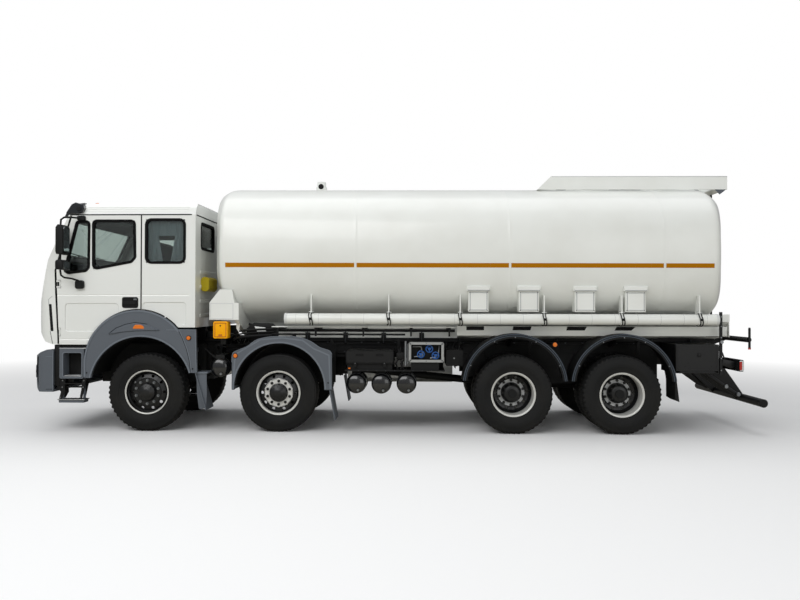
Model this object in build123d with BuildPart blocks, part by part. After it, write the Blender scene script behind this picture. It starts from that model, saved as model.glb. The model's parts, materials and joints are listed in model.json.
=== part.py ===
"""Eight-wheeled tanker truck: cab over engine, twin steered axles, twin driven rear axles and an oval tank.

Millimetres, +Z up, the truck faces -X and its left side is -Y.  The origin is on the ground under the
middle of the truck's box.  Lengths along the truck are given from the first axle, rearward positive.
"""
from build123d import *
from math import cos, radians, sin, sqrt
import os

os.makedirs("parts", exist_ok=True)

# ---------------------------------------------------------------- overall lengths
front_overhang = 1530
wheelbase_1_2 = 1800
wheelbase_2_3 = 3175
wheelbase_3_4 = 1450
rear_overhang = 1940
overall_length = front_overhang + wheelbase_1_2 + wheelbase_2_3 + wheelbase_3_4 + rear_overhang
axle_1_x = front_overhang - overall_length / 2
axle_2 = wheelbase_1_2
axle_3 = axle_2 + wheelbase_2_3
axle_4 = axle_3 + wheelbase_3_4
rail_front = -1150
rail_rear = axle_4 + 1525
cab_rear = 681             # the cab's back wall

running_gap = 0.05        # radial clearance of a shaft in its bore
seat_gap = 0.3            # gap under a piece that sits on a curved face
moving_gap = 6            # gap round a door or a lid

# ---------------------------------------------------------------- wheels
tyre_radius = 530
tyre_half_width = 150
tread_half_width = 112
bead_radius = 292
flange_radius = 300
flange_half_width = 120
flange_lip = 8
bead_half_width = 109
rim_wall = 16
steered_wheel_y = 1020     # centre plane of a single tyre
outer_dual_y = 1090        # centre planes of a pair
inner_dual_y = 750
stub_radius = 45
drive_stub_radius = 60
hub_radius = 125
bolt_ring_radius = 205
disc_thickness = 16
vent_hole_count = 10
vent_hole_radius = 19
vent_ring_radius = 238
drum_radius = 200
drum_wall = 14
drum_reach = 92            # how far a brake drum stands in from the wheel's disc

# ---------------------------------------------------------------- chassis
rail_outer_y = 430
rail_flange = 80
rail_top = 1255
rail_height = 280
rail_thickness = 8
rail_bottom = rail_top - rail_height


def side(y):
    """Sketch plane seen from the truck's left, local x rearward from axle 1, extruding towards -Y."""
    return Plane(origin=(axle_1_x, y, 0), x_dir=(1, 0, 0), z_dir=(0, -1, 0))


def cross(x):
    """Sketch plane across the truck at x, local x towards +Y, extruding rearward."""
    return Plane(origin=(axle_1_x + x, 0, 0), x_dir=(0, 1, 0), z_dir=(1, 0, 0))


def level(z):
    """Sketch plane at height z, local x rearward from axle 1, extruding up."""
    return Plane(origin=(axle_1_x, 0, z), x_dir=(1, 0, 0), z_dir=(0, 0, 1))


def wheel_plane(x, sign):
    """Sketch plane of a wheel's half section: local x outward from the truck's middle, local y radius."""
    return Plane(origin=(axle_1_x + x, 0, tyre_radius), x_dir=(0, sign, 0), z_dir=(sign, 0, 0))


def wheel_axis(x):
    return Axis((axle_1_x + x, 0, tyre_radius), (0, 1, 0))


def tyre_section(centre):
    """Outline of one tyre: axial place, radius."""
    return [
        (centre - tread_half_width, tyre_radius),
        (centre + tread_half_width, tyre_radius),
        (centre + tyre_half_width - 10, tyre_radius - 25),
        (centre + tyre_half_width, tyre_radius - 100),
        (centre + bead_half_width, bead_radius),
        (centre - bead_half_width, bead_radius),
        (centre - tyre_half_width, tyre_radius - 100),
        (centre - tyre_half_width + 10, tyre_radius - 25),
    ]


# ================================================================ wheels and knuckles
seat_radius = bead_radius - seat_gap
barrel_radius = seat_radius - rim_wall
steered_hub_in = steered_wheel_y - 30
steered_hub_out = steered_wheel_y + 168
steered_disc_y = steered_wheel_y + 92

king_pin_y = 920
king_pin_radius = 25
king_boss_radius = 50
king_boss_height = 150
knuckle_lug = 60
knuckle_gap = 5

steered_rim_section = [
    (steered_wheel_y - flange_half_width, flange_radius),
    (steered_wheel_y - flange_half_width + flange_lip, flange_radius),
    (steered_wheel_y - flange_half_width + flange_lip, seat_radius),
    (steered_wheel_y + flange_half_width - flange_lip, seat_radius),
    (steered_wheel_y + flange_half_width - flange_lip, flange_radius),
    (steered_wheel_y + flange_half_width, flange_radius),
    (steered_wheel_y + flange_half_width, seat_radius - flange_lip),
    (steered_wheel_y + 70, barrel_radius),
    (steered_wheel_y + 58, barrel_radius - 10),
    (steered_disc_y - 12, bolt_ring_radius + 8),
    (steered_disc_y, bolt_ring_radius),
    (steered_disc_y, hub_radius),
    (steered_hub_out - 18, hub_radius - 10),
    (steered_hub_out, hub_radius - 35),
    (steered_hub_out, 0),
    (steered_wheel_y + 100, 0),
    (steered_wheel_y + 100, stub_radius + running_gap),
    (steered_hub_in, stub_radius + running_gap),
    (steered_hub_in, hub_radius),
    (steered_disc_y - disc_thickness, hub_radius),
    (steered_disc_y - disc_thickness, bolt_ring_radius - 5),
    (steered_disc_y - disc_thickness - 12, bolt_ring_radius + 2),
    (steered_wheel_y + 42, barrel_radius - 12),
    (steered_wheel_y - flange_half_width + flange_lip, barrel_radius - 4),
    (steered_wheel_y - flange_half_width, seat_radius - flange_lip),
]

dual_face = (outer_dual_y + inner_dual_y) / 2       # plane where the two discs meet
dual_hub_out = outer_dual_y + 50
dual_hub_in = inner_dual_y - 50
drive_stub_end = outer_dual_y + 10
dual_rim_section = [
    (inner_dual_y - flange_half_width, flange_radius),
    (inner_dual_y - flange_half_width + flange_lip, flange_radius),
    (inner_dual_y - flange_half_width + flange_lip, seat_radius),
    (inner_dual_y + flange_half_width - flange_lip, seat_radius),
    (inner_dual_y + flange_half_width - flange_lip, flange_radius),
    (inner_dual_y + flange_half_width, flange_radius),
    (inner_dual_y + flange_half_width, seat_radius - flange_lip),
    (dual_face - disc_thickness, bolt_ring_radius + 10),
    (dual_face + disc_thickness, bolt_ring_radius + 10),
    (outer_dual_y - flange_half_width, seat_radius - flange_lip),
    (outer_dual_y - flange_half_width, flange_radius),
    (outer_dual_y - flange_half_width + flange_lip, flange_radius),
    (outer_dual_y - flange_half_width + flange_lip, seat_radius),
    (outer_dual_y + flange_half_width - flange_lip, seat_radius),
    (outer_dual_y + flange_half_width - flange_lip, flange_radius),
    (outer_dual_y + flange_half_width, flange_radius),
    (outer_dual_y + flange_half_width, seat_radius - flange_lip),
    (outer_dual_y - 90, barrel_radius - 4),
    (outer_dual_y - 105, barrel_radius - 14),
    (dual_face + disc_thickness + 10, bolt_ring_radius),
    (dual_face + disc_thickness, bolt_ring_radius - 6),
    (dual_face + disc_thickness, hub_radius),
    (dual_hub_out - 20, hub_radius - 5),
    (dual_hub_out, hub_radius - 30),
    (dual_hub_out, 0),
    (drive_stub_end + moving_gap, 0),
    (drive_stub_end + moving_gap, drive_stub_radius + running_gap),
    (dual_hub_in, drive_stub_radius + running_gap),
    (dual_hub_in, hub_radius),
    (dual_face - disc_thickness, hub_radius),
    (dual_face - disc_thickness, bolt_ring_radius - 6),
    (dual_face - disc_thickness - 10, bolt_ring_radius),
    (inner_dual_y + 105, barrel_radius - 14),
    (inner_dual_y + 90, barrel_radius - 4),
    (inner_dual_y - flange_half_width + flange_lip, barrel_radius - 4),
    (inner_dual_y - flange_half_width, seat_radius - flange_lip),
]



def drum_section(face, reach):
    """Outline of a brake drum bolted behind a wheel's disc, open towards the truck's middle."""
    return [
        (face, hub_radius - drum_wall),
        (face, drum_radius - drum_wall),
        (face - drum_wall, drum_radius),
        (face - reach, drum_radius),
        (face - reach, drum_radius - drum_wall),
        (face - 2 * drum_wall, drum_radius - drum_wall),
        (face - 2 * drum_wall, hub_radius - drum_wall),
    ]


def vent_plane(place, sign, out_to):
    """Sketch plane outside a wheel's disc, extruding towards the truck's middle."""
    return Plane(origin=(axle_1_x + place, sign * out_to, tyre_radius), x_dir=(1, 0, 0), z_dir=(0, -sign, 0))


knuckle_low = tyre_radius - king_boss_height / 2 - knuckle_gap - knuckle_lug
knuckle_height = king_boss_height + 2 * (knuckle_gap + knuckle_lug)
knuckle_cheek_y = king_pin_y + king_boss_radius + knuckle_gap
for axle_name, axle_place in (("1", 0), ("2", axle_2)):
    for side_name, sign in (("left", -1), ("right", 1)):
        with BuildPart() as tyre:
            with BuildSketch(wheel_plane(axle_place, sign)):
                with BuildLine():
                    Polyline(*tyre_section(steered_wheel_y), close=True)
                make_face()
            revolve(axis=wheel_axis(axle_place))
        tyre.part.label = f"tyre_{axle_name}_{side_name}"
        export_step(tyre.part, f"parts/tyre_{axle_name}_{side_name}.step")

        with BuildPart() as rim:
            with BuildSketch(wheel_plane(axle_place, sign)):
                with BuildLine():
                    Polyline(*steered_rim_section, close=True)
                make_face()
                with BuildLine():
                    Polyline(*drum_section(steered_disc_y - disc_thickness, drum_reach), close=True)
                make_face()
            revolve(axis=wheel_axis(axle_place))
            with BuildSketch(vent_plane(axle_place, sign, steered_wheel_y + flange_half_width + moving_gap)):
                with PolarLocations(vent_ring_radius, vent_hole_count):
                    Circle(vent_hole_radius)
            extrude(amount=flange_half_width, mode=Mode.SUBTRACT)
        rim.part.label = f"rim_{axle_name}_{side_name}"
        export_step(rim.part, f"parts/rim_{axle_name}_{side_name}.step")

        with BuildPart() as knuckle:
            pin_centre = (axle_place, sign * king_pin_y)
            with BuildSketch(level(knuckle_low)):
                with Locations(pin_centre):
                    Circle(king_pin_radius)
            extrude(amount=knuckle_height)
            for lug_low in (knuckle_low, knuckle_low + knuckle_height - knuckle_lug):
                with BuildSketch(level(lug_low)):
                    with Locations(pin_centre):
                        Circle(king_boss_radius - 5)
                    with Locations((axle_place, sign * (king_pin_y + knuckle_cheek_y) / 2)):
                        Rectangle(2 * king_boss_radius - 10, knuckle_cheek_y - king_pin_y)
                extrude(amount=knuckle_lug)
            cheek_thickness = steered_hub_in - knuckle_gap - knuckle_cheek_y
            with BuildSketch(level(knuckle_low)):
                with Locations((axle_place, sign * (knuckle_cheek_y + cheek_thickness / 2))):
                    Rectangle(2 * king_boss_radius - 10, cheek_thickness)
            extrude(amount=knuckle_height)
            with BuildSketch(wheel_plane(axle_place, sign)):
                with BuildLine():
                    Polyline((knuckle_cheek_y, 0), (steered_wheel_y + 90, 0),
                             (steered_wheel_y + 90, stub_radius), (knuckle_cheek_y, stub_radius), close=True)
                make_face()
            revolve(axis=wheel_axis(axle_place))
        knuckle.part.label = f"knuckle_{axle_name}_{side_name}"
        export_step(knuckle.part, f"parts/knuckle_{axle_name}_{side_name}.step")

for axle_name, axle_place in (("3", axle_3), ("4", axle_4)):
    for side_name, sign in (("left", -1), ("right", 1)):
        with BuildPart() as tyres:
            for centre in (inner_dual_y, outer_dual_y):
                with BuildSketch(wheel_plane(axle_place, sign)):
                    with BuildLine():
                        Polyline(*tyre_section(centre), close=True)
                    make_face()
                revolve(axis=wheel_axis(axle_place))
        tyres.part.label = f"tyres_{axle_name}_{side_name}"
        export_step(tyres.part, f"parts/tyres_{axle_name}_{side_name}.step")

        with BuildPart() as rims:
            with BuildSketch(wheel_plane(axle_place, sign)):
                with BuildLine():
                    Polyline(*dual_rim_section, close=True)
                make_face()
                with BuildLine():
                    Polyline(*drum_section(dual_face - disc_thickness, 2 * drum_reach), close=True)
                make_face()
            revolve(axis=wheel_axis(axle_place))
            with BuildSketch(vent_plane(axle_place, sign, outer_dual_y)):
                with PolarLocations(vent_ring_radius, vent_hole_count):
                    Circle(vent_hole_radius)
            extrude(amount=outer_dual_y - inner_dual_y, mode=Mode.SUBTRACT)
        rims.part.label = f"rims_{axle_name}_{side_name}"
        export_step(rims.part, f"parts/rims_{axle_name}_{side_name}.step")

# ================================================================ chassis frame
tilt_pivot_x = -1280
tilt_pivot_z = 1060
tilt_pin_radius = 20
tilt_bracket_y = 430
tilt_bracket_thickness = 40
tilt_lug_gap = 8
tilt_lug_thickness = 40
tilt_pin_end_y = tilt_bracket_y + tilt_bracket_thickness + tilt_lug_gap + tilt_lug_thickness + 15
cab_rest_x = cab_rear - 121
cab_bottom_rear = rail_top + 161
crossmember_length = 60
crossmember_places = (rail_front + 50, cab_rear + 139, axle_2 + 700, axle_3 - 1275, axle_3 - 725,
                      (axle_3 + axle_4) / 2, axle_4 + 725, rail_rear - 50)
coupling_spacing = (160, 100)     # across, up
coupling_hole_radius = 10.5

with BuildPart() as chassis_frame:
    with BuildSketch(cross(rail_front)):
        with BuildLine():
            Polyline(
                (-rail_outer_y, rail_bottom),
                (-rail_outer_y + rail_flange, rail_bottom),
                (-rail_outer_y + rail_flange, rail_bottom + rail_thickness),
                (-rail_outer_y + rail_thickness, rail_bottom + rail_thickness),
                (-rail_outer_y + rail_thickness, rail_top - rail_thickness),
                (-rail_outer_y + rail_flange, rail_top - rail_thickness),
                (-rail_outer_y + rail_flange, rail_top),
                (-rail_outer_y, rail_top),
                close=True,
            )
        make_face()
    extrude(amount=rail_rear - rail_front)
    mirror(about=Plane.XZ)
    # front brackets with the cab's tilt pins
    with BuildSketch(side(-tilt_bracket_y)):
        with BuildLine():
            Polyline((rail_front + 150, rail_bottom), (rail_front + 150, rail_top - 140),
                     (tilt_pivot_x - 40, tilt_pivot_z + 40), (tilt_pivot_x - 40, tilt_pivot_z - 50),
                     (rail_front, rail_bottom), close=True)
        make_face()
    extrude(amount=tilt_bracket_thickness)
    with BuildSketch(side(-tilt_bracket_y)):
        with Locations((tilt_pivot_x, tilt_pivot_z)):
            Circle(tilt_pin_radius)
    extrude(amount=tilt_pin_end_y - tilt_bracket_y)
    # rear rests of the cab
    with BuildSketch(level(rail_top)):
        with Locations((cab_rest_x, -rail_outer_y + rail_flange / 2)):
            Rectangle(90, rail_flange)
    extrude(amount=cab_bottom_rear - moving_gap - rail_top)
    mirror(about=Plane.XZ)
    # crossmembers between the rails' webs, the last one drilled for a drawbar coupling
    crossmember_half = rail_outer_y - rail_thickness - seat_gap
    for place in crossmember_places:
        with BuildSketch(side(crossmember_half)):
            with Locations((place, (rail_top + rail_bottom) / 2)):
                Rectangle(crossmember_length, rail_height - 2 * rail_thickness - 2 * seat_gap)
        extrude(amount=2 * crossmember_half)
    with BuildSketch(cross(crossmember_places[-1] - crossmember_length / 2)):
        with Locations((0, (rail_top + rail_bottom) / 2)):
            with GridLocations(coupling_spacing[0], coupling_spacing[1], 2, 2):
                Circle(coupling_hole_radius)
    extrude(amount=crossmember_length, mode=Mode.SUBTRACT)
chassis_frame.part.label = "chassis_frame"
export_step(chassis_frame.part, "parts/chassis_frame.step")

# ================================================================ axles
beam_height = 95
beam_width = 90
beam_top = tyre_radius + 25
drive_axle_radius = 75
differential_radius = 210
with BuildPart() as axle_beams:
    for place in (0, axle_2):
        with BuildSketch(side(king_pin_y)):
            with Locations((place, beam_top - beam_height / 2)):
                Rectangle(beam_width, beam_height)
        extrude(amount=2 * king_pin_y)
        with BuildSketch(level(tyre_radius - king_boss_height / 2)):
            with Locations((place, -king_pin_y), (place, king_pin_y)):
                Circle(king_boss_radius)
        extrude(amount=king_boss_height)
        with BuildSketch(level(tyre_radius - king_boss_height / 2)):
            with Locations((place, -king_pin_y), (place, king_pin_y)):
                Circle(king_pin_radius + running_gap)
        extrude(amount=king_boss_height, mode=Mode.SUBTRACT)
    for place in (axle_3, axle_4):
        tube_end = dual_hub_in - moving_gap
        with BuildSketch(side(tube_end)):
            with Locations((place, tyre_radius)):
                Circle(drive_axle_radius)
        extrude(amount=2 * tube_end)
        with BuildSketch(side(drive_stub_end)):
            with Locations((place, tyre_radius)):
                Circle(drive_stub_radius)
        extrude(amount=2 * drive_stub_end)
        with BuildSketch(side(differential_radius)):
            with Locations((place, tyre_radius)):
                Circle(differential_radius)
        extrude(amount=2 * differential_radius)
axle_beams.part.label = "axle_beams"
export_step(axle_beams.part, "parts/axle_beams.step")

# ================================================================ springs
spring_half_span = 700
spring_camber = 150
spring_thickness = 60
spring_width = 80
spring_y = rail_outer_y - spring_width / 2
hanger_width = 90
bogie_x = (axle_3 + axle_4) / 2
bogie_spring_bottom = tyre_radius + drive_axle_radius + seat_gap
with BuildPart() as leaf_springs:
    for place in (0, axle_2):
        with BuildSketch(side(-spring_y + spring_width / 2)):
            with BuildLine():
                low = beam_top
                ThreePointArc((place - spring_half_span, low + spring_camber), (place, low),
                              (place + spring_half_span, low + spring_camber))
                Line((place + spring_half_span, low + spring_camber),
                     (place + spring_half_span, low + spring_camber + spring_thickness))
                ThreePointArc((place + spring_half_span, low + spring_camber + spring_thickness),
                              (place, low + spring_thickness),
                              (place - spring_half_span, low + spring_camber + spring_thickness))
                Line((place - spring_half_span, low + spring_camber + spring_thickness),
                     (place - spring_half_span, low + spring_camber))
            make_face()
            hanger_low = low + spring_camber + spring_thickness / 2
            for end in (-1, 1):
                with Locations((place + end * (spring_half_span - hanger_width / 2),
                                (hanger_low + rail_bottom) / 2)):
                    Rectangle(hanger_width, rail_bottom - hanger_low)
        extrude(amount=spring_width)
    # bogie springs: one pack a side, carried on the trunnion in its middle, its ends on the axles
    with BuildSketch(side(-spring_y + spring_width / 2)):
        with BuildLine():
            Polyline((axle_3 - 110, bogie_spring_bottom), (axle_4 + 110, bogie_spring_bottom),
                     (axle_4 + 110, bogie_spring_bottom + 40), (bogie_x + 120, bogie_spring_bottom + 160),
                     (bogie_x - 120, bogie_spring_bottom + 160), (axle_3 - 110, bogie_spring_bottom + 40),
                     close=True)
        make_face()
        with Locations((bogie_x, (bogie_spring_bottom + 100 + rail_bottom) / 2)):
            Rectangle(200, rail_bottom - bogie_spring_bottom - 100)
    extrude(amount=spring_width)
    mirror(about=Plane.XZ)
leaf_springs.part.label = "leaf_springs"
export_step(leaf_springs.part, "parts/leaf_springs.step")

# ================================================================ engine, one plain block
engine_front = -640
engine_length = 1350
engine_half_width = rail_outer_y - rail_flange - 30
engine_low = 640
engine_top = 1340
with BuildPart() as engine:
    with BuildSketch(side(engine_half_width)):
        with Locations((engine_front + engine_length / 2, (engine_low + engine_top) / 2)):
            Rectangle(engine_length, engine_top - engine_low)
    extrude(amount=2 * engine_half_width)
    for place in (engine_front + 200, engine_front + engine_length - 250):
        with BuildSketch(side(rail_outer_y - rail_thickness)):
            with Locations((place, rail_bottom + 60)):
                Rectangle(90, 60)
        extrude(amount=2 * (rail_outer_y - rail_thickness))
engine.part.label = "engine"
export_step(engine.part, "parts/engine.step")

# ================================================================ tank
tank_front = cab_rear + 402     # weld seams between shell and dished ends
tank_rear = rail_rear - 290
tank_bottom = 1425
tank_height = 2010
tank_half_width = 1250
tank_roof_radius = 1900
tank_side_radius = 1700
tank_corner_radius = 650
tank_middle = tank_bottom + tank_height / 2
tank_top = tank_bottom + tank_height
# each dished end narrows in steps: how far the outline has shrunk, how deep the end is there
head_steps = ((0, 0), (25, 60), (90, 95), (330, 190), (600, 245))
tank_head_depth = head_steps[-1][1]


def tank_plane(x):
    """Sketch plane across the truck with its origin in the middle of the tank."""
    return Plane(origin=(axle_1_x + x, 0, tank_middle), x_dir=(0, 1, 0), z_dir=(1, 0, 0))


def tank_section(grow):
    """The tank's oval outline, grown by a gap all round: roof, flank and corner arcs, each tangent to the next."""
    roof = tank_roof_radius + grow
    flank = tank_side_radius + grow
    corner = tank_corner_radius + grow
    roof_centre = Vector(0, tank_height / 2 - tank_roof_radius)
    flank_centre = Vector(tank_half_width - tank_side_radius, 0)
    apart = (roof_centre - flank_centre).length
    along = (flank_centre - roof_centre).normalized()
    across = Vector(along.Y, -along.X)
    reach = ((roof - corner) ** 2 - (flank - corner) ** 2 + apart ** 2) / (2 * apart)
    corner_centre = roof_centre + along * reach + across * sqrt((roof - corner) ** 2 - reach ** 2)
    a = roof_centre + (corner_centre - roof_centre).normalized() * roof
    c = flank_centre + (corner_centre - flank_centre).normalized() * flank
    b = corner_centre + (a + c - corner_centre * 2).normalized() * corner
    top = tank_height / 2 + grow
    half = tank_half_width + grow
    with BuildSketch(Plane.XY) as outline:
        with BuildLine():
            ThreePointArc((-a.X, a.Y), (0, top), (a.X, a.Y))
            ThreePointArc((a.X, a.Y), (b.X, b.Y), (c.X, c.Y))
            ThreePointArc((c.X, c.Y), (half, 0), (c.X, -c.Y))
            ThreePointArc((c.X, -c.Y), (b.X, -b.Y), (a.X, -a.Y))
            ThreePointArc((a.X, -a.Y), (0, -top), (-a.X, -a.Y))
            ThreePointArc((-a.X, -a.Y), (-b.X, -b.Y), (-c.X, -c.Y))
            ThreePointArc((-c.X, -c.Y), (-half, 0), (-c.X, c.Y))
            ThreePointArc((-c.X, c.Y), (-b.X, b.Y), (-a.X, a.Y))
        make_face()
    return outline.sketch


with BuildPart() as tank_room:      # the tank and the gap round it, taken out of what is built against it
    with BuildSketch(tank_plane(tank_front - tank_head_depth)):
        add(tank_section(seat_gap))
    extrude(amount=tank_rear - tank_front + 2 * tank_head_depth)

with BuildPart() as tank_shell:
    with BuildSketch(tank_plane(tank_front)):
        add(tank_section(0))
    extrude(amount=tank_rear - tank_front)
    for (shrink_a, depth_a), (shrink_b, depth_b) in zip(head_steps, head_steps[1:]):
        for seam, outward in ((tank_front, -1), (tank_rear, 1)):
            with BuildSketch(tank_plane(seam + outward * depth_a)):
                add(tank_section(-shrink_a))
            with BuildSketch(tank_plane(seam + outward * depth_b)):
                add(tank_section(-shrink_b))
            loft(ruled=True)
tank_shell.part.label = "tank_shell"
export_step(tank_shell.part, "parts/tank_shell.step")

# ================================================================ tank subframe: beams, skirts, front saddle
subframe_front = tank_front + 167
subframe_top = tank_bottom + 120
skirt_front = axle_3 - 717
skirt_low = (620, 1290)
skirt_high = (960, 1520)
skirt_thickness = 12
outrigger_places = (axle_3 - 468, axle_3 + 209, axle_4 - 490, axle_4 + 183)
outrigger_width = 270
outrigger_top = 1920
outrigger_low = 1640
outrigger_y = 1185
gutter_width = 320
saddle_front = cab_rear + 189
saddle_rear = saddle_front + 337
saddle_low = 1520
saddle_face_top = 1753
saddle_top = 1932
saddle_y = 1200
saddle_web = 60
saddle_inner_y = 850
with BuildPart() as tank_subframe:
    with BuildSketch(side(-rail_outer_y + rail_flange)):
        with Locations(((subframe_front + rail_rear) / 2, (rail_top + subframe_top) / 2)):
            Rectangle(rail_rear - subframe_front, subframe_top - rail_top)
    extrude(amount=rail_flange)
    # sloping skirts that carry the tank's flanks over the rear bogie
    with BuildSketch(cross(skirt_front)):
        with BuildLine():
            Polyline((-rail_outer_y, rail_top), (-skirt_low[0], skirt_low[1] - skirt_thickness),
                     (-skirt_high[0], skirt_high[1] - skirt_thickness), (-skirt_high[0], skirt_high[1] + 90),
                     (-skirt_high[0] + skirt_thickness, skirt_high[1] + 90),
                     (-skirt_high[0] + skirt_thickness, skirt_high[1]),
                     (-skirt_low[0], skirt_low[1]), (-rail_outer_y, rail_top + skirt_thickness), close=True)
        make_face()
    extrude(amount=rail_rear - skirt_front)
    for place in outrigger_places:
        with BuildSketch(side(-skirt_low[0] - 60)):
            with Locations((place, (skirt_low[1] + skirt_high[1]) / 2 - 30)):
                Rectangle(outrigger_width - 15, 70)
        extrude(amount=100, mode=Mode.SUBTRACT)
    # front saddles under the tank's first ring
    with BuildSketch(side(-saddle_inner_y)):
        with BuildLine():
            Polyline((saddle_front, saddle_low), (saddle_front, saddle_face_top), (saddle_front + 140, saddle_top),
                     (saddle_rear - 30, saddle_top), (saddle_rear, saddle_face_top), (saddle_rear, saddle_low),
                     close=True)
        make_face()
    extrude(amount=saddle_y - saddle_inner_y)
    with BuildSketch(cross(saddle_rear)):
        with BuildLine():
            Polyline((-rail_outer_y, rail_top), (-rail_outer_y - 400, rail_top + 100), (-saddle_y, saddle_low),
                     (-saddle_y, saddle_face_top), (-rail_outer_y, saddle_face_top), close=True)
        make_face()
    extrude(amount=saddle_web)
    # tube brackets and outrigger plates stand on the skirt's line and reach the tank's flank
    add(tank_room.part, mode=Mode.SUBTRACT)
    mirror(about=Plane.XZ)
tank_subframe.part.label = "tank_subframe"
export_step(tank_subframe.part, "parts/tank_subframe.step")

tube_front = axle_2 + 97
tube_rear = tank_rear + 40
tube_radius = 73
tube_y = 1185
tube_z = 1540
strap_places = (axle_2 + 450, axle_2 + 1500, axle_3 - 713, axle_3 + 413, axle_4, axle_4 + 1033)
strap_thickness = 8
strap_width = 30
strap_arm_top = 1865
with BuildPart() as hose_tubes:
    with BuildSketch(cross(tube_front)):
        with Locations((-tube_y, tube_z), (tube_y, tube_z)):
            Circle(tube_radius)
    extrude(amount=tube_rear - tube_front)
hose_tubes.part.label = "hose_tubes"
export_step(hose_tubes.part, "parts/hose_tubes.step")

with BuildPart() as tube_brackets:
    for place in strap_places:
        with BuildSketch(cross(place - strap_width / 2)):
            with Locations((-tube_y, tube_z)):
                Circle(tube_radius + seat_gap + strap_thickness)
        extrude(amount=strap_width)
        with BuildSketch(cross(place - strap_width / 2)):
            with Locations((-tube_y, tube_z)):
                Circle(tube_radius + seat_gap)
        extrude(amount=strap_width, mode=Mode.SUBTRACT)
        with BuildSketch(cross(place - strap_width / 4)):
            with BuildLine():
                Polyline((-tube_y - 15, tube_z + tube_radius + 5), (-tube_y - 15, strap_arm_top),
                         (-tube_y + 60, strap_arm_top), (-tube_y + 150, tube_z + tube_radius + 5), close=True)
            make_face()
        extrude(amount=strap_width / 2)
    for place in outrigger_places:
        with BuildSketch(side(-tank_half_width + 250)):
            with Locations((place, (outrigger_low + outrigger_top) / 2)):
                Rectangle(outrigger_width, outrigger_top - outrigger_low)
        extrude(amount=outrigger_y - tank_half_width + 250)
        with BuildSketch(side(-tank_half_width + 250)):
            with Locations((place, outrigger_top + 35)):
                Rectangle(gutter_width, 70)
        extrude(amount=outrigger_y + 20 - tank_half_width + 250)
    add(tank_room.part, mode=Mode.SUBTRACT)
    mirror(about=Plane.XZ)
tube_brackets.part.label = "tube_brackets"
export_step(tube_brackets.part, "parts/tube_brackets.step")

# ================================================================ coaming, manholes, vent
coaming_half_width = 500
coaming_wall = 20
coaming_top = tank_top + 148
coaming_low = tank_top - 43
manhole_places = (axle_4 - 175, axle_4 + 825)
coaming_front_low = manhole_places[0] - 846
coaming_front_top = manhole_places[0] - 650
coaming_rear = tank_rear + 445
manhole_radius = 230
manhole_neck_wall = 15
manhole_neck_height = 65
manhole_neck_top = tank_top + manhole_neck_height
lid_thickness = 20
vent_x = tank_front + 1156
vent_radius = 80
vent_top = manhole_neck_top + 75
with BuildPart() as coaming:
    with BuildSketch(side(coaming_half_width)):
        with BuildLine():
            Polyline((coaming_front_low, coaming_low), (coaming_front_top, coaming_top),
                     (coaming_rear, coaming_top), (coaming_rear, coaming_low), close=True)
        make_face()
    extrude(amount=2 * coaming_half_width)
    with BuildSketch(side(coaming_half_width - coaming_wall)):
        with BuildLine():
            Polyline((coaming_front_low + 2 * coaming_wall, coaming_low - 200),
                     (coaming_front_low + 2 * coaming_wall, coaming_low),
                     (coaming_front_top + 2 * coaming_wall, coaming_top + 20),
                     (coaming_rear - coaming_wall, coaming_top + 20), (coaming_rear - coaming_wall, coaming_low + 15),
                     (tank_rear + tank_head_depth, coaming_low + 15), (tank_rear + tank_head_depth, coaming_low - 200),
                     close=True)
        make_face()
    extrude(amount=2 * (coaming_half_width - coaming_wall), mode=Mode.SUBTRACT)
    add(tank_room.part, mode=Mode.SUBTRACT)
with BuildPart() as tank_fittings:
    with BuildSketch(level(tank_bottom + tank_height - 60)):
        with Locations((manhole_places[0], 0), (manhole_places[1], 0)):
            Circle(manhole_radius)
            Circle(manhole_radius - manhole_neck_wall, mode=Mode.SUBTRACT)
        with Locations((vent_x, 0)):
            Circle(vent_radius)
    extrude(amount=manhole_neck_top - tank_bottom - tank_height + 60)
    with BuildSketch(level(manhole_neck_top)):
        with Locations((vent_x, 0)):
            Circle(vent_radius - 15)
    extrude(amount=vent_top - manhole_neck_top)
    hinge_x = manhole_radius + 45
    for place in manhole_places:
        with BuildSketch(side(60)):
            with BuildLine():
                Polyline((place + manhole_radius - 10, manhole_neck_top - 60),
                         (place + hinge_x + 12, manhole_neck_top - 30),
                         (place + hinge_x + 12, manhole_neck_top + 20), (place + hinge_x - 12, manhole_neck_top + 20),
                         (place + hinge_x - 12, manhole_neck_top - 30),
                         (place + manhole_radius - 10, manhole_neck_top - 40), close=True)
            make_face()
        extrude(amount=30)
        with BuildSketch(side(60)):
            with Locations((place + hinge_x, manhole_neck_top + 10)):
                Circle(6)
        extrude(amount=120)
        with BuildSketch(side(-30)):
            with BuildLine():
                Polyline((place + manhole_radius - 10, manhole_neck_top - 60),
                         (place + hinge_x + 12, manhole_neck_top - 30),
                         (place + hinge_x + 12, manhole_neck_top + 20), (place + hinge_x - 12, manhole_neck_top + 20),
                         (place + hinge_x - 12, manhole_neck_top - 30),
                         (place + manhole_radius - 10, manhole_neck_top - 40), close=True)
            make_face()
        extrude(amount=30)
    add(tank_room.part, mode=Mode.SUBTRACT)
    add(coaming.part)
tank_fittings.part.label = "tank_fittings"
export_step(tank_fittings.part, "parts/tank_fittings.step")

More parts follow.
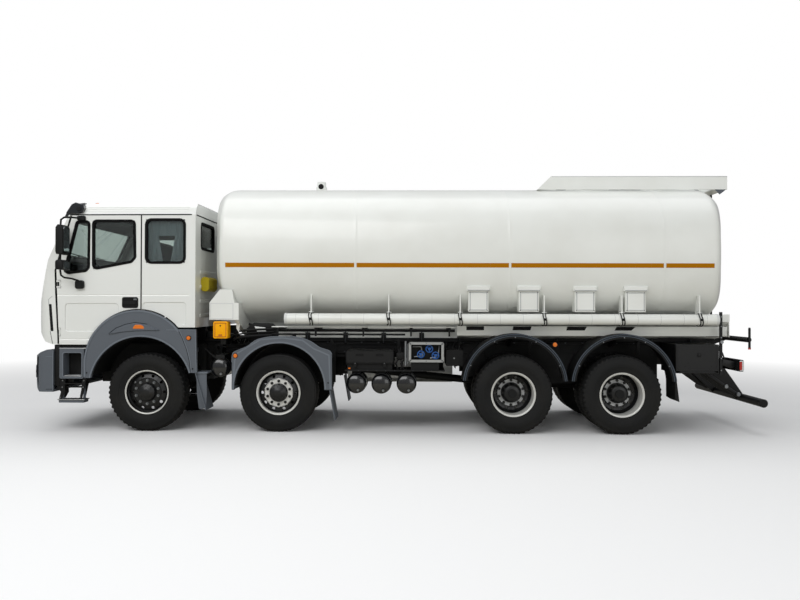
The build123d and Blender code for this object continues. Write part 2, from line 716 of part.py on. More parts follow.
lid_low = manhole_neck_top + moving_gap
for lid_name, place in (("front", manhole_places[0]), ("rear", manhole_places[1])):
    with BuildPart() as lid:
        with BuildSketch(level(lid_low)):
            with Locations((place, 0)):
                Circle(manhole_radius - 5)
            with Locations((place + hinge_x / 2, 0)):
                Rectangle(hinge_x, 40)
        extrude(amount=lid_thickness)
        with BuildSketch(side(20)):
            with Locations((place + hinge_x, manhole_neck_top + 10)):
                Circle(16)
        extrude(amount=40)
        with BuildSketch(side(20)):
            with Locations((place + hinge_x, manhole_neck_top + 10)):
                Circle(6 + running_gap)
        extrude(amount=40, mode=Mode.SUBTRACT)
    lid.part.label = f"manhole_lid_{lid_name}"
    export_step(lid.part, f"parts/manhole_lid_{lid_name}.step")

# ================================================================ cab
cab_half_width = 1220
cab_wall = 45
cab_front_corner = 220
cab_rear_corner = 90
sill = 1180
beltline = sill + 671       # the crease along doors and sides
roof_seam = 2945
roof_rise = 180
roof_top = roof_seam + roof_rise
windscreen_low = beltline + 544
arch_centre = (-100, tyre_radius + 400)
arch_radius = 720
arch_gap = 15
cab_arch_radius = arch_radius + arch_gap
tunnel_half_width = 474     # the floor steps up over the chassis rails
tunnel_front = -1165
tunnel_top = 1295
arch_front_x = arch_centre[0] - sqrt(cab_arch_radius ** 2 - (sill - arch_centre[1]) ** 2)
arch_rear_x = arch_centre[0] + sqrt(cab_arch_radius ** 2 - (cab_bottom_rear - arch_centre[1]) ** 2)
cab_side_outline = [        # x, z of the cab seen from the side, from the sill forward and over the roof
    (arch_front_x, sill),
    (-1260, sill),
    (-1370, sill + 40),
    (-1460, sill + 160),
    (-1505, beltline - 171),
    (-1445, beltline - 6),
    (-1335, windscreen_low - 65),
    (-1055, roof_seam - 15),
    (-850, roof_top - 15),
    (cab_rear - 30, roof_top),
    (cab_rear, roof_top - 30),
    (cab_rear, cab_bottom_rear),
    (arch_rear_x, cab_bottom_rear),
]
roof_section = [            # y, z of the roof's edge seen from behind
    (cab_half_width, roof_seam),
    (cab_half_width - 50, roof_seam + 100),
    (cab_half_width - 130, roof_top - 15),
    (0, roof_top + 10),
]


def cab_block(inset):
    """The cab as one solid, drawn in by an inset all round."""
    half = cab_half_width - inset
    with BuildPart() as block:
        with BuildSketch(side(half)):
            with BuildLine():
                Polyline(*cab_side_outline)
                ThreePointArc(cab_side_outline[-1], (arch_centre[0], arch_centre[1] + cab_arch_radius),
                              cab_side_outline[0])
            make_face()
            if inset:
                offset(amount=-inset, kind=Kind.INTERSECTION)
        extrude(amount=2 * half)
        with BuildSketch(cross(-front_overhang)):
            with BuildLine():
                right_edge = [(y - inset, z - inset / 2) for y, z in roof_section[:-1]]
                left_edge = [(-y, z) for y, z in right_edge]
                Polyline((half, sill - 100), (-half, sill - 100), *left_edge,
                         (0, roof_section[-1][1] - inset), *reversed(right_edge), close=True)
            make_face()
        extrude(amount=front_overhang + cab_rear, mode=Mode.INTERSECT)
        with BuildSketch(level(sill - 100)):
            cab_front = cab_side_outline[4][0]
            with Locations(((cab_front + cab_rear) / 2, 0)):
                plan = Rectangle(cab_rear - cab_front - 2 * inset, 2 * half)
            fillet(plan.vertices().group_by(Axis.X)[0], radius=cab_front_corner - inset)
            fillet(plan.vertices().group_by(Axis.X)[-1], radius=cab_rear_corner - inset)
        extrude(amount=roof_top, mode=Mode.INTERSECT)
        with BuildSketch(side(tunnel_half_width + inset)):
            with Locations((tunnel_front / 2 - inset / 2, (tunnel_top + inset) / 2)):
                Rectangle(-tunnel_front + inset, tunnel_top + inset)
        extrude(amount=2 * (tunnel_half_width + inset), mode=Mode.SUBTRACT)
    return block.part


cab_outer = cab_block(0)
cab_inner = cab_block(cab_wall)
glass_outer = cab_block(18)
glass_inner = cab_block(24)

door_rear_x = -66
door_top = roof_seam - moving_gap - 1
door_shoulder = windscreen_low - 205
door_waist = beltline + 67
door_outline = [            # x, z of the door's edge; below, it ends at the cab's own edge
    (door_rear_x, sill - 80),
    (door_rear_x, door_top),
    (-1000, door_top),
    (-1216, door_shoulder),
    (-1206, door_waist),
    (-1170, sill - 80),
]
door_inner_y = cab_half_width - cab_wall
cab_back_x = cab_rear - 81
front_seam = [              # the front panel's rear edge, ahead of the door by the gap
    (-1170 - moving_gap, sill - 80),
    (-1206 - moving_gap, door_waist),
    (-1216 - moving_gap, door_shoulder),
    (-1000 - moving_gap, roof_seam),
]
window_top = roof_seam - 82
window_low = windscreen_low - 195
window_outlines = {         # x, z of the side windows
    "main": [(-718, window_top), (-146, window_top), (-137, window_low + 161), (-190, window_low + 100),
             (-714, window_low)],
    "quarter": [(-940, window_top - 11), (-766, window_top - 11), (-770, window_low + 25),
                (-810, window_low - 23), (-1053, window_low - 54), (-1107, window_low - 24)],
    "rear": [(6, window_low + 90), (538, window_low + 90), (538, window_top + 17), (6, window_top + 17)],
}
windscreen_half_width = 1060
windscreen_top = roof_seam - 55
back_window = (610, roof_seam - 265, 680, 360)      # centre y, centre z, width, height

with BuildPart() as side_openings:
    for outline in window_outlines.values():
        with BuildSketch(side(-cab_half_width + 2 * cab_wall)):
            with BuildLine():
                pane = Polyline(*outline, close=True)
            make_face()
        extrude(amount=3 * cab_wall)
    mirror(about=Plane.XZ)
with BuildPart() as end_openings:
    with BuildSketch(cross(-front_overhang)):
        with Locations((0, (windscreen_low + windscreen_top) / 2)):
            Rectangle(2 * windscreen_half_width, windscreen_top - windscreen_low)
    extrude(amount=800)
    with BuildSketch(cross(cab_rear - 2 * cab_wall)):
        with Locations((-back_window[0], back_window[1]), (back_window[0], back_window[1])):
            Rectangle(back_window[2], back_window[3])
    extrude(amount=3 * cab_wall)
with BuildPart() as cab_glass_layer:
    add(glass_outer)
    add(glass_inner, mode=Mode.SUBTRACT)
with BuildPart() as cab_shell:
    add(cab_outer)
    add(cab_inner, mode=Mode.SUBTRACT)

# pressings in the cab's sides: a shallow panel in the door, one behind it, and two long creases
pressing_depth = 12
pressing_corner = 40
pressing_taper = 30
crease_depth = 4
crease_height = 9
sill_crease = sill + 70
door_pressing = (-1089, -371, sill + 182, beltline - 116)         # x from, x to, z from, z to
side_pressing = (-30, cab_rear - 131, sill + 270, beltline - 101)


def pressed(x_from, x_to, z_from, z_to):
    """Rounded panel area of a pressing."""
    with Locations(((x_from + x_to) / 2, (z_from + z_to) / 2)):
        RectangleRounded(x_to - x_from, z_to - z_from, pressing_corner)


with BuildPart() as side_pressings:
    with BuildSketch(side(-cab_half_width + pressing_depth)):
        pressed(*door_pressing)
        pressed(*side_pressing)
    extrude(amount=pressing_depth, taper=-pressing_taper)
    for height in (beltline, sill_crease):
        with BuildSketch(cross(-front_overhang)):
            with BuildLine():
                Polyline((-cab_half_width, height - crease_height), (-cab_half_width + crease_depth, height),
                         (-cab_half_width, height + crease_height), close=True)
            make_face()
        extrude(amount=front_overhang + cab_rear - cab_rear_corner)
    mirror(about=Plane.XZ)

# door hinges: a pin between two ears on the front panel, a barrel on the door
door_hinge_x = -1165
door_hinge_y = cab_half_width
door_hinge_places = (1300, 1950)        # lower end of each hinge
door_hinge_height = 100
door_ear_height = 22
door_barrel_radius = 10
door_leaf = 16
door_pin_radius = 5
door_pin_play = 1


def hinge_outline(height, radius, length, direction, sign):
    """Round barrel outline with a leaf running forward (-1) or rearward (+1) from it."""
    with BuildSketch(level(height)) as outline:
        with Locations((door_hinge_x, sign * door_hinge_y)):
            Circle(radius)
        with Locations((door_hinge_x + direction * length / 2, sign * (door_hinge_y - door_leaf / 2))):
            Rectangle(length, door_leaf)
    return outline.sketch


with BuildPart() as hinge_ears:
    for sign in (-1, 1):
        for low in door_hinge_places:
            for height in (low, low + door_hinge_height - door_ear_height):
                add(hinge_outline(height, door_barrel_radius, 70, -1, sign))
                extrude(amount=door_ear_height)
            with BuildSketch(level(low)):
                with Locations((door_hinge_x, sign * door_hinge_y)):
                    Circle(door_pin_radius)
            extrude(amount=door_hinge_height)
with BuildPart() as hinge_rooms:        # what the ears need out of the door's front edge
    for sign in (-1, 1):
        for low in door_hinge_places:
            with BuildSketch(level(low - moving_gap)):
                with Locations((door_hinge_x, sign * door_hinge_y)):
                    Circle(door_barrel_radius + moving_gap)
                with Locations((door_hinge_x - 40, sign * (door_hinge_y - 20))):
                    Rectangle(80, 80)
            extrude(amount=door_hinge_height + 2 * moving_gap)
with BuildPart() as hinge_barrels:
    for sign in (-1, 1):
        for low in door_hinge_places:
            barrel_low = low + door_ear_height + door_pin_play
            add(hinge_outline(barrel_low, door_barrel_radius, 35, 1, sign))
            extrude(amount=door_hinge_height - 2 * door_ear_height - 2 * door_pin_play)
            with BuildSketch(level(barrel_low)):
                with Locations((door_hinge_x, sign * door_hinge_y)):
                    Circle(door_pin_radius + running_gap)
            extrude(amount=door_hinge_height, mode=Mode.SUBTRACT)

tilt_lug_y = tilt_bracket_y + tilt_bracket_thickness + tilt_lug_gap
with BuildPart() as cab_front:
    add(cab_shell.part)
    with BuildSketch(side(cab_half_width)):
        with BuildLine():
            Polyline((-front_overhang, sill - 80), *front_seam, (-front_overhang, roof_seam), close=True)
        make_face()
    extrude(amount=2 * cab_half_width, mode=Mode.INTERSECT)
    add(end_openings.part, mode=Mode.SUBTRACT)
    add(hinge_ears.part)
cab_front.part.label = "cab_front"
export_step(cab_front.part, "parts/cab_front.step")

roof_rib_front = -640
roof_rib_places = (-720, -360, 0, 360, 720)
roof_rib_width = 90
roof_rib_height = 14
with BuildPart() as cab_roof:
    add(cab_shell.part)
    with BuildSketch(level(roof_seam)):
        with Locations(((cab_rear - front_overhang) / 2, 0)):
            Rectangle(front_overhang + cab_rear, 2 * cab_half_width)
    extrude(amount=roof_top, mode=Mode.INTERSECT)
    # stiffening ribs along the roof
    for place in roof_rib_places:
        with BuildSketch(level(roof_top - cab_wall / 2)):
            with Locations(((roof_rib_front + cab_rear - cab_rear_corner) / 2, place)):
                RectangleRounded(cab_rear - cab_rear_corner - roof_rib_front, roof_rib_width, roof_rib_width / 2 - 1)
        extrude(amount=cab_wall / 2 + roof_rib_height, taper=pressing_taper / 2)
cab_roof.part.label = "cab_roof"
export_step(cab_roof.part, "parts/cab_roof.step")

with BuildPart() as cab_back:
    add(cab_shell.part)
    with BuildSketch(side(cab_half_width)):
        with Locations(((cab_back_x + cab_rear) / 2, (roof_seam + sill) / 2)):
            Rectangle(cab_rear - cab_back_x, roof_seam - sill)
    extrude(amount=2 * cab_half_width, mode=Mode.INTERSECT)
    add(end_openings.part, mode=Mode.SUBTRACT)
cab_back.part.label = "cab_back"
export_step(cab_back.part, "parts/cab_back.step")

with BuildPart() as cab_sides:
    add(cab_shell.part)
    with BuildSketch(side(cab_half_width)):
        with Locations(((door_rear_x + moving_gap + cab_back_x) / 2, (roof_seam + sill) / 2)):
            Rectangle(cab_back_x - door_rear_x - moving_gap, roof_seam - sill)
    extrude(amount=2 * cab_half_width, mode=Mode.INTERSECT)
    with BuildSketch(side(door_inner_y)):
        with Locations((cab_back_x / 2, (roof_seam + sill) / 2)):
            Rectangle(2 * cab_back_x, roof_seam)
    extrude(amount=2 * door_inner_y, mode=Mode.SUBTRACT)
    add(side_openings.part, mode=Mode.SUBTRACT)
    add(side_pressings.part, mode=Mode.SUBTRACT)
cab_sides.part.label = "cab_sides"
export_step(cab_sides.part, "parts/cab_sides.step")

# grille on the cab's nose: slats between uprights, following the sloping front
grille_thickness = 11
grille_half_width = 640
grille_slat = 34
grille_slats = 6
grille_low = sill + 170
grille_top = beltline - 60
grille_pitch = (grille_top - grille_low - grille_slat) / (grille_slats - 1)
grille_upright = 40
with BuildPart() as cab_grille:
    add(cab_block(-grille_thickness))
    add(cab_outer, mode=Mode.SUBTRACT)
    with BuildPart(mode=Mode.INTERSECT):
        for slat in range(grille_slats):
            with BuildSketch(side(grille_half_width)):
                with Locations((-front_overhang, grille_low + grille_slat / 2 + slat * grille_pitch)):
                    Rectangle(front_overhang, grille_slat)
            extrude(amount=2 * grille_half_width)
        for place in (-1, 0, 1):
            with BuildSketch(side(place * (grille_half_width - grille_upright / 2) + grille_upright / 2)):
                with Locations((-front_overhang, (grille_low + grille_top) / 2)):
                    Rectangle(front_overhang, grille_top - grille_low)
            extrude(amount=grille_upright)
cab_grille.part.label = "cab_grille"
export_step(cab_grille.part, "parts/cab_grille.step")

floor_half_width = door_inner_y - moving_gap
with BuildPart() as cab_floor:
    add(cab_shell.part)
    with BuildSketch(side(floor_half_width)):
        with BuildLine():
            Polyline(front_seam[0], front_seam[1], (cab_back_x, front_seam[1][1]),
                     (cab_back_x, sill - 80), close=True)
        make_face()
    extrude(amount=2 * floor_half_width, mode=Mode.INTERSECT)
    # lugs that turn on the chassis pins when the cab tilts
    with BuildSketch(side(-tilt_lug_y)):
        with BuildLine():
            Polyline((tilt_pivot_x - 30, tilt_pivot_z), (tilt_pivot_x + 30, sill - 5),
                     (front_seam[0][0] + moving_gap, sill - 5), (front_seam[0][0] + moving_gap, sill + 10),
                     (tilt_pivot_x + 210, sill + 10), (tilt_pivot_x + 30, tilt_pivot_z - 20), close=True)
        make_face()
        with Locations((tilt_pivot_x, tilt_pivot_z)):
            Circle(tilt_pin_radius + 18)
    extrude(amount=tilt_lug_thickness)
    with BuildSketch(side(-tilt_lug_y)):
        with Locations((tilt_pivot_x, tilt_pivot_z)):
            Circle(tilt_pin_radius + running_gap)
    extrude(amount=tilt_lug_thickness, mode=Mode.SUBTRACT)
    mirror(about=Plane.XZ)
cab_floor.part.label = "cab_floor"
export_step(cab_floor.part, "parts/cab_floor.step")

for side_name, sign in (("left", -1), ("right", 1)):
    with BuildPart() as door:
        add(cab_shell.part)
        with BuildSketch(side(sign * (door_inner_y + cab_wall / 2) + cab_wall / 2)):
            with BuildLine():
                Polyline(*door_outline, close=True)
            make_face()
        extrude(amount=cab_wall, mode=Mode.INTERSECT)
        add(side_openings.part, mode=Mode.SUBTRACT)
        add(side_pressings.part, mode=Mode.SUBTRACT)
        add(hinge_rooms.part, mode=Mode.SUBTRACT)
        with BuildPart(mode=Mode.PRIVATE) as barrels:
            add(hinge_barrels.part)
            with Locations((0, -sign * cab_half_width, sill)):
                Box(2 * overall_length, 2 * cab_half_width, 2 * roof_top, mode=Mode.SUBTRACT)
        add(barrels.part)
    door.part.label = f"door_{side_name}"
    export_step(door.part, f"parts/door_{side_name}.step")

    with BuildPart() as door_glass:
        add(cab_glass_layer.part)
        add(side_openings.part, mode=Mode.INTERSECT)
        with BuildSketch(side(sign * (door_inner_y + cab_wall / 2) + cab_wall / 2)):
            with BuildLine():
                Polyline(*door_outline, close=True)
            make_face()
        extrude(amount=cab_wall, mode=Mode.INTERSECT)
    door_glass.part.label = f"door_glass_{side_name}"
    export_step(door_glass.part, f"parts/door_glass_{side_name}.step")

with BuildPart() as cab_glass:      # windscreen, rear side windows and the two panes in the back wall
    add(cab_glass_layer.part)
    add(side_openings.part + end_openings.part, mode=Mode.INTERSECT)
    with BuildSketch(side(cab_half_width)):
        with BuildLine():
            Polyline(*door_outline, close=True)
        make_face()
    extrude(amount=cab_half_width - windscreen_half_width, mode=Mode.SUBTRACT)
    with BuildSketch(side(-windscreen_half_width)):
        with BuildLine():
            Polyline(*door_outline, close=True)
        make_face()
    extrude(amount=cab_half_width - windscreen_half_width, mode=Mode.SUBTRACT)
cab_glass.part.label = "cab_glass"
export_step(cab_glass.part, "parts/cab_glass.step")

# ---------------------------------------------------------------- sun visor, mirrors, reservoir, interior
visor_front = (-1173, roof_seam - 3)
visor_rear = (-903, roof_top - 11)
visor_thickness = 10
visor_half_width = 1040
visor_bracket_places = (-900, 0, 900)

with BuildPart() as sun_visor:
    with BuildSketch(side(visor_half_width)):
        with BuildLine():
            Polyline(visor_front, visor_rear, (visor_rear[0] + visor_thickness, visor_rear[1] - visor_thickness),
                     (visor_front[0] + visor_thickness, visor_front[1] - visor_thickness), close=True)
        make_face()
    extrude(amount=2 * visor_half_width)
    for place in visor_bracket_places:
        with BuildSketch(side(place + 15)):
            with BuildLine():
                Polyline((visor_rear[0] - 117, roof_top - 93), (visor_rear[0] - 37, roof_top - 42),
                         (visor_rear[0] + 23, roof_top - 105), (visor_rear[0] - 77, roof_seam + 15), close=True)
            make_face()
        extrude(amount=30)
    add(cab_outer, mode=Mode.SUBTRACT)
sun_visor.part.label = "sun_visor"
export_step(sun_visor.part, "parts/sun_visor.step")

mirror_y = 1410
mirror_tube = 14
mirror_low = beltline + 299
mirror_path = [             # x, z, distance from the truck's middle: upper foot, over, down, lower foot
    (-850, roof_seam - 50, cab_half_width - 8),
    (-1051, roof_seam - 65, mirror_y),
    (-1051, mirror_low, mirror_y),
    (-872, mirror_low - 136, cab_half_width - 8),
]
mirror_glass = (-1058, mirror_low + 437, 140, 386)          # centre x, centre z, length, height
mirror_glass_low = (-1060, mirror_low + 94, 135, 140)
for side_name, sign in (("left", -1), ("right", 1)):
    with BuildPart() as mirrors:
        corners = [Vector(axle_1_x + x, sign * y, z) for x, z, y in mirror_path]
        for first, second in zip(corners, corners[1:]):
            with BuildSketch(Plane(origin=first, z_dir=second - first)):
                Circle(mirror_tube)
            extrude(amount=(second - first).length)
        with Locations(corners[1], corners[2]):
            Sphere(mirror_tube)
        with BuildSketch(side(sign * mirror_y + 110)):
            for centre_x, centre_z, length, height in (mirror_glass, mirror_glass_low):
                with Locations((centre_x, centre_z)):
                    RectangleRounded(length, height, 30)
        extrude(amount=220)
        add(cab_outer, mode=Mode.SUBTRACT)
    mirrors.part.label = f"mirrors_{side_name}"
    export_step(mirrors.part, f"parts/mirrors_{side_name}.step")

reservoir_depth = 110
reservoir_y = (-950, -500)
reservoir_z = beltline + 159
with BuildPart() as reservoir:
    with BuildSketch(side(reservoir_y[1])):
        with Locations((cab_rear + reservoir_depth / 2, reservoir_z)):
            RectangleRounded(reservoir_depth, 200, 50)
    extrude(amount=reservoir_y[1] - reservoir_y[0])
reservoir.part.label = "reservoir"
export_step(reservoir.part, "parts/reservoir.step")

seat_y = 620
seat_width = 520
seat_cushion = [(-560, 1830), (-80, 1800), (-80, 1900), (-560, 1950)]
seat_back = [(-130, 1880), (-60, 1880), (130, 2560), (60, 2600), (-30, 2560)]
dashboard = [(-1480, 1800), (-1180, 1800), (-1020, 2060), (-1060, 2270), (-1260, 2310), (-1400, 2310)]
dashboard_half_width = 1120
steering_wheel = (-880, 2170, 230)      # x, z, radius
bunk = [(180, 1680), (cab_rear, 1680), (cab_rear, 1900), (180, 1900)]
with BuildPart() as cab_interior:
    for place in (-seat_y, seat_y):
        with BuildSketch(side(place + seat_width / 2)):
            for outline in (seat_cushion, seat_back):
                with BuildLine():
                    Polyline(*outline, close=True)
                make_face()
        extrude(amount=seat_width)
        with BuildSketch(side(place + 160)):
            with Locations((-320, 1740)):
                Rectangle(300, 220)
        extrude(amount=320)
    with BuildSketch(side(dashboard_half_width)):
        with BuildLine():
            Polyline(*dashboard, close=True)
        make_face()
        with BuildLine():
            Polyline(*bunk, close=True)
        make_face()
    extrude(amount=2 * dashboard_half_width)
    wheel_place = Vector(axle_1_x + steering_wheel[0], -seat_y, steering_wheel[1])
    column_foot = Vector(axle_1_x - 1120, -seat_y, 1990)
    with BuildSketch(Plane(origin=column_foot, z_dir=wheel_place - column_foot)):
        Circle(30)
    extrude(amount=(wheel_place - column_foot).length)
    with Locations(Plane(origin=wheel_place, z_dir=wheel_place - column_foot)):
        Torus(steering_wheel[2] - 16, 16)
        Box(2 * steering_wheel[2] - 30, 40, 16)
    add(cab_inner, mode=Mode.INTERSECT)
cab_interior.part.label = "cab_interior"
export_step(cab_interior.part, "parts/cab_interior.step")

# ================================================================ bumper, lamps, entry steps
bumper_half_width = 1240
bumper_wall = 30
bumper_corner = 170
bumper_rear = -1240
bumper_outline = [          # x, z of the bumper seen from the side
    (bumper_rear, 540),
    (-1440, 540),
    (-1480, 580),
    (-front_overhang, 760),
    (-front_overhang, 1010),
    (-1420, 1075),
    (-1330, 1110),
    (bumper_rear, 1110),
]
lug_window_front = bumper_rear - 160
lug_window_half_width = 950
bumper_arm_rear = crossmember_places[0] - crossmember_length / 2 - seat_gap
bumper_arm = [(-1505, 820), (-1505, 960), (-1400, 1030), (bumper_arm_rear, 1110),
              (bumper_arm_rear, rail_bottom + 10), (rail_front - 10, rail_bottom + 10), (-1300, 820)]
bumper_arm_y = (360, 420)
head_lamp = (1000, 810, 280, 180)       # centre y, centre z, width, height
head_lamp_depth = 80

bumper_slot_z = 955
bumper_slot_pitch = 45
bumper_slot_count = 2
bumper_slot_width = 1300
bumper_slot_height = 24
bumper_slot_depth = 14

with BuildPart() as bumper:
    with BuildSketch(side(bumper_half_width)):
        with BuildLine():
            Polyline(*bumper_outline, close=True)
        make_face()
    extrude(amount=2 * bumper_half_width)
    with BuildSketch(level(0)):
        with Locations(((bumper_rear - front_overhang) / 2, 0)):
            plan = Rectangle(front_overhang + bumper_rear, 2 * bumper_half_width)
        fillet(plan.vertices().group_by(Axis.X)[0], radius=bumper_corner)
    extrude(amount=rail_top, mode=Mode.INTERSECT)
    with BuildSketch(side(bumper_half_width - bumper_wall)):
        with BuildLine():
            Polyline((0, 540), *bumper_outline[1:-1], (0, 1110), close=True)
        make_face()
        offset(amount=-bumper_wall, kind=Kind.INTERSECTION)
    extrude(amount=2 * (bumper_half_width - bumper_wall), mode=Mode.SUBTRACT)
    with BuildSketch(level(bumper_outline[5][1] - bumper_wall)):
        with Locations(((lug_window_front + bumper_rear) / 2, 0)):
            Rectangle(bumper_rear - lug_window_front, 2 * lug_window_half_width)
    extrude(amount=200, mode=Mode.SUBTRACT)
    for place in (-head_lamp[0], head_lamp[0]):
        with BuildSketch(cross(-front_overhang)):
            with Locations((place, head_lamp[1])):
                RectangleRounded(head_lamp[2], head_lamp[3], 20)
        extrude(amount=head_lamp_depth, mode=Mode.SUBTRACT)
    for place in (bumper_arm_y[1], -bumper_arm_y[0]):
        with BuildSketch(side(place)):
            with BuildLine():
                Polyline(*bumper_arm, close=True)
            make_face()
        extrude(amount=bumper_arm_y[1] - bumper_arm_y[0])
    # intake slots over the plate field
    with BuildSketch(cross(-front_overhang)):
        with Locations((0, bumper_slot_z)):
            with GridLocations(0, bumper_slot_pitch, 1, bumper_slot_count):
                RectangleRounded(bumper_slot_width, bumper_slot_height, bumper_slot_height / 3)
    extrude(amount=bumper_slot_depth, mode=Mode.SUBTRACT)
bumper.part.label = "bumper"
export_step(bumper.part, "parts/bumper.step")

tail_lamp_x = rail_rear + 10
tail_lamp_y = (650, 1230)
tail_lamp_z = (850, 1010)
guard_face_y = 1250
marker_depth = 22
arch_marker = (-81, 1424, 176, 61)      # centre x, centre z, length, height
round_marker_radius = 27
round_markers = [(604, 1275), (axle_2 - 561, 1039)]
with BuildPart() as lamps:
    for sign in (-1, 1):
        with BuildSketch(side(sign * guard_face_y + marker_depth * (1 + sign) / 2)):
            with Locations((arch_marker[0], arch_marker[1])):
                SlotOverall(arch_marker[2], arch_marker[3])
            with Locations(*round_markers):
                Circle(round_marker_radius)
        extrude(amount=marker_depth)
    for place in (-head_lamp[0], head_lamp[0]):
        with BuildSketch(cross(-front_overhang)):
            with Locations((place, head_lamp[1])):
                RectangleRounded(head_lamp[2], head_lamp[3], 20)
        extrude(amount=head_lamp_depth)
    for place in (-1, 1):
        with BuildSketch(cross(tail_lamp_x)):
            with Locations((place * sum(tail_lamp_y) / 2, sum(tail_lamp_z) / 2)):
                RectangleRounded(tail_lamp_y[1] - tail_lamp_y[0], tail_lamp_z[1] - tail_lamp_z[0], 20)
        extrude(amount=80)
lamps.part.label = "lamps"
export_step(lamps.part, "parts/lamps.step")

step_box_x = (-1160, -828)
step_box_z = (719, 1136)
step_box_y = (1000, 1235)
step_recess_x = (-1105, -860)
step_recess_z = (748, 1065)
step_recess_depth = 180
step_tread_z = 410
step_tread_x = (-1150, -850)
step_tread_y = (1075, 1225)
step_beam_x = (-990, -920)
step_beam_z = (1000, 1080)
with BuildPart() as entry_steps:
    with BuildSketch(side(-step_box_y[0])):
        with Locations((sum(step_box_x) / 2, sum(step_box_z) / 2)):
            RectangleRounded(step_box_x[1] - step_box_x[0], step_box_z[1] - step_box_z[0], 25)
    extrude(amount=step_box_y[1] - step_box_y[0])
    with BuildSketch(side(-step_box_y[1] + step_recess_depth)):
        with Locations((sum(step_recess_x) / 2, sum(step_recess_z) / 2)):
            RectangleRounded(step_recess_x[1] - step_recess_x[0], step_recess_z[1] - step_recess_z[0], 20)
    extrude(amount=step_recess_depth, mode=Mode.SUBTRACT)
    # beam from the rail
    with BuildSketch(side(-rail_outer_y)):
        with Locations((sum(step_beam_x) / 2, sum(step_beam_z) / 2)):
            Rectangle(step_beam_x[1] - step_beam_x[0], step_beam_z[1] - step_beam_z[0])
    extrude(amount=step_box_y[0] - rail_outer_y)
    # lower tread on two arms
    for arm_x in step_tread_x:
        with BuildSketch(side(-step_tread_y[0] - 60)):
            with BuildLine():
                Polyline((arm_x - 15, step_tread_z), (arm_x + 15, step_tread_z),
                         (arm_x * 0.9 - 84, step_box_z[0] + 10), (arm_x * 0.9 - 114, step_box_z[0] + 10),
                         close=True)
            make_face()
        extrude(amount=12)
    with BuildSketch(side(-step_tread_y[0])):
        with Locations((sum(step_tread_x) / 2, step_tread_z)):
            Rectangle(step_tread_x[1] - step_tread_x[0] + 40, 35)
    extrude(amount=step_tread_y[1] - step_tread_y[0])
    mirror(about=Plane.XZ)
entry_steps.part.label = "entry_steps"
export_step(entry_steps.part, "parts/entry_steps.step")

# ================================================================ mudguards and flaps
guard_face_depth = 50
guard_inner_y = 850
guard_skin = 8
guard_1_centre = (-50, 600)
guard_1_radius = 690
guard_1_front_foot = [(-820, 930), (-816, 730), (-600, 730), (-600, 930)]
guard_1_rear_panel = [(300, 1390), (700, 1390), (717, 805), (540, 805), (300, 1000)]
guard_2_centre = (axle_2 + 30, 600)
guard_2_radius = 610
guard_2_outline = [         # x from axle 2, z
    (-610, 580),
    (-585, 985),
    (-540, 1090),
    (-400, 1170),
    (-230, 1270),
    (70, 1294),
    (350, 1260),
    (500, 1150),
    (715, 1060),
    (735, 585),
]
guard_foot_z = 730
guard_1_rear_foot_z = 805
guard_2_foot_z = 585
guard_bars = [              # x, z of the bars that carry the guards from the rails
    (515, 1080),
    (axle_2 - 510, 1040),
    (axle_2 + 640, 1000),
]

flap_y = (860, 1235)
front_flaps = [             # x, z of the flaps behind the front wheels, seen from the side
    [(681, 810), (697, 810), (843, 305), (827, 305)],
    [(axle_2 + 700, 590), (axle_2 + 716, 590), (axle_2 + 790, 180), (axle_2 + 774, 180)],
]
rear_flap = [(axle_4 + 693, 720), (axle_4 + 716, 720), (axle_4 + 751, 445), (axle_4 + 695, 480)]

with BuildPart() as mudguards_front:
    with BuildSketch(side(-guard_face_y + guard_face_depth)):
        with Locations(arch_centre):
            Circle(arch_radius)
        with BuildLine():
            Polyline(*guard_1_front_foot, close=True)
        make_face()
        with BuildLine():
            Polyline(*guard_1_rear_panel, close=True)
        make_face()
        with Locations(guard_1_centre):
            Circle(guard_1_radius, mode=Mode.SUBTRACT)
        with Locations((-front_overhang / 2, guard_foot_z / 2)):
            Rectangle(front_overhang, guard_foot_z, mode=Mode.SUBTRACT)
        with Locations((front_overhang / 2, guard_1_rear_foot_z / 2)):
            Rectangle(front_overhang, guard_1_rear_foot_z, mode=Mode.SUBTRACT)
    extrude(amount=guard_face_depth)
    with BuildSketch(side(-guard_face_y + guard_face_depth)):
        with BuildLine():
            Polyline(*[(axle_2 + x, z) for x, z in guard_2_outline], close=True)
        make_face()
        with Locations(guard_2_centre):
            Circle(guard_2_radius, mode=Mode.SUBTRACT)
    extrude(amount=guard_face_depth)
    for centre, radius, foot in ((guard_1_centre, guard_1_radius, guard_1_rear_foot_z),
                                 (guard_2_centre, guard_2_radius, guard_2_foot_z)):
        with BuildSketch(side(-guard_inner_y)):
            with Locations(centre):
                Circle(radius + guard_skin)
                Circle(radius, mode=Mode.SUBTRACT)
            with Locations((centre[0], foot / 2 - radius / 2)):
                Rectangle(3 * radius, foot + radius, mode=Mode.SUBTRACT)
        extrude(amount=guard_face_y - guard_inner_y - 5)
    for bar_x, bar_z in guard_bars:
        with BuildSketch(side(-rail_outer_y)):
            with Locations((bar_x, bar_z)):
                Rectangle(60, 60)
        extrude(amount=guard_face_y - rail_outer_y - 20)
    with BuildSketch(side(-flap_y[0])):
        for outline in front_flaps:
            with BuildLine():
                Polyline(*outline, close=True)
            make_face()
    extrude(amount=flap_y[1] - flap_y[0])
    mirror(about=Plane.XZ)
mudguards_front.part.label = "mudguards_front"
export_step(mudguards_front.part, "parts/mudguards_front.step")

